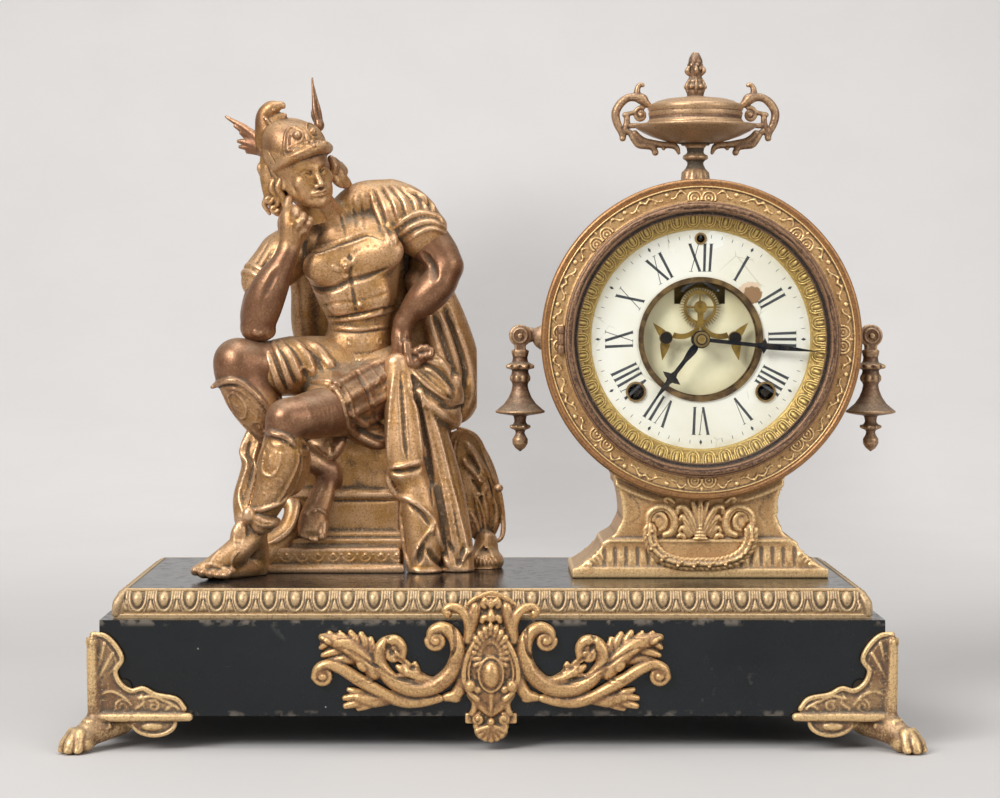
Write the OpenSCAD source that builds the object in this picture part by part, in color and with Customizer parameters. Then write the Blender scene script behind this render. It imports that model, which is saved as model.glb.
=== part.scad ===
// Figural mantel clock: black box base on paw feet, seated figure, drum clock with urn and pendants.
// X runs to the right, Y into the depth with the dial facing -Y, Z up from the table.

/* [Base] */
// Width of the black box
base_w = 383; // [370:1:400]
// Depth of the black box
base_d = 173; // [165:1:190]
// Height of the black box's walls
box_h = 46.7; // [42:0.1:56]
// Height of the box's underside above the table
foot_h = 16.3; // [14:0.1:20]
// Wall of the black box
box_wall = 5; // [3:0.5:7]
// Thickness of the deck that closes the box at its top
deck_t = 4; // [3:0.5:6]
// Height of the gilt moulding on the box
moulding_h = 14; // [12:0.5:18]
// Step from the box's side to the foot of the moulding
moulding_step_side = 5.5; // [3:0.5:8]
// Step from the box's front to the foot of the moulding
moulding_step_front = 7; // [4:0.5:9]
// How far the moulding leans in from its foot to its top
moulding_run = 6; // [4:0.5:8]
// Width of the moulding's flat top edge round the plate
moulding_edge = 1.5; // [1:0.25:3]
// Thickness of the black top plate
plate_t = 6; // [4:0.5:8]

/* [Feet and front mount] */
// Thickness of the bracket plates that wrap the corners
bracket_t = 5; // [3:0.5:7]
// Length of a bracket along the front and the side
bracket_len = 45; // [38:1:60]
// Height of a bracket above the box's underside
bracket_h = 40.5; // [34:0.5:42]
// Radius of the rod along a bracket's lower edge
foot_rod_r = 2; // [1:0.25:3]
// Reach of the paw's toes past the box's side
paw_reach = 18.5; // [14:0.5:22]
// Thickness of the front mount's casting
mount_t = 3; // [2:0.25:5]
// Half width of the front mount across its wings
mount_half_w = 86.5; // [80:0.5:92]
// Half width of the shield in the front mount
shield_half_w = 14.25; // [12:0.25:17]
// Radius of the fixing screws
screw_r = 2; // [1.5:0.1:2.4]

/* [Clock head] */
// Place of the clock's axis right of the middle
clock_x = 106.5; // [100:0.5:112]
// Height of the dial's centre above the top plate
axis_h = 122; // [118:0.5:130]
// Outer radius of the drum case
drum_r = 79.6; // [72:0.1:88]
// Depth of the drum, front ring included
drum_d = 76; // [76:1:90]
// Wall of the drum case
drum_wall = 1.5; // [1:0.1:1.8]
// How far the rolled rim stands out past the drum
rim_over = 1.9; // [1.4:0.1:3.4]
// Thickness of the cast front ring
ring_t = 3.5; // [3:0.1:5]
// Width of the pedestal's foot
pedestal_w = 131; // [124:1:140]
// Depth of the pedestal's foot
pedestal_d = 58; // [56:1:70]
// Height of the pedestal's foot band
pedestal_band_h = 5; // [3:0.5:7]
// Half width of the pedestal's waist
pedestal_waist = 39.5; // [36:0.5:44]

/* [Dial and door] */
// Visible radius of the enamel ring
dial_r = 55.8; // [54:0.1:56.5]
// Radius of the opening in the dial's middle
dial_open_r = 31.2; // [30:0.1:32]
// Thickness of the enamel ring
dial_t = 1.2; // [0.8:0.1:2]
// Depth from the front ring's face back to the dial's face
dial_depth = 7; // [6.6:0.1:9]
// Outer radius of the door's rim
bezel_r = 69.9; // [69.5:0.1:70.2]
// Inner radius of the door's rim
bezel_in_r = 64.7; // [64:0.1:65.2]
// Thickness of the door's rim
bezel_t = 5.2; // [4.5:0.1:6]
// Thickness of the glass
glass_t = 1.6; // [1.2:0.1:2.2]
// Rise of the glass at its middle
glass_rise = 4; // [3:0.25:6]
// Radius of the sight hole in the winding grommets
key_hole_r = 4.2; // [3.6:0.1:4.5]
// Distance of a winding arbor from the clock's axis, sideways
wind_x = 33; // [32.8:0.1:33.2]
// Length of the minute hand from its centre
minute_len = 61.5; // [52:0.5:62]
// Length of the hour hand from its centre
hour_len = 40; // [34:0.5:44]

/* [Movement] */
// Gap from the dial's face to the movement's front plate
front_plate_depth = 17; // [16.5:0.1:18]
// Distance between the two plates
plate_gap = 30.5; // [29:0.5:32]
// Thickness of a plate
plate_thick = 1.5; // [1:0.1:2]
// Radius of the train's arbors
arbor_r = 1; // [0.8:0.05:1.05]
// Running gap round an arbor, on the radius
run_gap = 0.05; // [0.02:0.01:0.1]
// Thickness of a train wheel
wheel_t = 1.2; // [0.8:0.1:1.6]
// Length of the pendulum from its suspension to the middle of the bob
pendulum_len = 108; // [96:0.5:120]
// Radius of the pendulum bob
bob_r = 10.5; // [8:0.5:11]
// Clear gap between pieces that move past each other
clear = 0.3; // [0.2:0.05:0.4]

/* [Urn and pendants] */
// Radius of the urn's dish
urn_dish_r = 32; // [30:0.5:34]
// Distance from the drum's side to a pendant's pivot
pendant_gap = 11.9; // [10.9:0.1:14.4]
// Radius of the ball at a pendant's pivot
pendant_ball_r = 5.9; // [5:0.1:6.5]
// Radius of the bell on a pendant
bell_r = 13; // [11:0.5:14]
// Radius of the rivet that a pendant hangs on
rivet_r = 1.4; // [1.2:0.1:1.8]

/* [Figure] */
// Place of the figure left of the middle
figure_x = -84; // [-88:0.5:-80]
// Width of the seat's plinth
plinth_w = 77; // [72:0.5:82]
// Height of the seat's plinth
plinth_h = 14; // [11:0.5:15]
// Height of the seat above the top plate
seat_h = 90; // [88:0.5:92]
// Width of the seat block
seat_w = 60; // [54:0.5:66]

/* [Hidden] */
$fn = 64;

gilt = "#b8893e";
bronze = "#7a5234";
enamel_black = "#23282a";
brass = "#c3a052";
steel = "#6d7278";
cream = "#efe9cf";

// Heights of the base's layers
box_top = foot_h + box_h;
plate_top = box_top + moulding_h;
plate_half_w = base_w / 2 - moulding_step_side - moulding_run - moulding_edge;
plate_half_d = base_d / 2 - moulding_step_front - moulding_run - moulding_edge;
axis_z = plate_top + axis_h;
rim_r = drum_r + rim_over;
pendant_x = drum_r + pendant_gap;

// Planes along the clock's depth, from the front backwards
face_y = -drum_d / 2;
ring_back = face_y + ring_t;
bezel_back = face_y - clear;
bezel_front = bezel_back - bezel_t;
dial_y = face_y + dial_depth;
dial_back = dial_y + dial_t;
recess_depth = 6.4;
recess_t = 0.8;
recess_y = dial_y + recess_depth;
front_plate_y = dial_y + front_plate_depth;
gap_y = front_plate_y + plate_thick;
back_plate_y = gap_y + plate_gap;
behind_y = back_plate_y + plate_thick;
rear_y = drum_d / 2;

// Tooth form: height above and below the pitch circle in modules, half widths in tooth pitches
tooth_add = 0.55;
tooth_ded = 0.85;
tooth_tip = 0.10;
tooth_root = 0.26;
main_n = 84;
main_m = 0.55;
second_pinion_n = 12;
second_n = 70;
second_m = 0.5;
centre_pinion_n = 8;
centre_n = 80;
centre_m = 0.37;
third_pinion_n = 8;
third_n = 78;
third_m = 0.37;
escape_pinion_n = 6;
escape_n = 42;
escape_tip_r = 10.7;
pin_n = 64;
pin_m = 0.5;
fly_pinion_n = 8;
cannon_n = 12;
minute_n = 36;
motion_m = 0.5;
minute_pinion_n = 10;
hour_n = 40;
motion_far = motion_m * (cannon_n + minute_n) / 2;
hour_m = 2 * motion_far / (minute_pinion_n + hour_n);

// Arbor places, seen from the front, sideways and up from the clock's axis
wind_z = -26.8;
time_at = [wind_x, wind_z];
strike_at = [-wind_x, wind_z];
pin_far = 19.5;
centre_at = [0, 0];
escape_at = [0, 16.3];
second_at = meet(time_at, main_m * (main_n + second_pinion_n) / 2,
    centre_at, second_m * (second_n + centre_pinion_n) / 2, 1);
third_at = meet(centre_at, centre_m * (centre_n + third_pinion_n) / 2,
    escape_at, third_m * (third_n + escape_pinion_n) / 2, -1);
pin_at = meet(strike_at, main_m * (main_n + second_pinion_n) / 2, centre_at, pin_far, 1);
fly_far = pin_m * (pin_n + fly_pinion_n) / 2;
fly_at = pin_at + fly_far * [cos(110), sin(110)];
minute_at = motion_far * [cos(-60), sin(-60)];
pallet_at = [0, 31];
suspension_at = [0, 45];
hammer_at = [-46, 22];
regulator_at = [0, 51.3];

// The place at distance ra from a and rb from b, left of the way from a to b where side is 1
function meet(a, ra, b, rb, side) =
    let (d = norm(b - a), u = (b - a) / d, along = (ra * ra - rb * rb + d * d) / (2 * d))
    a + along * u + side * sqrt(ra * ra - along * along) * [-u[1], u[0]];
function heading(a, b) = atan2(b[1] - a[1], b[0] - a[0]);

// Draws its child in the dial's plane and lets it rise towards the viewer from depth y_back
module facing(y_back) {
    translate([clock_x, y_back, axis_z]) rotate([90, 0, 0]) children();
}
// A disc or ring that faces the viewer between two depths, about a place seen from the front
module ring_at(at, y_front, y_back, r, r_in = 0) {
    facing(y_back) translate([at[0], at[1], 0]) difference() {
        cylinder(h = y_back - y_front, r = r);
        if (r_in > 0) translate([0, 0, -1]) cylinder(h = y_back - y_front + 2, r = r_in);
    }
}
// A body of revolution about the upright line through x, from a profile of radius and height
module turned(x, profile) {
    translate([x, 0, 0]) rotate_extrude() polygon(profile);
}

function tooth_points(n, m, add, ded, tip, root) =
    [for (k = [0:n - 1]) for (q = [[-root, -ded], [-tip, add], [tip, add], [root, -ded]])
        let (a = 360 / n * (k + q[0]), r = m * (n / 2 + q[1])) [r * cos(a), r * sin(a)]];
// A toothed wheel with one tooth towards the angle first, and round windows where it has arms
module gear(n, m, h, bore, first = 0, arms = 0) {
    r = m * n / 2;
    linear_extrude(height = h) rotate(first) difference() {
        polygon(tooth_points(n, m, tooth_add, tooth_ded, tooth_tip, tooth_root));
        if (bore > 0) circle(r = bore);
        if (arms > 0) for (k = [0:arms - 1]) rotate(360 / arms * (k + 0.5))
            translate([r * 0.56, 0]) circle(r = r * 0.24);
    }
}
// An arbor on two pivots that run in the plates
module arbor(at, r = arbor_r) {
    ring_at(at, gap_y + clear, back_plate_y - clear, r);
    ring_at(at, front_plate_y, behind_y, pivot_r);
}
module geared(at, y_back) {
    facing(y_back) translate([at[0], at[1], 0]) children();
}

// Layers between the plates for the wheels, as depths behind the front plate
main_layer = gap_y + 5;
second_layer = gap_y + 9;
centre_layer = gap_y + 13;
third_layer = gap_y + 17;
strike_layer = gap_y + 11;
spring_front = strike_layer + 0.5;
spring_back = back_plate_y - 2;

// Base

module base_box() {
    color(enamel_black) difference() {
        translate([-base_w / 2, -base_d / 2, foot_h]) cube([base_w, base_d, box_h]);
        translate([-base_w / 2 + box_wall, -base_d / 2 + box_wall, foot_h - 1])
            cube([base_w - 2 * box_wall, base_d - 2 * box_wall, box_h - deck_t + 1]);
        wall_screw_places() cylinder(h = box_wall + 2, r = screw_r + run_gap, center = true);
        bolt_places() translate([0, 0, box_top - deck_t - 1])
            cylinder(h = deck_t + 2, r = screw_r + run_gap);
    }
}
// The wall screws' middles, with their heads inside the box
screw_z = foot_h + 14;
foot_screw_x = base_w / 2 - 12;
mount_screw_x = 8;
module wall_screw_places() {
    for (sy = [-1, 1]) for (sx = [-1, 1])
        translate([sx * foot_screw_x, sy * (base_d / 2 - box_wall / 2), screw_z])
            rotate([sy * 90, 0, 0]) children();
    for (sx = [-1, 1]) translate([sx * mount_screw_x, -base_d / 2 + box_wall / 2, screw_z])
        rotate([-90, 0, 0]) children();
}
// The upright bolts that hold the figure's seat and the pedestal
figure_bolt_x = 18;
pedestal_bolt_x = 30;
module bolt_places() {
    for (x = [figure_x - figure_bolt_x, figure_x + figure_bolt_x,
              clock_x - pedestal_bolt_x, clock_x + pedestal_bolt_x])
        translate([x, x < 0 ? seat_y : 0, 0]) children();
}
module base_top_plate() {
    color(enamel_black) difference() {
        translate([-plate_half_w, -plate_half_d, plate_top - plate_t])
            cube([2 * plate_half_w, 2 * plate_half_d, plate_t]);
        bolt_places() translate([0, 0, plate_top - plate_t - 1])
            cylinder(h = plate_t + 2, r = screw_r + run_gap);
    }
}
// Section of the moulding: lower fillet, rounded egg band and upper edge
moulding_fillet = 2;
moulding_lip = 1.6;
function moulding_section(half) =
    let (rise = moulding_h - moulding_fillet - moulding_lip)
    concat([[half, box_top], [half, box_top + moulding_fillet]],
        [for (a = [0:15:90]) [half - 1 - (moulding_run - 1.5) * (1 - cos(a)),
            box_top + moulding_fillet + rise * sin(a)]],
        [[half - moulding_run, plate_top - moulding_lip], [half - moulding_run, plate_top]]);
module moulding_prism(half, run) {
    section = moulding_section(half);
    rotate([90, 0, 0]) linear_extrude(height = run, center = true)
        polygon(concat(section, [for (k = [len(section) - 1:-1:0]) [-section[k][0], section[k][1]]]));
}
module base_moulding() {
    half_w = base_w / 2 - moulding_step_side;
    half_d = base_d / 2 - moulding_step_front;
    color(gilt) difference() {
        intersection() {
            moulding_prism(half_w, base_d);
            rotate([0, 0, 90]) moulding_prism(half_d, base_w);
        }
        translate([-plate_half_w, -plate_half_d, plate_top - plate_t])
            cube([2 * plate_half_w, 2 * plate_half_d, plate_t + 1]);
        translate([-plate_half_w + 8, -plate_half_d + 8, box_top - 1])
            cube([2 * plate_half_w - 16, 2 * plate_half_d - 16, moulding_h + 1]);
    }
}

// Flat outlines that the castings share

// A band that winds along a spiral from radius r0 at angle a0 to radius r1 at angle a1
module scroll(r0, r1, a0, a1, w0, w1) {
    steps = 18;
    outer = [for (k = [0:steps]) let (t = k / steps, a = a0 + t * (a1 - a0), r = r0 + t * (r1 - r0)
        + (w0 + t * (w1 - w0)) / 2) r * [cos(a), sin(a)]];
    inner = [for (k = [steps:-1:0]) let (t = k / steps, a = a0 + t * (a1 - a0), r = r0 + t * (r1 - r0)
        - (w0 + t * (w1 - w0)) / 2) r * [cos(a), sin(a)]];
    polygon(concat(outer, inner));
}
// A pointed leaf of length l and half width w along +X
module leaf(l, w) {
    polygon(concat([for (k = [0:8]) [l * k / 8, w * sin(180 * sqrt(k / 8))]],
        [for (k = [7:-1:1]) [l * k / 8, -w * sin(180 * sqrt(k / 8))]]));
}

// The front mount is one flat casting with a raised shield
mount_mid = foot_h + 28;
mount_top = plate_top - 1;
mount_low = 4.6;
module mount_wing() {
    translate([31, mount_mid - 9]) scroll(14, 12, 100, 270, 5, 6);
    translate([52, mount_mid - 12]) scroll(13, 18, 190, 330, 6, 6);
    translate([34, mount_mid - 2]) scroll(6, 3, -150, 200, 4, 3.4);
    translate([66, mount_mid - 6]) scroll(8, 11, 40, 250, 5, 5);
    translate([14, mount_mid - 19]) rotate(-6) leaf(44, 5);
    translate([38, mount_mid - 21]) rotate(8) leaf(44, 6);
    translate([60, mount_mid - 4]) rotate(20) leaf((mount_half_w - 60) * 1.02, 7);
    translate([62, mount_mid - 12]) rotate(-8) leaf(mount_half_w - 64, 6);
    translate([10, mount_mid + 5]) scroll(10, 8, -60, 80, 5, 4);
    translate([20, mount_mid + 6]) circle(r = 5.5);
}
module mount_outline() {
    translate([0, mount_mid]) circle(r = shield_half_w);
    polygon([[-shield_half_w, mount_mid], [shield_half_w, mount_mid],
        [shield_half_w * 0.8, mount_mid - 16], [shield_half_w * 0.45, mount_low + 8],
        [0, mount_low], [-shield_half_w * 0.45, mount_low + 8], [-shield_half_w * 0.8, mount_mid - 16]]);
    polygon([[-9, mount_mid + 8], [-20, mount_top - 8], [-20, mount_top - 3], [-8, mount_top - 4],
        [-4, mount_top], [4, mount_top], [8, mount_top - 4], [20, mount_top - 3],
        [20, mount_top - 8], [9, mount_mid + 8]]);
    for (sx = [-1, 1]) scale([sx, 1]) mount_wing();
}
module front_mount() {
    color(gilt) translate([0, -base_d / 2, 0]) rotate([90, 0, 0]) difference() {
        union() {
            linear_extrude(height = mount_t) mount_outline();
            translate([0, mount_mid + 5, mount_t - 1]) cylinder(h = 2.5, r1 = 8, r2 = 5, $fn = 48);
            translate([0, mount_mid - 12, mount_t - 1]) cylinder(h = 2, r1 = 7, r2 = 3, $fn = 48);
        }
        for (sx = [-1, 1]) translate([sx * mount_screw_x, screw_z, -1]) cylinder(h = 3, r = screw_r);
    }
}

// Feet: bracket plates on two faces of a corner, a rod below them, a leg and a paw
module bracket_outline() {
    h = bracket_h;
    l = bracket_len;
    polygon([[-bracket_t, -2], [l, -2], [l, 3], [l * 0.88, h * 0.24], [l * 0.5, h * 0.36],
        [l * 0.38, h * 0.35], [l * 0.21, h * 0.51], [l * 0.26, h * 0.7], [l * 0.12, h * 0.84],
        [0, h], [-bracket_t, h * 0.96]]);
    translate([l * 0.52, -1]) circle(r = 7.5, $fn = 20);
    translate([0, h * 0.9]) circle(r = bracket_t - 0.5, $fn = 16);
}
module rod_between(a, b, r) {
    hull() {
        translate(a) sphere(r = r, $fn = 10);
        translate(b) sphere(r = r, $fn = 10);
    }
}
module tapered_rod(a, ra, b, rb) {
    hull() {
        translate(a) sphere(r = ra, $fn = 12);
        translate(b) sphere(r = rb, $fn = 12);
    }
}
toe_len = 6.8;
toe_r = 3.2;
paw_r = 6.5;
paw_z = 5;
paw_at = paw_reach - toe_len - toe_r;
// Drawn for the corner at plus X and minus Y, with the corner at the origin
module corner_foot() {
    t = bracket_t;
    knuckle = [paw_at - 1, 1 - paw_at, 6.5];
    difference() {
        union() {
            translate([0, 0, foot_h]) rotate([90, 0, 0]) linear_extrude(height = t)
                scale([-1, 1]) bracket_outline();
            translate([0, 0, foot_h]) rotate([90, 0, 90]) linear_extrude(height = t) bracket_outline();
            translate([-22, 0, foot_h - 5]) cube([22, 22, 5]);
            rod_between([-bracket_len, -t, foot_h], [t, -t, foot_h], foot_rod_r);
            rod_between([t, bracket_len, foot_h], [t, -t, foot_h], foot_rod_r);
            tapered_rod([-8, 8, foot_h - 6], 6, [1, -1, foot_h - 5], 6);
            tapered_rod([1, -1, foot_h - 5], 6, [paw_at, -paw_at, paw_z + 1], 5.4);
            tapered_rod([paw_at - 2, 2 - paw_at, paw_z], paw_r, [paw_at, -paw_at, paw_z], paw_r);
            for (side = [-1.5, -0.5, 0.5, 1.5]) let (swing = -45 + side * 24)
                tapered_rod(knuckle + [4 * cos(swing), 4 * sin(swing), 0], 3.8,
                    [paw_at + toe_len * cos(swing), -paw_at + toe_len * sin(swing), 3], toe_r);
        }
        translate([-100, -100, -50]) cube([200, 200, 50]);
        translate([-100, 0, foot_h]) cube([100, 100, 100]);
        translate([-12, 1, screw_z]) rotate([90, 0, 0]) cylinder(h = 4, r = screw_r, $fn = 24);
    }
}
module foot_at(sx, sy) {
    color(bronze) translate([sx * base_w / 2, sy * base_d / 2, 0])
        mirror([sx < 0 ? 1 : 0, 0, 0]) mirror([0, sy > 0 ? 1 : 0, 0]) corner_foot();
}
module foot_front_left() { foot_at(-1, -1); }
module foot_front_right() { foot_at(1, -1); }
module foot_rear_left() { foot_at(-1, 1); }
module foot_rear_right() { foot_at(1, 1); }

bolt_bite = 8;
module fixing_screws() {
    color(steel) {
        wall_screw_places() {
            translate([0, 0, -box_wall / 2]) cylinder(h = box_wall + 2, r = screw_r);
            translate([0, 0, -box_wall / 2 - 2]) cylinder(h = 2, r = screw_r * 2);
        }
        bolt_places() {
            translate([0, 0, box_top - deck_t - 3])
                cylinder(h = deck_t + 3 + moulding_h + bolt_bite, r = screw_r);
            translate([0, 0, box_top - deck_t - 3]) cylinder(h = 3, r = screw_r * 2, $fn = 6);
        }
    }
}

// Seated figure: landmarks of the body, from the point on the top plate below its middle

seat_y = 26;
pelvis = [15, 24, 107];
waist = [17, 21, 130];
chest = [13, 15, 160];
neck_base = [4, 16, 183];
shoulder_right = [-18, 20, 178];
shoulder_left = [36, 21, 190];
elbow_right = [-38, -2, 133];
wrist_right = [-24, -7, 164];
palm_right = [-19, -7, 177];
finger_right = [-21, -5, 190];
elbow_left = [59, 11, 158];
wrist_left = [39, 12, 131];
fist_left = [45, 9, 115];
hip_right = [1, 24, 107];
knee_right = [-50, -6, 110];
calf_right = [-35, -1, 72];
ankle_right = [-5, 4, 45];
toe_right = [-9, -6, 20];
hip_left = [29, 22, 102];
knee_left = [-19, -30, 88];
calf_left = [-29, -28, 56];
ankle_left = [-40, -22, 18];
heel_left = [-38, -16, 6];
toe_left = [-62, -36, 4];
// Head: its height is a seventh and a half of a standing body of this sitting height
head_at = [-13, 2, 208];
head_h = 35;
head_tilt = 14;
head_turn = 20;

module on_figure() {
    translate([figure_x, 0, plate_top]) children();
}
module bone(a, ra, b, rb) {
    hull() {
        translate(a) sphere(r = ra, $fn = 12);
        translate(b) sphere(r = rb, $fn = 12);
    }
}
function between(a, b, t) = a + t * (b - a);

module figure_seat() {
    w = seat_w;
    color(gilt) on_figure() difference() {
        union() {
            translate([-plinth_w / 2, -6, 0]) cube([plinth_w, 62, plinth_h * 0.85]);
            translate([-plinth_w / 2 + 2, -4, 0]) cube([plinth_w - 4, 58, plinth_h]);
            translate([-w / 2 + 4, 0, 0]) cube([w + 4, 52, plinth_h + 4]);
            translate([-w / 2 + 8, 3, 0]) cube([w - 2, 48, 43]);
            translate([-w / 2 + 7, 2, 37]) cube([w, 50, 5]);
            translate([-w / 2 + 10, 5, 0]) cube([w - 6, 44, seat_h]);
        }
        for (sx = [-1, 1]) translate([sx * figure_bolt_x, seat_y, -1])
            cylinder(h = bolt_bite + 1, r = screw_r);
    }
}
module figure_torso() {
    color(gilt) on_figure() {
        bone(pelvis + [-6, 0, 0], 16, pelvis + [10, 0, 0], 16);
        bone(pelvis, 18, waist, 14);
        bone(waist + [-6, 0, 0], 13, waist + [6, 0, 0], 13);
        bone(waist, 14.5, chest, 16);
        bone(waist + [7, 0, 0], 12, chest + [12, 2, 4], 14);
        bone(waist + [-7, 0, 0], 12, chest + [-10, 2, 0], 14);
        bone(chest + [-10, 3, 4], 14, shoulder_right + [6, 0, -2], 9);
        bone(chest + [12, 3, 8], 14, shoulder_left + [-6, 0, -2], 10);
        bone(shoulder_right + [4, 0, 0], 8, neck_base, 8);
        bone(shoulder_left + [-4, 0, 0], 8.5, neck_base, 8);
        bone(neck_base, 8, head_at + [3, 5, -12], 7);
    }
}
// Head with hair, crested helmet and two upright wings, drawn upright about its middle
module figure_head() {
    h = head_h;
    color(gilt) on_figure() translate(head_at) rotate([0, -head_tilt, head_turn]) {
        bone([0, -2, -h * 0.24], h * 0.25, [0, 0, h * 0.1], h * 0.38);
        bone([0, -h * 0.24, -h * 0.3], h * 0.13, [0, -h * 0.22, h * 0.1], h * 0.2);
        bone([0, -h * 0.41, -h * 0.1], h * 0.045, [0, -h * 0.36, h * 0.1], h * 0.04);
        bone([0, 1, h * 0.25], h * 0.44, [0, h * 0.12, h * 0.3], h * 0.42);
        bone([0, -h * 0.3, h * 0.3], h * 0.19, [0, 0, h * 0.48], h * 0.36);
        bone([0, -h * 0.1, h * 0.72], h * 0.16, [0, h * 0.26, h * 0.74], h * 0.15);
        bone([0, -h * 0.24, h * 0.78], h * 0.1, [0, 0, h * 0.72], h * 0.16);
        bone([0, h * 0.25, h * 0.3], h * 0.3, [0, h * 0.3, -h * 0.2], h * 0.24);
        for (side = [-1, 1]) {
            bone([side * h * 0.36, h * 0.08, h * 0.1], h * 0.14, [side * h * 0.36, h * 0.14, -h * 0.26],
                h * 0.15);
            bone([side * h * 0.38, h * 0.06, h * 0.42], h * 0.1, [side * h * 0.6, h * 0.16, h * 0.62],
                h * 0.09);
            bone([side * h * 0.6, h * 0.16, h * 0.62], h * 0.09, [side * h * 0.72, h * 0.3, h * 1.1], 1.2);
        }
    }
}
module figure_right_arm() {
    color(bronze) on_figure() {
        bone(shoulder_right, 10.5, between(shoulder_right, elbow_right, 0.35), 10);
        bone(between(shoulder_right, elbow_right, 0.35), 9, elbow_right, 6.5);
        bone(elbow_right, 6.5, between(elbow_right, wrist_right, 0.3), 8);
        bone(between(elbow_right, wrist_right, 0.3), 8, wrist_right, 4.4);
        bone(wrist_right, 4.4, palm_right, 6.4);
        bone(palm_right + [3, 0, 2], 3.6, palm_right + [8, -1, 7], 2.8);
        bone(palm_right + [0, -2, 3], 3.4, palm_right + [4, -4, 9], 2.6);
        bone(palm_right, 3.6, finger_right, 2.2);
    }
}
module figure_left_arm() {
    color(bronze) on_figure() {
        bone(shoulder_left, 12, between(shoulder_left, elbow_left, 0.45), 12);
        bone(between(shoulder_left, elbow_left, 0.4), 10.5, elbow_left, 7);
        bone(elbow_left, 7, between(elbow_left, wrist_left, 0.35), 8);
        bone(between(elbow_left, wrist_left, 0.35), 8, wrist_left, 5);
        bone(wrist_left, 5, wrist_left + [2, 0, -12], 5.4);
        bone(wrist_left + [2, 0, -12], 5.4, fist_left, 4.6);
        bone(fist_left, 4.4, fist_left + [7, -3, 5], 3.6);
        bone(fist_left + [2, 1, 2], 4, fist_left + [9, 0, 6], 3.4);
    }
}
module figure_right_leg() {
    color(bronze) on_figure() {
        bone(hip_right, 14, between(hip_right, knee_right, 0.5), 12.5);
        bone(between(hip_right, knee_right, 0.5), 12.5, knee_right, 9.5);
        bone(knee_right, 9, calf_right, 8.6);
        bone(calf_right, 8.6, between(calf_right, ankle_right, 0.7), 5.6);
        bone(between(calf_right, ankle_right, 0.7), 5.6, ankle_right, 4.8);
        bone(ankle_right, 4.8, ankle_right + [3, 5, 0], 4.6);
        bone(ankle_right, 5, between(ankle_right, toe_right, 0.6), 5.2);
        bone(between(ankle_right, toe_right, 0.6), 5.2, toe_right + [0, 0, 2], 4.2);
        bone(knee_right + [-4, -2, -9], 6, calf_right + [-2, -4, 0], 5.5);
    }
}
module figure_left_leg() {
    color(bronze) on_figure() intersection() {
        union() {
            bone(hip_left, 15, between(hip_left, knee_left, 0.5), 13);
            bone(between(hip_left, knee_left, 0.5), 13, knee_left, 9.8);
            bone(knee_left, 9.4, calf_left, 9.4);
            bone(calf_left, 9.4, between(calf_left, ankle_left, 0.6), 6.4);
            bone(between(calf_left, ankle_left, 0.6), 6.4, ankle_left, 5);
            bone(ankle_left, 5, heel_left, 5);
            bone(heel_left, 5, between(heel_left, toe_left, 0.6), 5);
            bone(between(heel_left, toe_left, 0.6), 5, toe_left, 3.8);
            bone(ankle_left, 4.6, between(heel_left, toe_left, 0.7) + [0, 0, 3], 4);
        }
        translate([-120, -120, 0]) cube([240, 240, 240]);
    }
}
// Pleated skirt and the cloth across both thighs and down behind the front leg
module figure_skirt() {
    color(gilt) on_figure() intersection() {
        union() {
            bone(pelvis + [-10, -2, 4], 17, pelvis + [16, -2, 0], 18);
            bone(hip_right + [0, -2, 2], 16, between(hip_right, knee_right, 0.52), 15);
            bone(hip_left + [4, -4, 0], 18, between(hip_left, knee_left, 0.5), 16);
            bone(pelvis + [-6, -12, -4], 13, between(hip_left, knee_left, 0.4) + [-4, 0, 6], 12);
            bone(hip_left + [8, -6, -8], 14, between(hip_left, knee_left, 0.45) + [8, 0, -10], 10);
            bone([-26, 12, 100], 9, [-45, 12, 80], 6);
            bone([-45, 12, 80], 6, [-46, 12, 62], 5);
            bone([-46, 12, 62], 5, [-48, 9, 36], 6);
            bone([-48, 9, 36], 6, [-60, -2, 8], 7);
            bone([-48, 9, 36], 6, [-40, -4, 8], 8);
        }
        translate([-120, -120, 0]) cube([240, 240, 240]);
    }
}
// Cloak down the back, its bunched folds beside the hip and the long fall to the plate
module figure_cloak() {
    color(gilt) on_figure() intersection() {
        union() {
            bone([-12, 34, 176], 7, [40, 32, 184], 8);
            hull() {
                translate([-14, 36, 172]) sphere(r = 6, $fn = 14);
                translate([44, 32, 178]) sphere(r = 7, $fn = 14);
                translate([-18, 42, 112]) sphere(r = 6, $fn = 14);
                translate([62, 38, 104]) sphere(r = 9, $fn = 14);
            }
            bone([50, 30, 168], 7, [66, 34, 104], 11);
            bone([66, 34, 104], 11, [58, 28, 90], 9);
            bone([44, 18, 112], 11, [64, 28, 96], 10);
            hull() {
                translate([34, 6, 104]) sphere(r = 6, $fn = 14);
                translate([48, 12, 104]) sphere(r = 7, $fn = 14);
                translate([38, 2, 4]) sphere(r = 7, $fn = 14);
                translate([66, 10, 4]) sphere(r = 9, $fn = 14);
                translate([56, 24, 4]) sphere(r = 9, $fn = 14);
            }
            bone([38, 2, 72], 8, [48, -4, 6], 8);
            bone([44, 4, 60], 8, [62, 2, 8], 9);
        }
        translate([-120, -120, 0]) cube([240, 240, 240]);
    }
}
shield_mid = [77, 32, 43];
shield_half = [15, 32];
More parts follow.
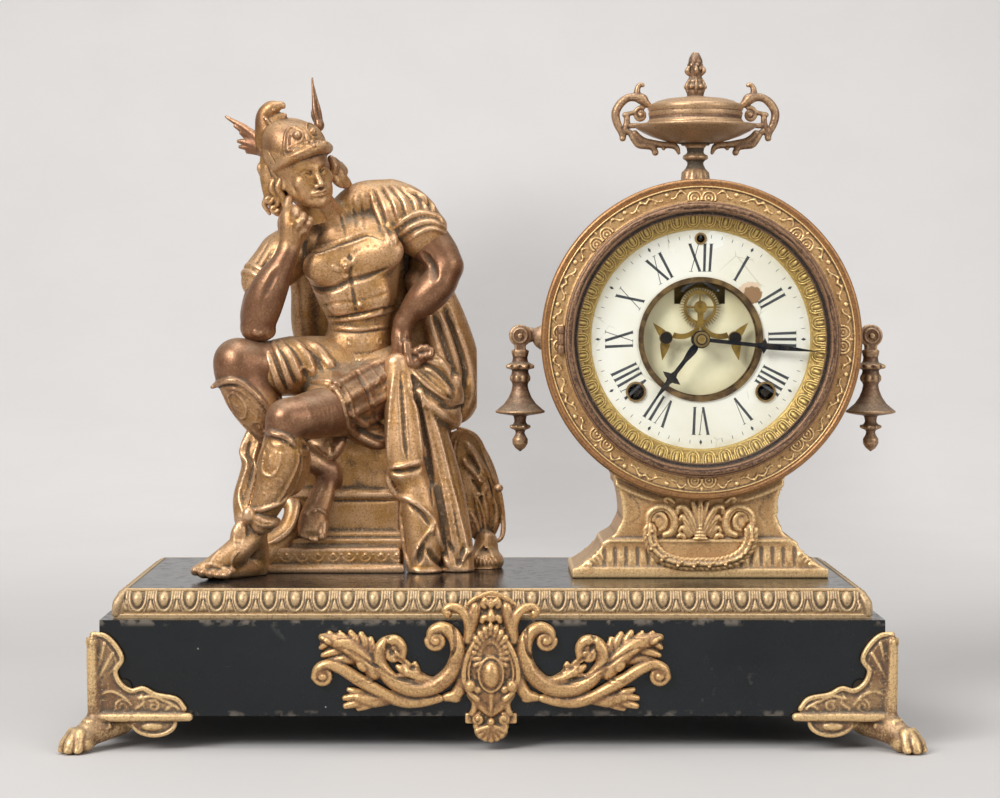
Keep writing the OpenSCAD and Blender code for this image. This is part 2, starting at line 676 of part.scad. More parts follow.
// Domed oval shield that leans on a clawed foot behind the drapery
module figure_shield() {
    color(gilt) on_figure() intersection() {
        union() {
            translate(shield_mid) rotate([-8, -12, 20]) {
                hull() {
                    for (a = [0:30:330]) translate([shield_half[0] * cos(a), 0, shield_half[1] * sin(a)])
                        sphere(r = 2.4, $fn = 8);
                    translate([0, -5, 0]) sphere(r = 5, $fn = 12);
                }
                for (a = [0:60:300]) bone([0, -7, 0], 3, [9 * cos(a), -4, 19 * sin(a)], 2);
            }
            bone(shield_mid + [2, -2, -30], 6, [82, 20, 5], 6);
            bone([76, 16, 4], 6, [88, 17, 3], 5);
            bone([80, 26, 4], 6, [82, 14, 6], 6);
        }
        translate([-120, -120, 0]) cube([240, 240, 240]);
    }
}

// Clock head: pedestal, drum and front ring

pedestal_top = axis_h - 58;
pedestal_slope_h = 13;
pedestal_half_d = 27;
saddle_half_w = 52;
module pedestal() {
    foot = pedestal_w / 2;
    waist_w = pedestal_waist;
    shoulder = 50;
    slope_top = pedestal_band_h + pedestal_slope_h;
    flare = [for (t = [0:0.1:1]) [waist_w + (saddle_half_w - waist_w) * pow(t, 2.2),
        slope_top + 12 + t * (pedestal_top - slope_top - 12)]];
    right = concat([[shoulder, slope_top], [waist_w + 4, slope_top + 4]], flare);
    color(gilt) translate([clock_x, 0, plate_top]) difference() {
        union() {
            translate([-foot, -pedestal_d / 2, 0]) cube([2 * foot, pedestal_d, pedestal_band_h]);
            for (k = [0:5]) let (t = k / 6, s = pow(1 - t, 1.7), up = pedestal_slope_h / 6)
                translate([-(shoulder + (foot - 2 - shoulder) * s),
                    -(pedestal_half_d + (pedestal_d / 2 - 1 - pedestal_half_d) * s),
                    pedestal_band_h + k * up])
                    cube([2 * (shoulder + (foot - 2 - shoulder) * s),
                        2 * (pedestal_half_d + (pedestal_d / 2 - 1 - pedestal_half_d) * s), up]);
            rotate([90, 0, 0]) linear_extrude(height = 2 * pedestal_half_d - 4, center = true)
                polygon(concat(right, [for (k = [len(right) - 1:-1:0]) [-right[k][0], right[k][1]]]));
        }
        translate([0, 0, axis_h]) rotate([90, 0, 0])
            cylinder(h = 2 * drum_d, r = drum_r, center = true, $fn = 128);
        for (sx = [-1, 1]) translate([sx * pedestal_bolt_x, 0, -1])
            cylinder(h = bolt_bite + 1, r = screw_r);
        translate([-clock_x, 0, -plate_top]) pendulum_room();
    }
}
swag_r = 20;
ornament_t = 3;
// The ornament fills the field between the pedestal's slope and the drum, and is drawn 20.9 mm high
ornament_h = 20.9;
ornament_gap = 3.5;
ornament_low = pedestal_band_h + pedestal_slope_h;
ornament_fit = (axis_h - drum_r - ornament_gap - ornament_low) / ornament_h;
// Acanthus with two volutes and a hanging garland on the pedestal's front
module pedestal_ornament() {
    fit = ornament_fit;
    low = ornament_low;
    color(gilt) translate([clock_x, -pedestal_half_d + 2, plate_top]) rotate([90, 0, 0]) {
        difference() {
            union() {
                for (a = [40:25:140]) translate([0, low + 8 * fit]) rotate(a)
                    linear_extrude(height = ornament_t) leaf(16 * fit, 4 * fit);
                linear_extrude(height = ornament_t) {
                    for (sx = [-1, 1]) scale([sx, 1]) {
                        translate([18 * fit, low + 12 * fit])
                            scroll(9 * fit, 3 * fit, 200, -200, 4 * fit, 3 * fit);
                        translate([0, low - 2 * fit]) scroll(12 * fit, 14 * fit, 30, 90, 5 * fit, 5 * fit);
                    }
                    translate([0, low + 8 * fit]) circle(r = 7 * fit);
                }
            }
            translate([0, axis_h, -5]) cylinder(h = 20, r = drum_r + ornament_gap, $fn = 128);
        }
        translate([0, low + 10 * fit, 3.2]) rotate([0, 0, 180]) rotate_extrude(angle = 180)
            translate([(swag_r + 2) * fit, 0]) circle(r = 3.2, $fn = 24);
    }
}
// Width of the lip that the rear door closes against
drum_lip_w = 7.3;
drum_lip_r = drum_r - drum_lip_w;
module drum_case() {
    inner = drum_r - drum_wall;
    color(bronze) {
        difference() {
            ring_at(centre_at, ring_back, rear_y, drum_r, inner, $fn = 128);
            pendulum_room();
        }
        ring_at(centre_at, rear_y - 2, rear_y, inner + 0.5, drum_lip_r, $fn = 128);
        // Lugs of the rear door's hinge
        for (sz = [-1, 1]) translate([clock_x + rear_hinge_x, rear_hinge_y, axis_z + sz * 6])
            difference() {
                union() {
                    cylinder(h = 5, r = hinge_r, center = true);
                    translate([-hinge_r * 0.6, -(rear_hinge_y - rear_y) - 0.5, -2.5])
                        cube([hinge_r * 1.2, rear_hinge_y - rear_y + 0.5, 5]);
                }
                cylinder(h = 7, r = hinge_pin_r, center = true);
            }
    }
}
hinge_r = 1.6;
hinge_pin_r = 0.7;
rear_hinge_x = drum_lip_r + 2.6;
rear_hinge_y = rear_y + 2;
// Distance of the rear door's knob from the door's edge
door_knob_in = 12.3;
module rear_door() {
    knob_at = [door_knob_in - drum_lip_r, 0];
    color(bronze) {
        ring_at(centre_at, rear_y - 1.9, rear_y - 0.4, drum_lip_r - clear, $fn = 128);
        ring_at(knob_at, rear_y - 0.4, rear_y + 5, 3);
        ring_at(knob_at, rear_y + 4, rear_y + 6.5, 5);
        translate([clock_x + rear_hinge_x, rear_hinge_y, axis_z]) {
            cylinder(h = 6.4, r = hinge_r, center = true);
            cylinder(h = 17, r = hinge_pin_r - run_gap, center = true);
            translate([-9, rear_y + clear - rear_hinge_y, -3.2]) cube([9, 1.1, 6.4]);
            translate([-9, rear_y - 0.6 - rear_hinge_y, -3.2]) cube([5.4, 1.2, 6.4]);
        }
    }
}
ring_in_r = 66;
// The studs stand midway between the door's rim and the rolled rim
ring_roll_w = 1.2;
ring_stud_r = (bezel_r + rim_r - ring_roll_w) / 2;
front_hinge_x = -(bezel_r + 1.7);
front_hinge_y = face_y - 2.5;
front_lug_r = 1.2;
module drum_front_ring() {
    color(gilt) {
        ring_at(centre_at, face_y, ring_back, rim_r - 1.5, ring_in_r, $fn = 128);
        facing(face_y + ring_t / 2) rotate_extrude($fn = 128)
            translate([rim_r - 1.75, 0.6]) circle(r = 1.75, $fn = 24);
        for (k = [0:7]) for (side = [-1, 1]) let (a = 45 * k + side * 13.5)
            ring_at(ring_stud_r * [cos(a), sin(a)], face_y - 1, face_y + 0.5, 1, $fn = 24);
        for (sz = [-1, 1]) translate([clock_x + front_hinge_x, front_hinge_y, axis_z + sz * 5])
            difference() {
                union() {
                    cylinder(h = 4, r = front_lug_r, center = true);
                    translate([-0.8, 0, -2]) cube([1.6, face_y - front_hinge_y + 0.5, 4]);
                }
                cylinder(h = 6, r = hinge_pin_r, center = true);
            }
    }
}

// Urn

urn_z = axis_z + drum_r;
module urn_stem() {
    color(bronze) difference() {
        turned(clock_x, [[0, urn_z - 3], [8, urn_z - 3], [8, urn_z + 2.5], [6.7, urn_z + 6],
            [4.2, urn_z + 10], [4.2, urn_z + 12], [6.45, urn_z + 14], [6.45, urn_z + 15.4],
            [4.2, urn_z + 17], [5.4, urn_z + 20], [5.4, urn_z + 21], [0, urn_z + 21]]);
        facing(drum_d) cylinder(h = 2 * drum_d, r = drum_r, $fn = 128);
    }
}
dish_z = urn_z + 31;
module urn_bowl() {
    r = urn_dish_r;
    color(bronze) difference() {
        turned(clock_x, [[0, urn_z + 21], [7, urn_z + 21], [r * 0.45, urn_z + 23], [r * 0.8, urn_z + 26.5],
            [r - 1, dish_z - 1.5], [r, dish_z], [r - 1, dish_z + 1], [0, dish_z + 1]]);
        turned(clock_x, [[0, urn_z + 23.4], [r * 0.4, urn_z + 24.6], [r * 0.74, dish_z - 1],
            [r * 0.76, dish_z + 2], [0, dish_z + 2]]);
    }
}
module urn_lid() {
    b = dish_z + 1;
    color(bronze) turned(clock_x, [[0, b], [urn_dish_r * 0.8, b], [urn_dish_r * 0.8, b + 2], [24.5, b + 3],
        [24.5, b + 9], [25, b + 10.5], [20, b + 12], [12, b + 14], [4.2, b + 15], [4.2, b + 17],
        [5.5, b + 20], [3.4, b + 24], [3.3, b + 26], [4.95, b + 28.5], [3.4, b + 30.5], [3, b + 34],
        [0, b + 38]]);
}
module urn_handles() {
    color(bronze) translate([clock_x, 0, dish_z]) rotate([90, 0, 0])
        linear_extrude(height = 4, center = true) for (sx = [-1, 1]) scale([sx, 1]) difference() {
            union() {
                translate([31, 8]) scroll(9.5, 9, -100, 130, 3.4, 3);
                translate([26, 12.5]) rotate(65) leaf(10, 2.4);
                translate([27, 6]) scroll(4, 2.5, -60, 200, 2.6, 2.4);
                translate([30, -4]) rotate(205) leaf(18, 3);
                translate([34, -1]) scroll(5, 4, -170, 60, 3, 3);
                translate([35, -9]) circle(r = 1.6, $fn = 16);
                translate([24, -7]) rotate(-30) leaf(12, 2);
            }
            polygon([[0, -6.4], [urn_dish_r * 0.8, -4.5], [urn_dish_r - 1, -1.5], [urn_dish_r, 0],
                [urn_dish_r - 1, 1], [urn_dish_r * 0.8, 1], [urn_dish_r * 0.8, 3], [24.5, 4],
                [24.5, 10], [25, 11.5], [20, 13], [0, 16], [0, 1]]);
        }
}

// Pendants: an eye on a lug carries a rivet, and the fork of a pendant hangs on it

eye_half_t = 1.8;
cheek_t = 2.4;
pendant_z = axis_z + 1.4;
module pendant_brackets() {
    lug_from = sqrt(pow(drum_r, 2) - pow(1.4 + 3, 2));
    color(bronze) for (sx = [-1, 1]) translate([clock_x + sx * pendant_x, 0, pendant_z]) {
        rotate([90, 0, 0]) cylinder(h = 2 * eye_half_t, r = pendant_ball_r, center = true);
        rotate([90, 0, 0]) cylinder(h = 2 * (eye_half_t + cheek_t + clear) + 2, r = rivet_r, center = true);
        for (sy = [-1, 1]) translate([0, sy * (eye_half_t + cheek_t + clear + clear + 0.7), 0])
            rotate([90, 0, 0]) cylinder(h = 1.2, r = rivet_r + 0.7, center = true);
        difference() {
            translate([sx > 0 ? -(pendant_x - lug_from) - 1 : 0, -eye_half_t, -3])
                cube([pendant_x - lug_from + 1, 2 * eye_half_t, 6]);
            translate([-sx * pendant_x, 0, -1.4]) rotate([90, 0, 0])
                cylinder(h = 20, r = drum_r, center = true, $fn = 128);
        }
    }
}
module pendant(sx) {
    z = pendant_z - pendant_ball_r;
    color(bronze) {
        translate([clock_x + sx * pendant_x, 0, pendant_z]) difference() {
            union() {
                for (sy = [-1, 1]) translate([0, sy * (eye_half_t + clear + cheek_t / 2), 0])
                    rotate([90, 0, 0]) {
                        cylinder(h = cheek_t, r = pendant_ball_r, center = true);
                        translate([-3, -pendant_ball_r - 4, -cheek_t / 2]) cube([6, 6, cheek_t]);
                    }
            }
            rotate([90, 0, 0]) cylinder(h = 20, r = rivet_r + run_gap, center = true);
        }
        turned(clock_x + sx * pendant_x, [[0, z - 1.5], [4.6, z - 1.5], [4, z - 6], [7, z - 9.5],
            [4, z - 11], [5, z - 15], [4, z - 19], [5.6, z - 25], [8.6, z - 30], [bell_r, z - 33],
            [bell_r - 0.6, z - 34.4], [3.6, z - 35.6], [3.2, z - 38], [5.3, z - 41], [3.4, z - 43],
            [2.4, z - 44.5], [4.1, z - 49], [2.6, z - 52.6], [0, z - 54]]);
    }
}
module pendant_left() { pendant(-1); }
module pendant_right() { pendant(1); }

// Door with its glass

module bezel_rim() {
    color(bronze) {
        difference() {
            ring_at(centre_at, bezel_front, bezel_back, bezel_r, bezel_in_r, $fn = 128);
            for (sz = [-1, 1]) translate([clock_x + front_hinge_x, front_hinge_y, axis_z + sz * 5])
                cylinder(h = 5, r = front_lug_r + clear, center = true);
        }
        ring_at(centre_at, bezel_back - 1.6, bezel_back, bezel_in_r + 0.5, bezel_in_r - 2, $fn = 128);
        translate([clock_x + front_hinge_x, front_hinge_y, axis_z]) {
            cylinder(h = 5.4, r = front_lug_r, center = true);
            cylinder(h = 14, r = hinge_pin_r - run_gap, center = true);
            translate([0, -0.8, -2.7]) cube([3, 1.6, 5.4]);
        }
    }
}
module bezel_glass() {
    edge_y = bezel_back - 1.6;
    ball_r = (pow(bezel_in_r, 2) + pow(glass_rise, 2)) / (2 * glass_rise);
    color([0.85, 0.9, 0.9, 0.3]) facing(edge_y) intersection() {
        cylinder(h = glass_rise + glass_t + 1, r = bezel_in_r, $fn = 128);
        difference() {
            translate([0, 0, glass_rise + glass_t - ball_r]) sphere(r = ball_r, $fn = 200);
            translate([0, 0, glass_rise - ball_r]) sphere(r = ball_r, $fn = 200);
        }
    }
}
sight_t = 1.2;
module sight_ring() {
    depth = dial_y - face_y - 0.6;
    color(gilt) facing(dial_y) rotate_extrude($fn = 128)
        polygon([[dial_r, 0], [dial_r + 0.8, 1.2], [dial_r + 4, 3.4], [ring_in_r - clear, depth],
            [ring_in_r - clear, depth - sight_t], [dial_r + 4.6, 3.4 - sight_t], [dial_r + 2.2, 0]]);
}

// Dial

dial_edge_r = dial_r + 2;
regulator_hole_r = 2.1;
grommet_w = 1;
dial_feet_r = 44;
module dial_ring() {
    color(cream) difference() {
        ring_at(centre_at, dial_y, dial_back, dial_edge_r, dial_open_r, $fn = 128);
        for (at = [time_at, strike_at])
            ring_at(at, dial_y - 1, dial_back + 1, key_hole_r + grommet_w);
        ring_at(regulator_at, dial_y - 1, dial_back + 1, regulator_hole_r + grommet_w);
    }
    color(brass) for (a = [25, 155, 270])
        ring_at(dial_feet_r * [cos(a), sin(a)], dial_back, front_plate_y, 1.5);
}
collar_in_r = dial_open_r - 2;
cock_foot_x = 17.6;
module dial_recess() {
    color(brass) difference() {
        union() {
            ring_at(centre_at, dial_y, recess_y, dial_open_r, dial_open_r - 0.8, $fn = 128);
            ring_at(centre_at, dial_y - 1, dial_y, dial_open_r + 0.6, collar_in_r, $fn = 128);
            ring_at(centre_at, recess_y, recess_y + recess_t, dial_open_r, $fn = 128);
        }
        ring_at(centre_at, recess_y - 1, recess_y + 2, 4.4);
        ring_at(escape_at, recess_y - 1, recess_y + 2, 2.4);
        facing(recess_y + 2) linear_extrude(height = 4) intersection() {
            difference() {
                circle(r = dial_open_r - 1.4);
                translate(escape_at) circle(r = 10);
            }
            translate([-13, 18]) square([26, 20]);
        }
    }
}
module dial_grommets() {
    color(brass) {
        for (at = [time_at, strike_at])
            ring_at(at, dial_y - 1, dial_back, key_hole_r + grommet_w, key_hole_r);
        ring_at(regulator_at, dial_y - 0.5, dial_back, regulator_hole_r + grommet_w, regulator_hole_r);
    }
}

// Movement

module plate_outline() {
    intersection() {
        union() {
            translate([-54, -52]) square([108, 94]);
            translate([-12, 30]) square([24, 28]);
        }
        circle(r = drum_r - drum_wall - 2, $fn = 128);
    }
}
pivot_r = arbor_r * 0.6;
escape_arbor_r = arbor_r * 0.7;
wind_r = 3;
module plate_holes(y) {
    for (at = [second_at, third_at, pin_at, fly_at, hammer_at])
        ring_at(at, y - 1, y + plate_thick + 1, pivot_r + run_gap);
    for (at = [centre_at, pallet_at]) ring_at(at, y - 1, y + plate_thick + 1, arbor_r + run_gap);
    ring_at(escape_at, y - 1, y + plate_thick + 1, escape_arbor_r + run_gap);
    for (at = [time_at, strike_at]) ring_at(at, y - 1, y + plate_thick + 1, wind_r * 0.8 + run_gap);
    ring_at(regulator_at, y - 1, y + plate_thick + 1, arbor_r + run_gap);
}
module front_plate() {
    color(brass) difference() {
        facing(front_plate_y + plate_thick) linear_extrude(height = plate_thick) {
            plate_outline();
            intersection() {
                for (a = [50, 130, 180, 0]) rotate(a) translate([30, -5]) square([60, 10]);
                circle(r = drum_r - drum_wall, $fn = 128);
            }
        }
        plate_holes(front_plate_y);
    }
    color(steel) ring_at(minute_at, front_plate_y - 8.6, front_plate_y, 1.2);
}
module back_plate() {
    color(brass) difference() {
        facing(back_plate_y + plate_thick) linear_extrude(height = plate_thick) plate_outline();
        plate_holes(back_plate_y);
    }
    // Stud that carries the pendulum's suspension
    color(steel) ring_at(suspension_at, behind_y, behind_y + 4.4, 1.2);
}
pillar_places = [[36, 36], [-36, 36], [14, -47], [-14, -47]];
module plate_pillars() {
    color(brass) for (at = pillar_places) {
        ring_at(at, gap_y, back_plate_y, 2.5);
        ring_at(at, gap_y + 4, gap_y + 6, 3.2);
        ring_at(at, back_plate_y - 6, back_plate_y - 4, 3.2);
    }
}
spring_r = 21;
module mainsprings() {
    color(steel) for (at = [time_at, strike_at]) {
        ring_at(at, spring_front, spring_back, spring_r, wind_r + clear);
        // Outer end, fixed to a stud between the plates
        ring_at(at + [sign(at[0]) * (spring_r - 1.5), -spring_r * 0.1], spring_front - clear,
            back_plate_y, 1.4);
    }
}
// The mainwheels run loose on the winding arbors
module time_main_wheel() {
    color(brass) geared(time_at, main_layer)
        gear(main_n, main_m, wheel_t * 1.4, wind_r + run_gap, heading(time_at, second_at), 6);
}
module winding_arbor(at) {
    ring_at(at, gap_y + clear, back_plate_y - clear, wind_r);
    ring_at(at, front_plate_y - 2, behind_y + 1, wind_r * 0.8);
    // Square end for the key
    ring_at(at, dial_back - 0.3, front_plate_y - 1, wind_r * 0.95, $fn = 4);
    // Ratchet wheel behind the mainwheel
    geared(at, main_layer - wheel_t * 1.4 - clear) linear_extrude(height = 1.2) difference() {
        circle(r = 8, $fn = 12);
        circle(r = wind_r - 0.2);
    }
}
module time_winding_arbor() { color(steel) winding_arbor(time_at); }
module strike_winding_arbor() { color(steel) winding_arbor(strike_at); }
module second_wheel() {
    color(brass) {
        arbor(second_at);
        geared(second_at, second_layer)
            gear(second_n, second_m, wheel_t, 0, heading(second_at, centre_at), 5);
        geared(second_at, main_layer + 0.6) gear(second_pinion_n, main_m, 3, 0,
            heading(time_at, second_at) + 180 + 180 / second_pinion_n);
    }
}
module centre_wheel() {
    color(brass) {
        ring_at(centre_at, dial_y - 6.4, behind_y, arbor_r);
        geared(centre_at, centre_layer) gear(centre_n, centre_m, wheel_t, 0, heading(centre_at, third_at), 5);
        geared(centre_at, second_layer + 0.8) gear(centre_pinion_n, second_m, 3, 0,
            heading(second_at, centre_at) + 180 + 180 / centre_pinion_n);
    }
}
module third_wheel() {
    color(brass) {
        arbor(third_at);
        geared(third_at, third_layer) gear(third_n, third_m, wheel_t, 0, heading(third_at, escape_at), 5);
        geared(third_at, centre_layer + 0.8) gear(third_pinion_n, centre_m, 3, 0,
            heading(centre_at, third_at) + 180 + 180 / third_pinion_n);
    }
}
escape_y = recess_y - 2;
escape_rim_r = 8.4;
module escape_wheel() {
    color(brass) {
        ring_at(escape_at, cock_y - 1, behind_y, escape_arbor_r);
        geared(escape_at, third_layer + 0.8) gear(escape_pinion_n, third_m, 3, 0,
            heading(third_at, escape_at) + 180 + 180 / escape_pinion_n);
        geared(escape_at, escape_y) linear_extrude(height = 0.8) {
            difference() {
                polygon([for (k = [0:escape_n - 1]) for (q = [[-0.22, escape_rim_r], [-0.05, escape_tip_r],
                    [0.05, escape_tip_r], [0.22, escape_rim_r]])
                    let (a = 360 / escape_n * (k + q[0])) [q[1] * cos(a), q[1] * sin(a)]]);
                circle(r = escape_rim_r - 1.4);
            }
            for (a = [0:90:270]) rotate(a) translate([0, -0.5]) square([escape_rim_r - 1, 1]);
            circle(r = 2);
        }
    }
}
cock_y = escape_y - 2.6;
// Gilt bridge over the escape wheel's front pivot, on two footed arms
module escapement_cock() {
    color(gilt) {
        difference() {
            facing(cock_y) linear_extrude(height = 1.2) {
                translate(escape_at) circle(r = 3.3);
                translate([-1.5, 6]) square([3, escape_at[1] - 6]);
                for (sx = [-1, 1]) scale([sx, 1]) {
                    translate([10, 12]) scroll(10.6, 10.6, 215, 292, 2.2, 3);
                    translate([cock_foot_x, 0.7]) circle(r = 3.4);
                    translate([cock_foot_x, 1]) rotate(48) leaf(10, 2);
                    translate([cock_foot_x, 0]) rotate(-80) leaf(11, 2.4);
                }
            }
            ring_at(escape_at, cock_y - 3, cock_y + 1, escape_arbor_r + run_gap);
        }
        for (sx = [-1, 1]) ring_at([sx * cock_foot_x, 0.7], cock_y - 0.5, recess_y, 2.2);
    }
    color(steel) for (sx = [-1, 1]) ring_at([sx * cock_foot_x, 0.7], cock_y - 2.4, cock_y - 0.9, 3.2);
}
pallet_pin_r = 0.7;
pallet_y = escape_y - 0.9;
module pallets() {
    pin_at_right = [9.2, 8.6];
    color(steel) {
        ring_at(pallet_at, recess_y + recess_t + clear, behind_y + 2.5, arbor_r);
        facing(recess_y + recess_t + 2) linear_extrude(height = 1.2) translate(pallet_at) {
            for (sx = [-1, 1]) rotate(atan2(pin_at_right[1] - pallet_at[1] + escape_at[1], sx * pin_at_right[0]))
                translate([0, -0.9]) square([norm([pin_at_right[0],
                    pallet_at[1] - escape_at[1] - pin_at_right[1]]), 1.8]);
            circle(r = 2.6);
        }
        for (sx = [-1, 1]) ring_at(escape_at + [sx * pin_at_right[0], pin_at_right[1]],
            escape_y - 1.6, recess_y + recess_t + 2, pallet_pin_r);
        // Crutch behind the back plate, with a fork round the pendulum rod
        facing(behind_y + 2) linear_extrude(height = 1) {
            translate([-1, 8]) square([2, pallet_at[1] - 8]);
            translate(pallet_at) circle(r = 2.4);
            for (sx = [-1, 1]) translate([sx * 2.3 - 0.6, 2]) square([1.2, 7]);
            translate([-2.9, 8]) square([5.8, 1.6]);
        }
        for (sx = [-1, 1]) ring_at([sx * 2.3, 4], behind_y + 1.5, behind_y + 4.6, 0.6);
    }
}
rod_half_w = 1;
// Depths of the bob behind the movement, and how far the pendulum swings to each side
bob_y = behind_y + 2;
bob_t = 3.4;
pendulum_swing = 3;
bob_gap = 1;
// Room that the pendulum keeps in whatever a longer one would reach
module pendulum_room() {
    facing(bob_y + bob_t + bob_gap) translate(suspension_at) linear_extrude(height = bob_t + 2 * bob_gap)
        hull() {
            circle(r = rod_half_w);
            for (side = [-1, 1]) rotate(side * pendulum_swing) translate([0, -pendulum_len])
                circle(r = bob_r + bob_gap);
        }
}
module pendulum() {
    far = pendulum_len;
    color(steel) difference() {
        facing(behind_y + 4.2) linear_extrude(height = 1) {
            translate([-rod_half_w, suspension_at[1] - far]) square([2 * rod_half_w, far]);
            translate(suspension_at) circle(r = 3);
        }
        ring_at(suspension_at, behind_y, behind_y + 6, 1.2 + run_gap);
    }
    color(brass) ring_at(suspension_at - [0, far], bob_y, bob_y + bob_t, bob_r);
}

// Hands and the wheels that drive them

hour_y = dial_y - 3;
minute_y = dial_y - 5;
hand_t = 0.8;
cannon_r = 1.9;
hour_angle = 90 - 217.5;
minute_angle = 90 - 96;
module hand_outline(l) {
    translate([4, -1.1]) square([l * 0.7, 2.2]);
    translate([l * 0.62, 0]) for (a = [0, 90, 180, 270]) rotate(a) leaf(l * 0.14, 1.7);
    translate([l * 0.62, 0]) rotate(0) leaf(l * 0.38, 1.3);
    translate([3, 0]) leaf(l * 0.4, 2);
}
module minute_hand() {
    color("#1d2230") difference() {
        union() {
            facing(minute_y) linear_extrude(height = hand_t) {
                circle(r = 4.4);
                rotate(minute_angle) translate([4, -1]) square([minute_len * 0.55, 2]);
                rotate(minute_angle) translate([minute_len * 0.4, 0]) leaf(minute_len * 0.6, 1.6);
                rotate(minute_angle) translate([minute_len * 0.52, 0]) for (a = [90, -90])
                    rotate(a) leaf(4, 1.4);
            }
            ring_at(centre_at, minute_y - 1.6, minute_y, 2.6);
            ring_at(centre_at, minute_y - 1, front_plate_y - clear, cannon_r);
            geared(centre_at, front_plate_y - 3.2)
                gear(cannon_n, motion_m, 2.6, 0, heading(centre_at, minute_at));
        }
        ring_at(centre_at, minute_y - 3, front_plate_y + 1, arbor_r + run_gap);
    }
}
hour_wheel_y = recess_y + recess_t + 2.4;
module hour_hand() {
    color("#1d2230") difference() {
        union() {
            facing(hour_y) linear_extrude(height = hand_t) {
                circle(r = 4.6);
                rotate(hour_angle) hand_outline(hour_len);
            }
            ring_at(centre_at, hour_y - 0.8, hour_wheel_y, cannon_r + 1.2);
            geared(centre_at, hour_wheel_y)
                gear(hour_n, hour_m, 1.4, 0, heading(centre_at, minute_at), 4);
        }
        ring_at(centre_at, hour_y - 3, hour_wheel_y + 2, cannon_r + run_gap);
    }
}
module minute_wheel() {
    color(brass) difference() {
        union() {
            geared(minute_at, front_plate_y - 3.4)
                gear(minute_n, motion_m, 1.4, 0, heading(minute_at, centre_at) + 180 / minute_n, 4);
            geared(minute_at, hour_wheel_y + 0.6)
                gear(minute_pinion_n, hour_m, 2.6, 0, heading(minute_at, centre_at) + 180 / minute_pinion_n);
            ring_at(minute_at, hour_wheel_y - 2, front_plate_y - clear, 1.9);
        }
        ring_at(minute_at, front_plate_y - 12, front_plate_y + 1, 1.2 + run_gap);
    }
}

// Strike side

module strike_main_wheel() {
    color(brass) geared(strike_at, main_layer)
        gear(main_n, main_m, wheel_t * 1.4, wind_r + run_gap, heading(strike_at, pin_at), 6);
}
module strike_pin_wheel() {
    color(brass) {
        arbor(pin_at);
        geared(pin_at, strike_layer) gear(pin_n, pin_m, wheel_t, 0, heading(pin_at, fly_at), 5);
        geared(pin_at, main_layer + 0.6) gear(second_pinion_n, main_m, 3, 0,
            heading(strike_at, pin_at) + 180 + 180 / second_pinion_n);
    }
}
module strike_fly() {
    color(brass) {
        arbor(fly_at);
        geared(fly_at, strike_layer + 0.8) gear(fly_pinion_n, pin_m, 3, 0,
            heading(pin_at, fly_at) + 180 + 180 / fly_pinion_n);
        translate([clock_x + fly_at[0] - 9, back_plate_y - 12, axis_z + fly_at[1] - 0.4])
            cube([18, 9, 0.8]);
    }
}
gong_y = behind_y + 8;
gong_r = 50;
gong_wire = 1.2;
gong_step = 3;
hammer_r = 4;
hammer_rest = 0.8;
// The hammer's head rests just outside the gong's outer turn
hammer_head = (gong_r + gong_wire + hammer_r + hammer_rest) * [cos(215), sin(215)];
module hammer() {
    reach = norm(hammer_head - hammer_at);
    color(steel) {
        arbor(hammer_at);
        ring_at(hammer_at, behind_y - 0.5, behind_y + 6, pivot_r);
        facing(behind_y + 6) translate([hammer_at[0], hammer_at[1], 0]) linear_extrude(height = 1.2) {
            rotate(heading(hammer_at, hammer_head)) translate([0, -0.8]) square([reach, 1.6]);
            circle(r = 2);
        }
    }
    color(brass) ring_at(hammer_head, behind_y + 4, gong_y + 3, hammer_r);
}
// Coil gong: one wire in half turns that step inwards, held by a block on the case
module gong() {
    color(steel) facing(gong_y) for (k = [0:4])
        translate([k % 2 == 0 ? 0 : -gong_step, 0, 0]) rotate([0, 0, 180 * k])
            rotate_extrude(angle = 180, $fn = 96)
                translate([gong_r - k * gong_step, 0]) circle(r = gong_wire, $fn = 16);
    color("#333333") intersection() {
        translate([clock_x + gong_r - 3, gong_y - 2.4, axis_z - 5]) cube([40, 4.8, 10]);
        facing(gong_y + 10) cylinder(h = 20, r = drum_r - drum_wall, $fn = 128);
    }
}
module regulator_arbor() {
    color(steel) {
        ring_at(regulator_at, dial_back - 0.5, behind_y + 1.4, arbor_r);
        ring_at(regulator_at, behind_y + 0.4, behind_y + 1.4, 3);
    }
}

base_box();
base_top_plate();
base_moulding();
front_mount();
foot_front_left();
foot_front_right();
foot_rear_left();
foot_rear_right();
fixing_screws();
figure_seat();
figure_torso();
figure_head();
figure_right_arm();
figure_left_arm();
figure_right_leg();
figure_left_leg();
figure_skirt();
figure_cloak();
figure_shield();
pedestal();
pedestal_ornament();
drum_case();
drum_front_ring();
rear_door();
urn_stem();
urn_bowl();
urn_lid();
urn_handles();
pendant_brackets();
pendant_left();
pendant_right();
bezel_rim();
bezel_glass();
sight_ring();
dial_ring();
dial_recess();
dial_grommets();
front_plate();
back_plate();
plate_pillars();
mainsprings();
time_main_wheel();
time_winding_arbor();
second_wheel();
centre_wheel();
third_wheel();
escape_wheel();
escapement_cock();
pallets();
pendulum();
minute_hand();
hour_hand();
minute_wheel();
strike_main_wheel();
strike_winding_arbor();
strike_pin_wheel();
strike_fly();
hammer();
gong();
regulator_arbor();
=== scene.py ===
"""Figural mantel clock: black enamel base on paw feet, seated cast figure, drum clock with urn and pendants.

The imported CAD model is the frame. Every piece here stands in the same place in metres, and the
sculpted pieces are modelled as clay in millimetres first.
"""

import math

import bpy
import numpy as np
import openvdb as vdb
from mathutils import Matrix, Vector


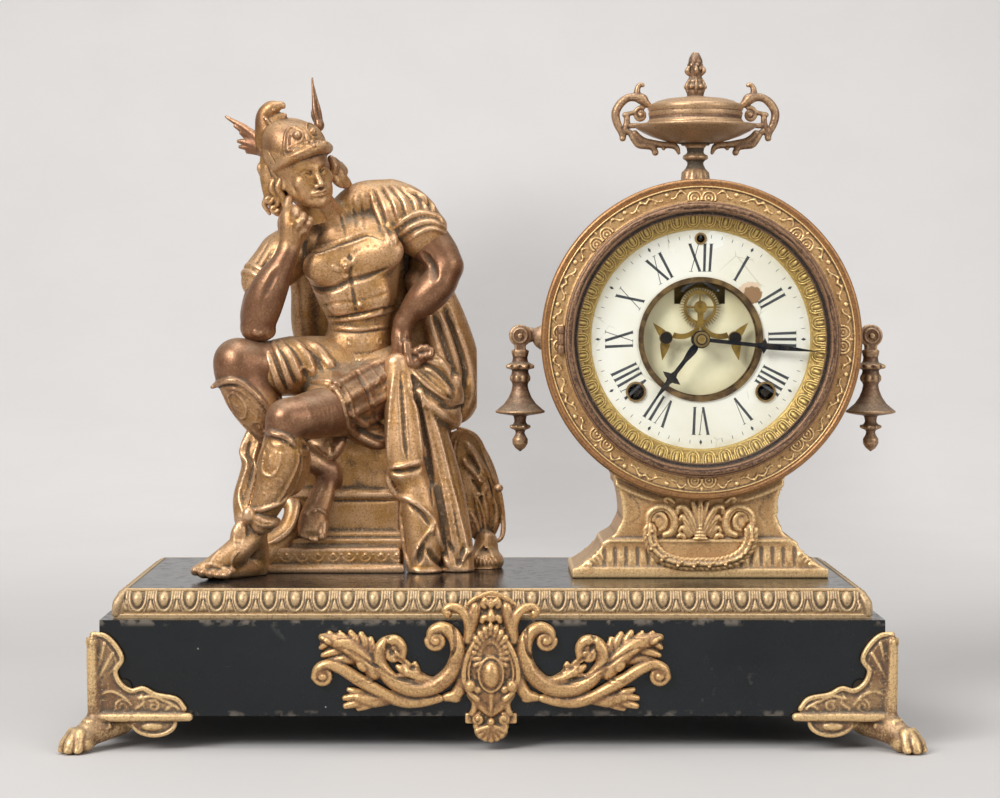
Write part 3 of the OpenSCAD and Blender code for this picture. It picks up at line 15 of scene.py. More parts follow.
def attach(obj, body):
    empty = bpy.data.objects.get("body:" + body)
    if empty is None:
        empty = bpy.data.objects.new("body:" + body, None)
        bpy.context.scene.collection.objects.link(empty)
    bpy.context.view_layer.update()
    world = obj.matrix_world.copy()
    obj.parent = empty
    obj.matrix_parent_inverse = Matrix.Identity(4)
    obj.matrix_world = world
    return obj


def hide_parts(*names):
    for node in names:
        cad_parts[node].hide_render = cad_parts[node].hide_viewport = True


bl_info = {
    "name": "Figural mantel clock",
    "version": (1, 0, 0),
    "blender": (4, 5, 0),
    "location": "3D View > Sidebar > Mantel clock",
    "description": "Builds the sculpted, enamelled and gilt pieces of a figural mantel clock round its CAD frame",
    "category": "Add Mesh",
}

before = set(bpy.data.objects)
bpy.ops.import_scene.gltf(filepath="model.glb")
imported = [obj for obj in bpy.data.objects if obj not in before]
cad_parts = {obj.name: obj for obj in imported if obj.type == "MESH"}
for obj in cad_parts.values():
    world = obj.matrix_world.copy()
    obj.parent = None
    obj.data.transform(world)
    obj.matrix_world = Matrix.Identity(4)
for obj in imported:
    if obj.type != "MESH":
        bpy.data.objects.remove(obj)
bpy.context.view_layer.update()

MM = 0.001
BODY = "case"
CLOCK_X = 106.5
AXIS_Z = 199.0
PLATE_TOP = 77.0
BOX_HALF = (191.5, 86.5)
BOX_LOW, BOX_TOP = 16.3, 63.0


# Shader maths


class Shade:
    """One socket of a shader tree, with the usual operators for numbers."""

    def __init__(self, tree, socket):
        self.tree = tree
        self.socket = socket

    def _math(self, kind, *values):
        return self.tree.node("ShaderNodeMath", {"operation": kind}, dict(enumerate(values)))

    def __add__(self, other):
        return self._math("ADD", self, other)

    def __sub__(self, other):
        return self._math("SUBTRACT", self, other)

    def __rsub__(self, other):
        return self._math("SUBTRACT", other, self)

    def __mul__(self, other):
        return self._math("MULTIPLY", self, other)

    def __truediv__(self, other):
        return self._math("DIVIDE", self, other)

    def __pow__(self, other):
        return self._math("POWER", self, other)

    __radd__ = __add__
    __rmul__ = __mul__

    def clipped(self):
        return self.tree.node("ShaderNodeClamp", {}, {"Value": self})

    def above(self, low, high):
        """0 below low, 1 above high, smooth in between."""
        return self.tree.node(
            "ShaderNodeMapRange",
            {"interpolation_type": "SMOOTHSTEP"},
            {"Value": self, "From Min": low, "From Max": high},
        )

    def larger(self, other):
        return self._math("MAXIMUM", self, other)

    def sine(self):
        return self._math("SINE", self)

    def absolute(self):
        return self._math("ABSOLUTE", self)


class Finish:
    """A material and its shader tree."""

    def __init__(self, name):
        self.material = bpy.data.materials.new(name)
        self.material.use_nodes = True
        self.nodes = self.material.node_tree.nodes
        self.links = self.material.node_tree.links
        self.nodes.clear()
        self.out = self.nodes.new("ShaderNodeOutputMaterial")

    def node(self, kind, settings, values, output=0):
        """Any node: its settings first, then the values or links of its sockets."""
        made = self.nodes.new(kind)
        for key, value in settings.items():
            if key == "stops":
                ramp = made.color_ramp
                while len(ramp.elements) < len(value):
                    ramp.elements.new(0.5)
                for element, (place, colour) in zip(ramp.elements, value):
                    element.position = place
                    element.color = (*colour, 1)
            else:
                setattr(made, key, value)
        for key, value in values.items():
            socket = made.inputs[key]
            if isinstance(value, Shade):
                self.links.new(value.socket, socket)
            elif isinstance(value, tuple) and len(value) == 3 and socket.type == "RGBA":
                socket.default_value = (*value, 1)
            else:
                socket.default_value = value
        return Shade(self, made.outputs[output])

    def place(self):
        return self.node("ShaderNodeTexCoord", {}, {}, "Object")

    def part(self, vector, axis):
        return self.node("ShaderNodeSeparateXYZ", {}, {"Vector": vector}, axis)

    def noise(self, size_mm, detail=3.0, rough=0.55, vector=None):
        """Even noise from 0 to 1 whose blobs are about size_mm across."""
        return self.node(
            "ShaderNodeTexNoise",
            {},
            {"Vector": vector or self.place(), "Scale": 1000.0 / size_mm, "Detail": detail, "Roughness": rough},
            "Fac",
        )

    def specks(self, size_mm, share):
        """1 in small random spots that cover about that share."""
        spot = self.node(
            "ShaderNodeTexVoronoi", {}, {"Vector": self.place(), "Scale": 1000.0 / size_mm, "Randomness": 1.0}, "Distance"
        )
        return 1 - spot.above(share * 0.6, share)

    def mix(self, share, under, over):
        made = self.nodes.new("ShaderNodeMix")
        made.data_type = "RGBA"
        for socket, value in zip((made.inputs[0], made.inputs[6], made.inputs[7]), (share, under, over)):
            if isinstance(value, Shade):
                self.links.new(value.socket, socket)
            elif isinstance(value, tuple):
                socket.default_value = (*value, 1)
            else:
                socket.default_value = value
        return Shade(self, made.outputs[2])

    def bump(self, height, depth_mm, strength=1.0, under=None):
        values = {"Height": height, "Distance": depth_mm * MM, "Strength": strength}
        if under is not None:
            values["Normal"] = under
        return self.node("ShaderNodeBump", {}, values)

    def attribute(self, name):
        return self.node("ShaderNodeAttribute", {"attribute_name": name}, {}, "Fac")

    def upward(self):
        """How far the surface faces up, from -1 to 1."""
        return self.part(self.node("ShaderNodeNewGeometry", {}, {}, "Normal"), "Z")

    def surface(self, **values):
        """Ends the tree with one Principled BSDF. Underscores stand for the spaces of socket names."""
        shader = self.node("ShaderNodeBsdfPrincipled", {}, {k.replace("_", " "): v for k, v in values.items()})
        self.links.new(shader.socket, self.out.inputs["Surface"])
        return self.material


def rgb(code):
    """A web colour as linear light."""
    parts = [int(code[k : k + 2], 16) / 255 for k in (1, 3, 5)]
    return tuple(c / 12.92 if c <= 0.04045 else ((c + 0.055) / 1.055) ** 2.4 for c in parts)


def cast_metal(name, ridge, flat, hollow, dust, metallic=0.8, rough=0.42, dust_share=0.55, grain=0.1):
    """Worn cast metal with dust, patina and painted light. Hollows take dark patina and painted shade, raised places
    take worn gilding and a painted highlight, and small specks are painted glints. The hollow attribute of a mesh is
    the depth below its smoothed self in millimetres.
    """
    f = Finish(name)
    depth = f.attribute("hollow")
    broad = f.attribute("basin")
    blotch = f.noise(9, 4)
    fine = f.noise(1.1, 3, 0.65)
    # sunk marks the hollows, fine and broad: their dark colour is patina in the grooves and painted shade in the broad
    # hollows between parts.
    sunk = (depth * 3.0 + broad * 0.5 + (fine - 0.5) * 1.3 + (blotch - 0.5) * 0.8).above(0.05, 0.8)
    # Raised places take the bright ridge colour: rubbed gilding and a painted highlight.
    raised = (depth * -3.4 - broad * 0.4 - (fine - 0.5) * 1.3 + (blotch - 0.5) * 0.8).above(0.1, 0.75)
    body = f.mix(f.noise(16, 3).above(0.38, 0.66), flat, tuple(0.72 * a + 0.28 * b for a, b in zip(flat, ridge)))
    colour = f.mix(raised, body, ridge)
    colour = f.mix(sunk * 0.95, colour, hollow)
    lying = f.upward().above(0.1, 0.95) * (f.noise(6, 4).above(0.3, 0.75) * 0.6 + 0.4) * (1 - raised * 0.7)
    grime = (lying * dust_share + sunk * 0.3 * dust_share).clipped()
    colour = f.mix(grime, colour, dust)
    colour = f.mix(f.noise(1.0, 2, 0.7).above(0.5, 0.66) * 0.5, colour, tuple(0.45 * a for a in flat))
    # Painted glints: small specks of the bright ridge colour.
    colour = f.mix(f.noise(1.5, 2, 0.7).above(0.56, 0.7) * 0.4, colour, ridge)
    pits = f.specks(2.3, 0.16) * f.noise(7, 2).above(0.48, 0.62)
    colour = f.mix(pits * 0.65, colour, hollow)
    skin = f.bump(fine + f.noise(0.45, 2) * 0.5 - pits * 1.2, grain, 0.75)
    return f.surface(
        Base_Color=colour,
        Metallic=(1 - grime * 0.9 - sunk * 0.35).clipped() * metallic,
        Roughness=(rough + grime * 0.3 + sunk * 0.2 + (blotch - 0.5) * 0.16 - raised * 0.08).clipped(),
        Normal=skin,
    )


def figure_metal(name, ridge, flat, hollow, dust, copper):
    """Cast metal whose gilding gives way to copper brown where the tone attribute of a mesh says so."""
    f = Finish(name)
    depth, broad = f.attribute("hollow"), f.attribute("basin")
    blotch, fine = f.noise(9, 4), f.noise(1.1, 3, 0.65)
    bare = (f.attribute("tone") + (f.noise(11, 4) - 0.5) * 1.0).above(0.25, 0.8)
    # sunk marks the hollows, fine and broad: their dark colour is patina in the grooves and painted shade in the broad
    # hollows between parts.
    sunk = (depth * 2.4 + broad * 0.7 + (fine - 0.5) * 1.3 + (blotch - 0.5) * 0.9).above(0.05, 0.85)
    # Raised places take the bright gold: rubbed gilding and a painted highlight.
    raised = (depth * -2.0 - broad * 0.35 - (fine - 0.5) * 1.5 + (blotch - 0.5) * 0.9).above(0.05, 0.85)
    gilt = f.mix(f.noise(14, 3).above(0.36, 0.66), flat, tuple(0.55 * a + 0.45 * b for a, b in zip(flat, ridge)))
    gilt = f.mix(raised, gilt, ridge)
    brown = f.mix(raised * 0.55 + f.noise(7, 3).above(0.4, 0.8) * 0.3, copper, tuple(0.5 * a + 0.5 * b for a, b in zip(copper, ridge)))
    colour = f.mix(bare, gilt, brown)
    colour = f.mix(sunk * 0.92, colour, hollow)
    lying = f.upward().above(0.15, 0.95) * (f.noise(6, 4).above(0.35, 0.75) * 0.7 + 0.3) * (1 - raised * 0.6)
    grime = (lying * 0.62 + sunk * 0.12).clipped()
    colour = f.mix(grime, colour, dust)
    colour = f.mix(f.noise(1.0, 2, 0.7).above(0.5, 0.66) * 0.55, colour, tuple(0.4 * a + 0.1 * b for a, b in zip(flat, copper)))
    # Painted glints: small specks of the bright gold, fewer where the copper shows.
    colour = f.mix(f.noise(1.4, 2, 0.7).above(0.56, 0.7) * 0.45 * (1 - bare * 0.6), colour, ridge)
    pits = f.specks(2.3, 0.16) * f.noise(7, 2).above(0.48, 0.62)
    colour = f.mix(pits * 0.6, colour, hollow)
    return f.surface(
        Base_Color=colour,
        Metallic=(1 - grime * 0.9 - sunk * 0.35).clipped() * 0.66,
        Roughness=(0.44 + grime * 0.3 + sunk * 0.2 + (blotch - 0.5) * 0.16 - raised * 0.08 - bare * 0.06).clipped(),
        Normal=f.bump(fine + f.noise(0.45, 2) * 0.5 - pits * 1.2, 0.09, 0.7),
    )


# Clay: shapes as distance fields in millimetres

EYE = np.array([-7.0, -1297.5, 218.5])
FOCAL = 2485.0


def seen(u, v, depth):
    """The point at that depth behind a place in the picture. u and v count from the figure's corner in fine steps."""
    px, py = 180 + u / 2.904, 60 + v / 2.904
    far = depth - EYE[1]
    return np.array([EYE[0] + (px - 478) * far / FOCAL, depth, EYE[2] - (py - 301) * far / FOCAL])


def curve(points, count=None):
    """Points along a smooth curve through the given rows; extra columns such as a radius come along."""
    rows = np.array([np.hstack([np.ravel(part) for part in row]) if isinstance(row, tuple) else row for row in points], float)
    if len(rows) < 3:
        steps = count or 8
        t = np.linspace(0, 1, steps)[:, None]
        return rows[0] * (1 - t) + rows[-1] * t
    ends = np.vstack([2 * rows[0] - rows[1], rows, 2 * rows[-1] - rows[-2]])
    per = max(3, (count or 6 * len(rows)) // (len(rows) - 1))
    out = []
    for k in range(len(rows) - 1):
        a, b, c, d = ends[k : k + 4]
        t = np.linspace(0, 1, per, endpoint=False)[:, None]
        out.append(0.5 * (2 * b + (c - a) * t + (2 * a - 5 * b + 4 * c - d) * t**2 + (3 * b - a - 3 * c + d) * t**3))
    return np.vstack(out + [rows[-1:]])


def turned_by(degrees):
    """Rotation matrix of turns about X, then Y, then Z."""
    m = np.eye(3)
    for axis, angle in enumerate(degrees):
        c, s = math.cos(math.radians(angle)), math.sin(math.radians(angle))
        r = np.eye(3)
        a, b = [(1, 2), (2, 0), (0, 1)][axis]
        r[a, a] = r[b, b] = c
        r[a, b], r[b, a] = -s, s
        m = r @ m
    return m


def blend_in(a, b, soft):
    """Smooth union of two distances."""
    if soft <= 0:
        return np.minimum(a, b)
    h = np.maximum(soft - np.abs(a - b), 0) / soft
    return np.minimum(a, b) - h * h * soft * 0.25


class Clay:
    """A lump on a regular grid; the field is the distance to its skin, negative inside."""

    FAR = 6.0

    def __init__(self, low, high, cell):
        self.cell = cell
        self.low = np.array(low, float)
        self.shape = np.ceil((np.array(high, float) - self.low) / cell).astype(int) + 1
        self.field = np.full(self.shape, self.FAR, np.float32)
        self.axes = [(self.low[k] + cell * np.arange(self.shape[k])).astype(np.float32) for k in range(3)]

    def window(self, low, high, margin=4.0):
        a = np.clip(np.floor((np.array(low) - margin - self.low) / self.cell).astype(int), 0, self.shape - 1)
        b = np.clip(np.ceil((np.array(high) + margin - self.low) / self.cell).astype(int) + 1, 1, self.shape)
        if (b <= a).any():
            return None
        cut = tuple(slice(p, q) for p, q in zip(a, b))
        x, y, z = (self.axes[k][cut[k]] for k in range(3))
        return cut, x[:, None, None], y[None, :, None], z[None, None, :]

    def merge(self, cut, distance, soft, carve):
        old = self.field[cut]
        if carve:
            self.field[cut] = -blend_in(-old, distance, soft)
        else:
            self.field[cut] = blend_in(old, distance, soft)

    def egg(self, at, radii, turn=(0, 0, 0), soft=2.0, carve=False):
        at, radii = np.array(at, float), np.array(radii, float)
        reach = radii.max() + soft
        found = self.window(at - reach, at + reach)
        if found is None:
            return self
        cut, x, y, z = found
        m = turned_by(turn).T
        p = [x - at[0], y - at[1], z - at[2]]
        q = [m[k, 0] * p[0] + m[k, 1] * p[1] + m[k, 2] * p[2] for k in range(3)]
        k0 = np.sqrt(sum((q[k] / radii[k]) ** 2 for k in range(3)))
        k1 = np.sqrt(sum((q[k] / radii[k] ** 2) ** 2 for k in range(3)))
        self.merge(cut, (k0 * (k0 - 1) / np.maximum(k1, 1e-6)).astype(np.float32), soft, carve)
        return self

    def limb(self, points, soft=2.0, carve=False, flat=None, count=None):
        """A rounded tube through rows of x, y, z, radius. flat squeezes it along that direction by that share."""
        rows = curve(points, count)
        reach = rows[:, 3].max() + soft
        found = self.window(rows[:, :3].min(0) - reach, rows[:, :3].max(0) + reach, 2.0)
        if found is None:
            return self
        cut, x, y, z = found
        near = np.full(self.field[cut].shape, 1e3, np.float32)
        offset = np.array([s.start for s in cut])
        small = Clay.__new__(Clay)
        small.cell, small.low = self.cell, self.low + offset * self.cell
        small.shape, small.field = np.array(near.shape), near
        small.axes = [self.axes[k][cut[k]] for k in range(3)]
        for a, b in zip(rows[:-1], rows[1:]):
            r = max(a[3], b[3]) + soft + 2
            piece = small.window(np.minimum(a[:3], b[:3]) - r, np.maximum(a[:3], b[:3]) + r, 0)
            if piece is None:
                continue
            part, px, py, pz = piece
            step = b[:3] - a[:3]
            length = max(float(step @ step), 1e-9)
            t = np.clip(((px - a[0]) * step[0] + (py - a[1]) * step[1] + (pz - a[2]) * step[2]) / length, 0, 1)
            dx, dy, dz = px - a[0] - t * step[0], py - a[1] - t * step[1], pz - a[2] - t * step[2]
            square = dx * dx + dy * dy + dz * dz
            if flat is not None:
                way, share = np.array(flat[0], float) / np.linalg.norm(flat[0]), flat[1]
                along = dx * way[0] + dy * way[1] + dz * way[2]
                square = square + along * along * (1 / share**2 - 1)
            d = np.sqrt(square) - (a[3] + t * (b[3] - a[3]))
            if flat is not None:
                d = d * (0.5 + 0.5 * share)
            near[part] = np.minimum(near[part], d)
        self.merge(cut, near, soft, carve)
        return self

    def slab(self, low, high, round_by=0.5, soft=0.0, carve=False, turn=None):
        low, high = np.array(low, float), np.array(high, float)
        mid, half = (low + high) / 2, (high - low) / 2
        reach = half if turn is None else np.full(3, np.linalg.norm(half))
        found = self.window(mid - reach - soft, mid + reach + soft)
        if found is None:
            return self
        cut, x, y, z = found
        p = [x - mid[0], y - mid[1], z - mid[2]]
        if turn is not None:
            m = turned_by(turn).T
            p = [m[k, 0] * p[0] + m[k, 1] * p[1] + m[k, 2] * p[2] for k in range(3)]
        q = [np.abs(p[k]) - half[k] + round_by for k in range(3)]
        outside = np.sqrt(sum(np.maximum(c, 0) ** 2 for c in q))
        inside = np.minimum(np.maximum(np.maximum(q[0], q[1]), q[2]), 0)
        self.merge(cut, (outside + inside - round_by).astype(np.float32), soft, carve)
        return self

    def below(self, height):
        """Cuts everything lower than that height."""
        z = self.axes[2][None, None, :]
        self.field = np.maximum(self.field, height - z)
        return self

    def shape_by(self, low, high, rule, margin=0.0):
        """Adds rule(x, y, z) in millimetres to the field inside a box: less makes the lump thicker."""
        found = self.window(low, high, margin)
        if found is not None:
            cut, x, y, z = found
            self.field[cut] += rule(x, y, z).astype(np.float32)
        return self

    def sample(self, points):
        q = (np.asarray(points) - self.low) / self.cell
        base = np.clip(np.floor(q).astype(int), 0, self.shape - 2)
        t = np.clip(q - base, 0, 1)
        out = 0
        for i in (0, 1):
            for j in (0, 1):
                for k in (0, 1):
                    w = (t[:, 0] if i else 1 - t[:, 0]) * (t[:, 1] if j else 1 - t[:, 1]) * (t[:, 2] if k else 1 - t[:, 2])
                    out = out + w * self.field[base[:, 0] + i, base[:, 1] + j, base[:, 2] + k]
        return out

    def hit(self, start, way):
        """Where a ray first meets the skin, or comes nearest to it."""
        way = np.array(way, float) / np.linalg.norm(way)
        start = np.array(start, float)
        high = self.low + (self.shape - 1) * self.cell
        with np.errstate(divide="ignore", invalid="ignore"):
            t0, t1 = (self.low - start) / way, (high - start) / way
        near = np.nanmax(np.minimum(t0, t1))
        far = np.nanmin(np.maximum(t0, t1))
        steps = np.arange(near, max(far, near + 1), self.cell * 0.7)
        values = self.sample(start + steps[:, None] * way)
        inside = np.nonzero(values < 0)[0]
        if len(inside) == 0:
            return start + steps[np.argmin(values)] * way
        k = inside[0]
        if k == 0:
            return start + steps[0] * way
        share = values[k - 1] / (values[k - 1] - values[k])
        return start + (steps[k - 1] + share * (steps[k] - steps[k - 1])) * way

    def skin(self, u, v):
        """The point of the skin seen at a place in the picture."""
        return self.hit(EYE, seen(u, v, 0.0) - EYE)

    def on_skin(self, places, way=None, start=None):
        """Skin points of picture places, or of 3D points looked at along a direction."""
        if way is None:
            return np.array([self.skin(u, v) for u, v in places])
        way = np.array(way, float)
        return np.array([self.hit(np.array(p, float) - way * 200, way) for p in places])

    def ridge(self, places, radius, lift=0.6, soft=None, way=None, carve=False, taper=True):
        """A raised line on the skin, or a groove where carve is true. lift is its height as a share of the radius."""
        lines = np.array(places, float)
        dense = curve(lines, 5 * len(lines)) if len(lines) > 2 else curve(lines, 8)
        spots = self.on_skin(dense, way)
        ray = np.array(way, float) if way is not None else np.array([0.0, 1.0, 0.0])
        ray = ray / np.linalg.norm(ray)
        sink = (1 - lift) * radius * (1 if not carve else -1)
        spots = spots + ray * sink
        radii = np.full(len(spots), float(radius))
        if taper:
            t = np.linspace(0, 1, len(spots))
            radii *= 0.35 + 0.65 * np.minimum(1, 4.5 * np.minimum(t, 1 - t) + 0.15)
        rows = np.column_stack([spots, radii])
        soft = radius * 0.8 if soft is None else soft
        rows = rows[:: max(1, len(rows) // 40)] if len(rows) > 60 else rows
        self.limb_exact(rows, soft, carve)
        return self

    def groove(self, places, radius, depth=0.7, soft=None, way=None, taper=True):
        return self.ridge(places, radius, depth, soft, way, True, taper)

    def limb_exact(self, rows, soft, carve):
        """A tube through rows as they are, without smoothing their path."""
        for a, b in zip(rows[:-1], rows[1:]):
            if np.linalg.norm(a[:3] - b[:3]) > 14:
                continue
            r = max(a[3], b[3]) + soft
            found = self.window(np.minimum(a[:3], b[:3]) - r, np.maximum(a[:3], b[:3]) + r, self.cell)
            if found is None:
                continue
            cut, x, y, z = found
            step = b[:3] - a[:3]
            length = max(float(step @ step), 1e-9)
            t = np.clip(((x - a[0]) * step[0] + (y - a[1]) * step[1] + (z - a[2]) * step[2]) / length, 0, 1)
            d = np.sqrt((x - a[0] - t * step[0]) ** 2 + (y - a[1] - t * step[1]) ** 2 + (z - a[2] - t * step[2]) ** 2)
            d = d - (a[3] + t * (b[3] - a[3]))
            old = self.field[cut]
            if carve:
                self.field[cut] = np.maximum(old, -d) if soft <= 0 else -blend_in(-old, d, soft * 0.5)
            else:
                self.field[cut] = np.minimum(old, d) if soft <= 0 else blend_in(old, d, soft * 0.5)

    def bead(self, places, radius, lift=0.5, soft=0.4, way=None, tall=1.0):
        """Round studs on the skin."""
        ray = np.array(way, float) if way is not None else np.array([0.0, 1.0, 0.0])
        for spot in self.on_skin(places, way):
            self.egg(spot + ray * radius * (0.5 - lift), (radius, radius, radius * tall), soft=soft)
        return self

    def mesh(self):
        """Vertices in millimetres and quads of the skin."""
        grid = vdb.FloatGrid(self.FAR)
        grid.copyFromArray(np.clip(self.field, -self.FAR, self.FAR).astype(np.float32), tolerance=1e-6)
        points, quads = grid.convertToQuads(isovalue=0.0)
        return np.asarray(points, float) * self.cell + self.low, np.asarray(quads, int)


# Meshes


def link(name, mesh, material, nodes=(), slot=None, body=BODY, smooth=True):
    """Makes an object of a mesh in metres and places it on its body, in place of those CAD nodes."""
    obj = bpy.data.objects.new(name, mesh)
    bpy.context.scene.collection.objects.link(obj)
    for m in material if isinstance(material, (list, tuple)) else [material]:
        mesh.materials.append(m)
    if smooth:
        mesh.polygons.foreach_set("use_smooth", [True] * len(mesh.polygons))
    note_relief(mesh)
    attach(obj, body)
    if nodes:
        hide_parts(*nodes)
    return obj


def plain_mesh(name, points_mm, faces):
    mesh = bpy.data.meshes.new(name)
    mesh.from_pydata([tuple(p) for p in np.asarray(points_mm) * MM], [], [tuple(f) for f in faces])
    mesh.update()
    return mesh


def quad_mesh(name, points_mm, quads):
    """Quick mesh of many quads."""
    mesh = bpy.data.meshes.new(name)
    mesh.vertices.add(len(points_mm))
    mesh.vertices.foreach_set("co", (np.asarray(points_mm) * MM).astype(np.float32).ravel())
    mesh.loops.add(len(quads) * 4)
    mesh.loops.foreach_set("vertex_index", np.asarray(quads, np.int32).ravel())
    mesh.polygons.add(len(quads))
    mesh.polygons.foreach_set("loop_start", np.arange(0, len(quads) * 4, 4, dtype=np.int32))
    mesh.polygons.foreach_set("loop_total", np.full(len(quads), 4, np.int32))
    mesh.update(calc_edges=True)
    mesh.validate()
    return mesh


def from_clay(name, clay, keep_largest=False):
    points, quads = clay.mesh()
    a, b, c = points[quads[:, 0]], points[quads[:, 1]], points[quads[:, 2]]
    d = points[quads[:, 3]]
    volume = np.einsum("ij,ij->i", a, np.cross(b, c)).sum() + np.einsum("ij,ij->i", a, np.cross(c, d)).sum()
    if volume < 0:
        quads = quads[:, ::-1]
    print(name, len(quads) * 2, "triangles")
    return quad_mesh(name, points, quads)


def note_relief(mesh):
    """Stores how deep each vertex lies below the smoothed skin, finely and broadly, in millimetres."""
    count = len(mesh.vertices)
    co = np.zeros(count * 3, np.float32)
    mesh.vertices.foreach_get("co", co)
    co = co.reshape(-1, 3) * 1000
    normal = np.zeros(count * 3, np.float32)
    mesh.vertex_normals.foreach_get("vector", normal)
    normal = normal.reshape(-1, 3)
    ends = np.zeros(len(mesh.edges) * 2, np.int32)
    mesh.edges.foreach_get("vertices", ends)
    ends = ends.reshape(-1, 2)
    degree = np.maximum(np.bincount(ends.ravel(), minlength=count), 1)
    soft = co.copy()
    for step in range(50):
        total = np.stack(
            [
                np.bincount(ends[:, 0], soft[ends[:, 1], k], count) + np.bincount(ends[:, 1], soft[ends[:, 0], k], count)
                for k in range(3)
            ],
            1,
        )
        soft = 0.3 * soft + 0.7 * total / degree[:, None]
        if step == 7:
            fine = np.einsum("ij,ij->i", soft - co, normal)
    broad = np.einsum("ij,ij->i", soft - co, normal)
    for label, values in (("hollow", fine), ("basin", broad)):
        layer = mesh.attributes.new(label, "FLOAT", "POINT")
        layer.data.foreach_set("value", np.clip(values, -2, 2).astype(np.float32))


def lathe(profile, at, steps=96, wave=None, axis="z"):
    """A body of revolution from rows of radius and height, closed at radius 0. wave(angle, radius, height) moves the radius."""
    rows = np.array(profile, float)
    angles = np.linspace(0, 2 * math.pi, steps, endpoint=False)
    points, faces = [], []
    for r, h in rows:
        for a in angles:
            rr = r + (wave(a, r, h) if wave else 0.0)
            points.append((at[0] + rr * math.cos(a), at[1] + rr * math.sin(a), h))
    n = len(rows)
    for k in range(n - 1):
        for j in range(steps):
            i = (j + 1) % steps
            faces.append((k * steps + j, k * steps + i, (k + 1) * steps + i, (k + 1) * steps + j))
    if rows[0][0] > 1e-6:
        points.append((at[0], at[1], rows[0][1]))
        faces += [(len(points) - 1, (j + 1) % steps, j) for j in range(steps)]
    if rows[-1][0] > 1e-6:
        points.append((at[0], at[1], rows[-1][1]))
        last = (n - 1) * steps
        faces += [(len(points) - 1, last + j, last + (j + 1) % steps) for j in range(steps)]
    return points, faces


def ring_relief(r_in, r_out, back, height, around, across, centre=(CLOCK_X, AXIS_Z)):
    """A ring that faces the viewer, seen as rows of angle and radius. height(angle, radius) is how far its
    face stands in front of the depth plane back; its back face lies on that plane."""
    angles = np.linspace(0, 2 * math.pi, around, endpoint=False)
    radii = np.linspace(r_in, r_out, across)
    a, r = np.meshgrid(angles, radii)
    h = height(a, r)
    x = centre[0] + r * np.cos(a)
    z = centre[1] + r * np.sin(a)
    front = np.stack([x, back - h, z], -1)
    edge_in = np.stack([x[0], np.full(around, back), z[0]], -1)[None]
    edge_out = np.stack([x[-1], np.full(around, back), z[-1]], -1)[None]
    grid = np.concatenate([edge_in, front, edge_out])
    n = len(grid)
    index = np.arange(n * around).reshape(n, around)
    nxt = np.roll(index, -1, 1)
    follow = np.roll(index, -1, 0)
    quads = np.stack([index, nxt, np.roll(nxt, -1, 0), follow], -1).reshape(-1, 4)
    return grid.reshape(-1, 3), quads


def ring_object(name, relief, material, **where):
    points, quads = relief
    a, b, c, d = (points[quads[:, k]] for k in range(4))
    volume = np.einsum("ij,ij->i", a, np.cross(b, c)).sum() + np.einsum("ij,ij->i", a, np.cross(c, d)).sum()
    if volume < 0:
        quads = quads[:, ::-1]
    return link(name, quad_mesh(name, points, quads), material, **where)


# The seated figure. Places are given as they are seen (u, v) with a depth in millimetres


def at(u, v, depth, radius=None):
    p = seen(u, v, depth)
    return p if radius is None else np.append(p, radius)


def way_of(*rows):
    return [at(*row) for row in rows]


def tone_of(obj_mesh, rule):
    """Stores how much copper brown shows through the gilding, from a rule on millimetres."""
    count = len(obj_mesh.vertices)
    co = np.zeros(count * 3, np.float32)
    obj_mesh.vertices.foreach_get("co", co)
    co = co.reshape(-1, 3) * 1000
    layer = obj_mesh.attributes.new("tone", "FLOAT", "POINT")
    layer.data.foreach_set("value", np.clip(rule(co[:, 0], co[:, 1], co[:, 2]), 0, 1).astype(np.float32))


def scroll_line(cx, cy, start, turns, r0, r1, count=22):
    """Places along a spiral in the picture."""
    t = np.linspace(0, 1, count)
    a = math.radians(start) + 2 * math.pi * turns * t
    r = r0 + (r1 - r0) * t
    return np.column_stack([cx + r * np.cos(a), cy - r * np.sin(a)])


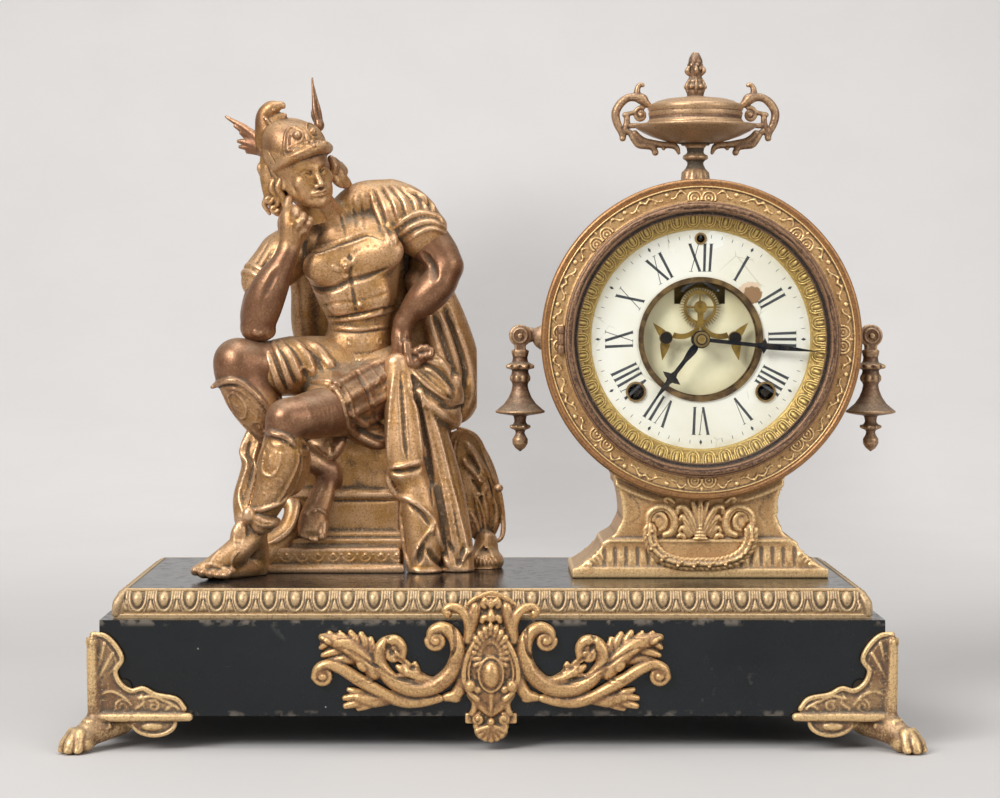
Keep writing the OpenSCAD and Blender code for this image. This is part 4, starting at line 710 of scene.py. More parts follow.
def sculpt_torso():
    c = Clay((-135, -12, 158), (-24, 46, 288), 0.78)
    c.egg(at(505, 600, 17), (25, 16.5, 21), (0, -12, 0))
    c.egg(at(498, 535, 18), (29, 14.5, 14), (0, -14, 0), 5)
    c.egg(at(517, 680, 18), (21, 14.5, 18), (0, -6, 0), 6)
    c.egg(at(526, 760, 21), (16.3, 13, 12), soft=6)
    c.egg(at(515, 828, 22), (18.5, 16, 13), soft=6)
    c.egg(at(505, 890, 24), (22, 19, 12), soft=6)
    c.limb(way_of((455, 500, 17, 8.6), (430, 450, 13, 7.8), (395, 400, 6, 7.4)), 4)
    c.limb(way_of((440, 470, 20, 7), (520, 412, 23, 10), (610, 408, 25, 11.5)), 5)
    c.limb(way_of((430, 480, 19, 7), (350, 515, 20, 9.5), (300, 560, 20, 10.5)), 5)
    c.egg(at(655, 456, 22), (17.0, 15, 15.5), (0, 20, 0), 5)
    c.limb(way_of((640, 440, 21, 14), (690, 486, 18, 13.6), (708, 505, 17, 13.6)), 4)
    c.egg(at(300, 585, 20), (12, 12.5, 14), (0, 20, 0), 5)
    c.limb(way_of((295, 570, 18, 12), (250, 620, 14, 11.5), (238, 640, 12, 11)), 4)
    c.egg(at(428, 598, 5), (13, 7, 10.5), (0, -8, 8), 4)
    c.egg(at(572, 563, 6), (14.5, 7, 10.5), (0, -12, -12), 4)
    c.egg(at(470, 690, 7), (8, 5, 10), soft=4)
    c.egg(at(560, 680, 7), (9, 5, 11), soft=4)
    # Under the breast and between the muscles of the moulded armour
    c.groove([(367, 650), (403, 668), (448, 663), (492, 643), (550, 627), (605, 606)], 1.5, 0.75, 1.6)
    c.groove([(492, 560), (494, 600), (498, 645), (505, 690), (512, 735)], 1.0, 0.55, 1.6)
    c.groove([(410, 715), (455, 705), (505, 700)], 0.9, 0.4, 1.4)
    c.groove([(515, 700), (560, 690), (605, 676)], 0.9, 0.4, 1.4)
    # Neckline: a sunk edge, a raised border below it and a gathered trim above
    edge = [(375, 560), (407, 556), (461, 538), (528, 515), (550, 510), (592, 524)]
    c.ridge([(u, v + 7) for u, v in edge], 0.9, 0.7, 0.5)
    c.groove(edge, 0.8, 0.95, 0.3)
    c.ridge([(378, 546), (405, 542), (459, 524), (524, 503), (548, 497)], 0.7, 0.6, 0.4)
    for k in range(11):
        t = k / 10
        u, v = 392 + 128 * t, 549 - 46 * t
        c.groove([(u - 1, v - 20), (u + 1, v - 2)], 0.35, 0.7, 0.2, taper=False)
    for line in (
        [(502, 388), (506, 440), (512, 500)],
        [(525, 384), (530, 440), (537, 498)],
        [(468, 440), (474, 480), (480, 520)],
        [(412, 500), (398, 520), (392, 545)],
        [(370, 520), (362, 545), (360, 575)],
    ):
        c.groove(line, 0.75, 0.6, 0.6)
    # Pleats of the sleeve over the shoulder
    pleats = [
        [(548, 385), (560, 430), (590, 500)],
        [(562, 374), (584, 420), (606, 487)],
        [(582, 366), (612, 412), (630, 470)],
        [(602, 363), (640, 405), (655, 452)],
        [(626, 362), (668, 400), (683, 440)],
        [(650, 368), (696, 405), (708, 438)],
        [(676, 380), (718, 415), (730, 440)],
    ]
    for k, line in enumerate(pleats):
        c.groove(line, 1.0, 0.8, 0.7)
        c.ridge([(u + 9, v + 2) for u, v in line], 1.5, 0.38, 1.5)
    # Rolled bands at the sleeve's end
    for line, r in (
        ([(612, 500), (650, 465), (698, 445), (747, 454), (764, 474)], 1.5),
        ([(632, 516), (676, 482), (729, 470), (769, 486)], 1.5),
        ([(660, 526), (698, 500), (738, 490), (776, 508)], 1.2),
    ):
        c.ridge(line, r, 0.8, 0.6)
    for k in range(9):
        u, v = 612 + 38 * k / 8, 505 - 38 * k / 8
        c.groove([(u - 6, v - 10), (u + 6, v + 8)], 0.35, 0.8, 0.15, taper=False)
    c.ridge([(600, 470), (618, 505), (622, 540)], 2.0, 0.5, 1.5)
    c.ridge([(582, 480), (600, 515), (612, 545)], 1.6, 0.5, 1.2)
    # The other sleeve, seen at the left behind the forearm
    for line in (
        [(262, 520), (232, 570), (205, 625)],
        [(275, 540), (248, 590), (222, 642)],
        [(285, 560), (262, 610), (240, 655)],
    ):
        c.groove(line, 0.9, 0.8, 0.6)
    start, end = at(295, 570, 18), at(238, 640, 12)
    along = (end - start) / np.linalg.norm(end - start)
    across = np.cross(along, (0, 1, 0))
    across /= np.linalg.norm(across)
    upright = np.cross(along, across)
    for back, reach, r in ((-5.0, 10.8, 1.5), (-1.2, 10.4, 1.3)):
        ring = [end + along * (back + 4) + (across * math.cos(a) + upright * math.sin(a)) * reach for a in np.linspace(0, 2 * math.pi, 25)]
        c.limb([(*p, r) for p in ring], 0.8)
    # Small winged mask on the breast
    c.egg(c.skin(478, 600) + (0, 1.0, 0), (2.9, 2.6, 3.6), soft=0.5)
    c.bead([(474, 597), (483, 594)], 0.75, 0.9, 0.2)
    c.bead([(480, 606)], 0.8, 1.0, 0.2)
    c.ridge([(470, 586), (478, 580), (488, 584), (492, 594)], 0.9, 0.9, 0.3)
    c.ridge([(492, 592), (504, 582), (511, 570)], 0.9, 0.9, 0.3)
    c.ridge([(490, 600), (500, 594), (508, 584)], 0.7, 0.9, 0.2)
    c.ridge([(466, 606), (452, 604), (441, 596)], 0.9, 0.9, 0.3)
    c.ridge([(468, 612), (456, 612), (446, 606)], 0.7, 0.9, 0.2)
    c.ridge([(470, 618), (480, 632), (486, 622)], 0.9, 0.8, 0.3)
    # Engraved lines and studs of the body armour
    for line in (
        [(456, 645), (478, 672), (494, 702), (512, 706)],
        [(500, 570), (516, 552), (560, 540), (600, 552)],
        [(535, 600), (545, 592), (556, 598), (552, 608)],
        [(540, 660), (552, 668), (548, 682), (534, 680)],
        [(575, 650), (590, 660), (584, 676)],
        [(430, 715), (452, 728), (490, 726)],
    ):
        c.groove(line, 0.42, 0.8, 0.2)
    c.ridge(scroll_line(522, 712, 90, 1, 9, 9, 14), 0.65, 0.7, 0.2, taper=False)
    c.bead([(522, 712)], 1.3, 0.7, 0.3)
    # Belt: grooves above and below a smooth band, and a worked band under it
    c.groove([(428, 748), (470, 748), (506, 741), (573, 728), (630, 712)], 1.2, 0.85, 0.6)
    c.ridge([(432, 757), (506, 751), (573, 738), (626, 724)], 1.1, 0.6, 0.6)
    c.ridge([(440, 775), (480, 781), (528, 782), (617, 770)], 0.9, 0.8, 0.4)
    c.groove([(432, 785), (480, 790), (528, 791), (620, 779)], 0.7, 0.8, 0.3)
    c.groove([(418, 842), (460, 850), (540, 850), (612, 838)], 0.7, 0.7, 0.3)
    c.bead([(491, 810), (491, 826)], 1.0, 0.6, 0.3)
    for cu in (450, 540, 580):
        c.ridge(scroll_line(cu, 818, 20, 1.1, 13, 4), 0.5, 0.7, 0.2)
    c.ridge([(505, 812), (520, 804), (530, 816), (522, 828)], 0.5, 0.7, 0.2)
    c.ridge([(422, 868), (445, 878), (500, 874), (560, 868), (612, 872)], 1.3, 0.6, 0.6)
    for k in range(14):
        c.bead([(432 + 13 * k, 876 - (3 if 3 < k < 10 else 0))], 0.7, 0.6, 0.2)
    mesh = from_clay("figure_torso", c)
    tone_of(mesh, lambda x, y, z: 0.16 + 0.2 * (z > 244))
    return mesh


def sculpt_arms():
    c = Clay((-134, -24, 196), (-88, 34, 276), 0.7)
    c.limb(way_of((285, 570, 18, 9.5), (250, 650, 13, 9.3), (226, 730, 3, 9.0), (222, 772, -2, 7.4)), 2)
    c.limb(way_of((228, 770, -3, 8.2), (238, 720, -4, 10.2), (264, 655, -6, 9.4), (294, 600, -8, 6.8), (313, 556, -9, 5.2)), 3)
    c.egg(at(213, 782, -3), (6.0, 6.5, 5.2), soft=3)
    c.egg(at(248, 790, -3), (5.2, 6.5, 3.6), soft=3)
    c.limb(way_of((313, 560, -9, 5.2), (324, 520, -9, 6.4), (330, 485, -9, 7.6), (326, 462, -9, 6.6)), 2, flat=((0, 1, 0), 0.72))
    c.limb(way_of((318, 462, -9, 3.3), (312, 436, -8, 2.7), (316, 405, -6, 2.1)), 1.0)
    c.limb(way_of((334, 462, -12, 3.2), (336, 440, -12, 2.7), (330, 432, -8, 2.3)), 0.8)
    c.limb(way_of((348, 474, -13, 3.1), (356, 455, -12, 2.6), (348, 450, -8, 2.2)), 0.8)
    c.limb(way_of((360, 492, -12, 2.8), (377, 468, -11, 2.2), (372, 462, -8, 2.0)), 0.8)
    c.limb(way_of((306, 500, -4, 3.6), (298, 470, -1, 2.8), (306, 446, 0, 2.3)), 1.2)
    c.bead([(338, 448), (358, 463), (374, 476)], 1.5, 0.3, 1.0)
    for line in ([(328, 470), (322, 500)], [(342, 480), (334, 508)], [(355, 494), (344, 516)]):
        c.ridge(line, 0.9, 0.35, 1.2)
    c.groove([(238, 700), (262, 650), (286, 606)], 2.2, 0.12, 3)
    c.ridge([(216, 786), (224, 792), (236, 792)], 1.6, 0.25, 2)
    right = from_clay("figure_right_arm", c)
    tone_of(right, lambda x, y, z: 0.85 - np.clip((z - 240) / 30, 0, 0.35))
    c = Clay((-58, -8, 180), (-14, 38, 276), 0.7)
    c.limb(way_of((672, 470, 19, 11.5), (712, 515, 17, 11.6), (752, 562, 14, 10.3), (775, 596, 11, 8.4)), 2)
    c.limb(way_of((776, 602, 11, 7.6), (752, 648, 10, 9.4), (712, 690, 10, 9.2), (674, 728, 11, 6.6), (650, 762, 11, 4.8)), 3)
    c.egg(at(793, 602, 12), (4.0, 5.4, 5.2), soft=3)
    c.limb(way_of((648, 758, 11, 4.8), (643, 800, 10, 5.4), (645, 845, 9, 5.2), (650, 882, 8, 3.9)), 2, flat=((0, 1, 0), 0.7))
    c.limb(way_of((648, 884, 8, 3.2), (662, 896, 6, 2.9), (684, 880, 4, 2.8), (698, 862, 4, 2.9)), 1.0)
    c.limb(way_of((660, 830, 6, 3.0), (664, 862, 4, 2.6), (668, 880, 3, 2.4)), 1.0)
    c.egg(at(708, 856, 6), (4.6, 4.2, 4.2), soft=1.5)
    for u, v in ((686, 846), (700, 838), (715, 838), (730, 846)):
        c.egg(at(u, v, 2.5), (2.2, 2.6, 2.4), soft=0.7)
    for u, v in ((700, 862), (716, 858), (730, 856)):
        c.egg(at(u, v, 1.5), (1.8, 2.2, 1.9), soft=0.6)
    c.ridge([(640, 790), (640, 830), (646, 866)], 1.0, 0.35, 1.2)
    c.ridge([(652, 790), (654, 830), (658, 860)], 0.9, 0.35, 1.2)
    c.groove([(700, 560), (728, 600), (742, 640)], 2.4, 0.12, 3)
    left = from_clay("figure_left_arm", c)
    tone_of(left, lambda x, y, z: 0.9 + 0 * x)
    return right, left


def greave(c, lip, border_a, border_b, beads, panels):
    """Raised edges, beads and chased work of a shin guard."""
    c.ridge(lip, 2.0, 0.85, 0.8)
    c.groove([(u + 2, v + 12) for u, v in lip], 0.7, 0.8, 0.3)
    for border in (border_a, border_b):
        c.ridge(border, 0.95, 0.75, 0.4)
    dense = curve(np.array(beads, float), 4 * len(beads))
    c.bead(dense[:: max(1, len(dense) // 24)], 0.75, 0.6, 0.2)
    for line in panels:
        c.ridge(line, 0.6, 0.65, 0.25)


def sculpt_legs():
    c = Clay((-152, -26, 92), (-62, 46, 204), 0.75)
    c.limb(way_of((480, 885, 24, 13), (330, 884, 9, 13), (210, 885, -3, 12.4)), 3)
    c.egg(at(170, 878, -6), (13.2, 12.6, 12.8), (0, 10, 0), 3)
    c.limb(way_of((172, 915, -6, 12.4), (212, 985, -5, 12.4), (262, 1060, -3, 10.4), (330, 1130, 0, 7.6), (410, 1180, 3, 5.6), (440, 1205, 5, 5.2)), 3)
    c.egg(at(240, 985, 4), (10, 9, 12), (0, -32, 0), 3)
    # Bare foot, toes down
    c.limb(way_of((436, 1190, 5, 5.4), (448, 1225, 8, 5.2)), 2)
    c.limb(way_of((432, 1195, 4, 5.2), (418, 1260, 1, 5.8), (398, 1325, -3, 6.0), (386, 1362, -6, 4.8)), 2, flat=((0, 1, 0), 0.72))
    c.limb(way_of((404, 1260, 1, 4.4), (376, 1325, -3, 5.0), (366, 1360, -5, 4.4)), 2)
    for u, v, r in ((354, 1374, 1.9), (366, 1380, 2.0), (380, 1386, 2.1), (395, 1388, 2.3), (412, 1380, 2.9)):
        c.limb(way_of((u + 3, v - 32, -5, r), (u, v, -7, r)), 0.5)
        c.bead([(u, v + 6)], r * 0.62, 0.2, 0.2)
    c.ridge([(352, 1322), (380, 1306), (410, 1308), (430, 1326)], 0.9, 0.8, 0.4)
    c.bead([(380, 1300), (368, 1316), (392, 1312)], 0.9, 0.6, 0.2)
    c.ridge([(424, 1210), (400, 1260), (384, 1302)], 0.8, 0.4, 1.0)
    greave(
        c,
        [(92, 951), (117, 937), (155, 932), (189, 948), (227, 982), (262, 1022)],
        [(120, 962), (150, 1015), (184, 1058), (228, 1104)],
        [(130, 950), (180, 962), (222, 1000), (252, 1036)],
        [(177, 982), (189, 1001), (193, 1020), (185, 1039), (170, 1036), (153, 1015), (143, 991), (141, 974), (156, 966), (177, 982)],
        [
            [(196, 985), (216, 1004), (228, 1030)],
            [(200, 1060), (222, 1050), (240, 1060), (236, 1080)],
            [(208, 1020), (224, 1036), (214, 1046)],
            [(212, 1074), (226, 1086), (240, 1096)],
            [(150, 985), (160, 1000), (172, 1008)],
        ],
    )
    c.bead([(232, 1068), (246, 1078)], 0.8, 0.6, 0.2)
    right = from_clay("figure_right_leg", c)
    knee = seen(170, 878, -6)
    shin = lambda x, z: np.clip((knee[2] - 7 - z - 0.25 * (x - knee[0])) / 4, 0, 1)
    tone_of(right, lambda x, y, z: 0.95 - 0.44 * shin(x, z) * np.clip((z - 128) / 8, 0, 1) - 0.35 * np.clip((128 - z) / 8, 0, 1))
    c = Clay((-154, -48, 76), (-40, 40, 190), 0.75)
    c.limb(way_of((590, 945, 20, 14), (450, 1012, -7, 13.6), (345, 1040, -25, 11.6)), 3)
    c.egg(at(308, 1042, -29), (10.6, 10.6, 10.4), (0, -20, 0), 3)
    c.limb(way_of((304, 1080, -29, 9.8), (292, 1165, -29, 11.0), (268, 1250, -28, 9.2), (236, 1325, -26, 6.8), (214, 1380, -24, 5.6)), 3)
    c.egg(at(335, 1185, -21), (7.6, 9, 14.5), (0, 12, 0), 4)
    c.limb(way_of((218, 1375, -22, 6.0), (222, 1440, -14, 6.6), (222, 1478, -12, 5.8)), 2.5)
    c.limb(way_of((212, 1380, -24, 6.2), (165, 1425, -29, 6.8), (112, 1462, -34, 5.8), (70, 1482, -37, 4.2)), 2.5)
    c.limb(way_of((222, 1470, -14, 5.4), (150, 1482, -28, 5.6), (100, 1490, -32, 4.6)), 2.5)
    for k, (u, v, r, d) in enumerate(((44, 1484, 2.4, -39), (66, 1490, 2.2, -41), (88, 1494, 2.1, -42), (110, 1497, 2.0, -42), (130, 1498, 1.9, -41))):
        c.limb(way_of((u + 22, v - 14, d + 4, r), (u, v, d, r)), 0.5)
        c.bead([(u - 2, v - 2)], r * 0.6, 0.2, 0.2)
    c.ridge([(120, 1420), (96, 1448), (80, 1480)], 0.9, 0.6, 0.5)
    c.ridge([(175, 1420), (150, 1450), (150, 1490)], 0.9, 0.6, 0.5)
    c.ridge([(60, 1462), (92, 1466), (130, 1478), (150, 1490)], 1.0, 0.7, 0.4)
    c.groove([(40, 1500), (120, 1508), (210, 1500)], 0.7, 0.7, 0.4)
    # Tongue of the boot below the knot
    tongue = c.skin(170, 1382)
    c.egg(tongue + (0, 1.2, 0), (4.4, 3.2, 8.0), (0, 12, 0), 0.5)
    c.groove([(158, 1398), (170, 1402), (184, 1398)], 0.5, 0.9, 0.2)
    c.groove([(172, 1342), (170, 1370), (168, 1392)], 0.4, 0.8, 0.2)
    c.ridge([(156, 1358), (160, 1410), (180, 1410), (190, 1360)], 0.55, 0.7, 0.2)
    greave(
        c,
        [(254, 1080), (274, 1087), (308, 1098), (334, 1122)],
        [(341, 1126), (342, 1168), (320, 1222), (284, 1282), (210, 1318)],
        [(250, 1094), (228, 1168), (206, 1250), (196, 1300)],
        [(246, 1134), (241, 1163), (239, 1191), (246, 1203), (262, 1208), (279, 1196), (289, 1172), (294, 1144)],
        [
            [(262, 1106), (276, 1120), (296, 1118), (306, 1132)],
            [(262, 1140), (262, 1168), (268, 1184)],
            [(278, 1130), (280, 1160), (272, 1184)],
            [(258, 1112), (252, 1124), (260, 1132)],
            [(250, 1226), (262, 1236), (250, 1246), (238, 1236), (250, 1226)],
            [(276, 1226), (292, 1218), (296, 1234), (280, 1246)],
            [(232, 1262), (246, 1258), (254, 1272), (240, 1284)],
            [(262, 1262), (278, 1258), (270, 1278)],
            [(226, 1222), (232, 1244), (222, 1262)],
        ],
    )
    c.ridge([(352, 1104), (366, 1120), (370, 1140)], 1.2, 0.7, 0.5)
    c.ridge([(346, 1136), (372, 1136)], 1.0, 0.8, 0.3)
    c.ridge([(346, 1146), (372, 1146)], 0.8, 0.8, 0.3)
    c.ridge([(352, 1124), (352, 1180), (332, 1240), (300, 1290)], 0.9, 0.7, 0.4)
    # Knotted cloth under the shin guard
    c.ridge([(196, 1308), (240, 1304), (290, 1286), (318, 1262)], 1.5, 0.8, 0.6)
    c.egg(at(199, 1322, -34), (3.6, 3.2, 4.4), soft=1)
    c.limb(way_of((206, 1322, -33, 2.2), (236, 1342, -33, 3.4), (268, 1344, -30, 3.0), (284, 1338, -26, 1.6)), 0.8)
    c.limb(way_of((208, 1330, -33, 2.0), (232, 1358, -32, 3.0), (258, 1362, -30, 2.0)), 0.8)
    c.groove([(214, 1332), (240, 1346), (268, 1348)], 0.6, 0.9, 0.3)
    c.below(PLATE_TOP)
    left = from_clay("figure_left_leg", c)
    top = seen(290, 1085, -29)[2]
    foot = seen(214, 1345, -24)[2]
    tone_of(left, lambda x, y, z: 0.95 - 0.6 * np.clip((top - z) / 3, 0, 1) - 0.1 * np.clip((foot - z) / 4, 0, 1))
    return right, left


def sculpt_skirt():
    c = Clay((-140, -22, 134), (-28, 46, 200), 0.75)
    c.limb(way_of((600, 930, 22, 17), (510, 975, 8, 17.2), (452, 1003, -4, 16.4)), 2)
    c.limb(way_of((470, 885, 24, 16), (370, 885, 13, 16.0), (296, 892, 4, 15.2), (268, 896, 2, 13.6)), 3)
    c.egg(at(560, 880, 24), (20, 18, 12), soft=4)
    c.egg(at(450, 885, 14), (14, 14, 11), soft=5)
    c.egg(at(420, 930, 4), (12, 9, 9), soft=5)
    c.limb(way_of((500, 1060, 6, 7), (560, 1090, 10, 8), (610, 1095, 12, 8)), 4)
    c.limb(way_of((360, 1105, 10, 3.6), (400, 1120, 6, 4.6), (438, 1140, 4, 4.4), (462, 1112, 6, 4)), 2)
    c.egg(at(430, 1120, 6), (6, 5, 6.5), soft=2)
    # Radiating folds of the cloth over the raised thigh
    folds = [
        [(246, 824), (262, 864), (282, 922), (300, 968)],
        [(268, 818), (290, 862), (310, 920), (322, 952)],
        [(292, 816), (322, 862), (340, 906), (350, 936)],
        [(330, 814), (362, 850), (380, 892), (386, 916)],
        [(372, 818), (408, 850), (430, 880), (444, 892)],
    ]
    for k, line in enumerate(folds):
        c.ridge(line, (1.5, 2.0, 1.8, 2.2, 2.6)[k], 0.55, 1.6)
    for line in (
        [(258, 822), (276, 866), (296, 922), (312, 962)],
        [(280, 820), (306, 864), (326, 914), (338, 944)],
        [(308, 818), (342, 858), (362, 902), (370, 926)],
        [(350, 820), (386, 854), (406, 888), (414, 906)],
    ):
        c.groove(line, 1.1, 0.8, 0.8)
    c.ridge([(240, 822), (256, 866), (276, 926), (296, 972)], 1.1, 0.8, 0.4)
    c.ridge([(346, 905), (356, 892), (372, 896), (384, 908)], 0.9, 0.7, 0.4)
    # Rolled hem on the front thigh and the hem below
    hem = [(386, 934), (412, 936), (444, 948), (468, 980), (480, 1022), (488, 1066)]
    c.ridge(hem, 1.9, 0.85, 0.6)
    for line in (
        [(600, 868), (540, 896), (470, 936), (432, 958)], [(622, 900), (566, 936), (500, 976), (470, 1000)],
        [(630, 950), (580, 985), (520, 1016), (486, 1032)], [(632, 1000), (590, 1030), (540, 1050), (496, 1056)],
    ):
        c.ridge(line, 2.0, 0.25, 2.4)
    c.groove([(u + 9, v - 2) for u, v in hem], 0.8, 0.8, 0.4)
    c.ridge([(u + 20, v - 4) for u, v in hem], 1.0, 0.5, 0.9)
    c.ridge([(488, 1066), (520, 1092), (560, 1112), (596, 1120)], 2.0, 0.8, 1.0)
    c.groove([(500, 1052), (530, 1076), (566, 1094), (600, 1100)], 1.2, 0.9, 0.6)
    c.ridge([(500, 1030), (540, 1060), (600, 1066)], 1.4, 0.5, 1.4)
    # Straps crossing over the skirt
    for line in (
        [(548, 888), (572, 920), (600, 966)],
        [(574, 878), (600, 915), (620, 940)],
        [(600, 880), (580, 920), (566, 950)],
        [(622, 900), (602, 936), (586, 966)],
    ):
        c.ridge(line, 0.7, 0.5, 0.35)
    c.groove([(512, 900), (540, 950), (560, 1010), (574, 1050)], 1.2, 0.45, 1.6)
    c.groove([(390, 1120), (410, 1140), (430, 1150)], 0.8, 0.8, 0.5)
    c.groove([(430, 1100), (440, 1124), (438, 1146)], 0.8, 0.8, 0.5)
    mesh = from_clay("figure_skirt", c)
    front = seen(500, 980, 0)
    tone_of(mesh, lambda x, y, z: np.where((x > front[0] - 10) & (z < front[2] + 18), 0.62, 0.12))
    return mesh


def sculpt_cloak():
    c = Clay((-136, -12, 76), (-8, 57, 284), 0.85)
    # Down the back
    c.egg(at(500, 575, 37), (34, 8, 32), (0, -8, 0), 3)
    c.egg(at(540, 740, 42), (40, 8, 40), soft=4)
    c.egg(at(600, 880, 42), (42, 9, 30), soft=4)
    c.limb(way_of((640, 410, 34, 6), (700, 520, 34, 8), (740, 640, 34, 8)), 4)
    c.limb(way_of((345, 560, 34, 5), (356, 680, 38, 6), (370, 800, 40, 6.5), (400, 860, 40, 7)), 4)
    c.limb(way_of((410, 560, 40, 6), (412, 690, 42, 7), (425, 800, 42, 7)), 4)
    c.limb(way_of((710, 600, 32, 8), (775, 740, 31, 9), (822, 870, 29, 8.6), (832, 960, 27, 8), (812, 1016, 24, 6.6), (770, 1026, 20, 5.4)), 3)
    c.limb(way_of((690, 640, 28, 7), (740, 760, 26, 7), (770, 860, 24, 7), (780, 940, 21, 6.4)), 3)
    c.limb(way_of((810, 1010, 26, 6), (770, 960, 30, 9), (720, 900, 32, 10)), 4)
    # Cloth gathered in the fist and rolled under it
    c.limb(way_of((716, 866, 9, 4), (742, 888, 10, 6), (776, 940, 12, 7), (786, 985, 13, 7), (760, 1000, 13, 6)), 2.5)
    c.limb(way_of((650, 905, 8, 5.4), (690, 940, 7, 7), (740, 985, 8, 8), (782, 1034, 12, 6.6), (792, 1052, 14, 4)), 2.5)
    c.limb(way_of((730, 900, 14, 6), (700, 930, 16, 9), (660, 950, 18, 9)), 3)
    for line, r in (
        ([(716, 872), (752, 884), (790, 915), (808, 950)], 1.8),
        ([(706, 884), (738, 906), (770, 944), (786, 976)], 2.2),
        ([(690, 892), (722, 920), (756, 950), (790, 972)], 1.8),
        ([(668, 900), (706, 936), (744, 966), (780, 992)], 2.4),
        ([(746, 862), (768, 888), (786, 912), (792, 930)], 1.4),
        ([(640, 905), (668, 946), (712, 990), (756, 1024), (788, 1048)], 2.6),
    ):
        c.ridge(line, r, 0.55, r * 0.9)
    for line, r in (
        ([(700, 876), (744, 900), (782, 936), (800, 962)], 1.2),
        ([(680, 896), (716, 928), (752, 960), (786, 982)], 1.2),
        ([(656, 900), (694, 946), (738, 978), (784, 1008)], 1.6),
        ([(770, 720), (800, 800), (822, 880), (826, 950)], 2.0),
        ([(730, 720), (760, 800), (790, 880), (800, 925)], 2.2),
        ([(752, 1000), (790, 1012), (826, 1000)], 1.2),
    ):
        c.groove(line, r, 0.8, r)
    c.ridge([(786, 738), (822, 820), (846, 900), (850, 960), (836, 1010)], 1.6, 0.5, 1.8)
    c.ridge([(752, 730), (782, 810), (806, 890), (812, 950)], 1.7, 0.6, 1.6)
    # Long fall beside the seat
    c.limb(way_of((630, 885, 4, 6.4), (640, 1000, 2, 8.6), (648, 1110, 0, 9.4), (655, 1185, -1, 9.4)), 3, flat=((0, 1, 0), 0.7))
    c.limb(way_of((665, 1185, 2, 8), (690, 1280, 0, 9.4), (706, 1390, -2, 9.4), (706, 1480, -2, 8.6)), 3, flat=((0, 1, 0), 0.8))
    c.limb(way_of((684, 920, 8, 6), (728, 1070, 8, 8), (768, 1220, 8, 9), (796, 1370, 6, 9), (806, 1480, 4, 9)), 3, flat=((0, 1, 0), 0.8))
    c.limb(way_of((700, 1000, 16, 8), (730, 1200, 18, 10), (750, 1480, 18, 12)), 4)
    for line, r in (
        ([(622, 900), (612, 1000), (606, 1100), (606, 1176)], 1.3),
        ([(660, 900), (680, 1000), (694, 1100), (702, 1160)], 1.8),
        ([(690, 930), (722, 1040), (752, 1160), (780, 1290), (796, 1400)], 2.0),
        ([(716, 990), (750, 1090), (772, 1180), (800, 1290), (826, 1400), (836, 1470)], 1.8),
        ([(606, 1184), (640, 1182), (678, 1172), (708, 1166)], 1.5),
        ([(606, 1184), (606, 1226), (628, 1262), (664, 1276), (700, 1300), (740, 1336)], 1.6),
        ([(740, 1336), (722, 1380), (690, 1424), (676, 1460)], 1.7),
        ([(642, 1280), (646, 1360), (656, 1430), (668, 1478)], 1.5),
        ([(742, 1340), (752, 1400), (772, 1450), (790, 1478)], 1.6),
        ([(760, 1180), (778, 1290), (796, 1390), (800, 1460)], 1.6),
        ([(672, 1478), (700, 1486), (740, 1484), (772, 1480)], 1.4),
        ([(800, 1478), (826, 1440), (848, 1418)], 1.6),
    ):
        c.ridge(line, r, 0.62, r * 0.8)
    for line, r in (
        ([(640, 900), (646, 1000), (652, 1100), (660, 1160)], 1.4),
        ([(676, 920), (700, 1040), (722, 1160), (736, 1290)], 1.7),
        ([(706, 980), (736, 1100), (764, 1220), (788, 1340), (806, 1440)], 1.5),
        ([(612, 1196), (650, 1196), (700, 1184)], 1.6),
        ([(664, 1290), (704, 1320), (726, 1350)], 1.2),
        ([(730, 1376), (704, 1420), (692, 1462)], 1.8),
        ([(716, 1420), (740, 1450), (764, 1470)], 1.5),
        ([(780, 1400), (798, 1440), (810, 1466)], 1.4),
        ([(826, 1410), (812, 1450), (806, 1474)], 1.3),
    ):
        c.groove(line, r, 0.85, r * 0.7)
    # Loose end behind the front shin and the ground it lies on
    c.limb(way_of((222, 1060, 14, 3.6), (196, 1130, 13, 4.2), (204, 1180, 11, 4.6), (182, 1270, 9, 5), (190, 1330, 5, 6)), 2.5)
    c.limb(way_of((230, 1110, 14, 5), (230, 1200, 12, 7), (225, 1300, 8, 8), (235, 1400, 6, 10), (240, 1480, 6, 11)), 4)
    c.limb(way_of((300, 1270, 8, 4), (330, 1300, 6, 5), (318, 1360, 4, 6), (270, 1410, 2, 7), (236, 1440, 0, 7)), 3)
    for line, r in (
        ([(206, 1066), (178, 1136), (196, 1176), (172, 1262), (186, 1326)], 1.3),
        ([(232, 1100), (214, 1160), (222, 1200), (204, 1270)], 1.2),
        ([(340, 1270), (344, 1300), (330, 1350), (290, 1390), (240, 1410)], 1.4),
    ):
        c.ridge(line, r, 0.7, 0.8)
    c.groove([(214, 1080), (196, 1140), (210, 1180), (190, 1262)], 1.0, 0.8, 0.6)
    # Folds seen from behind
    for k in range(7):
        line = [(-86 + 4.5 * k, 60, 266 - (k - 3) ** 2), (-98 + 10.5 * k, 60, 240), (-97 + 11.6 * k, 60, 212), (-91 + 11.2 * k, 60, 185), (-82 + 8.6 * k, 60, 168)]
        c.ridge(line, 2.6, 0.5, 2.4, way=(0, -1, 0))
        c.groove([(p[0] + 5, p[1], p[2]) for p in line], 1.8, 0.7, 1.8, way=(0, -1, 0))
    c.below(PLATE_TOP)
    mesh = from_clay("figure_cloak", c)
    tone_of(mesh, lambda x, y, z: np.where((x > -60) & (z < 172), 0.06, 0.22 + 0.16 * (z > 246)))
    return mesh


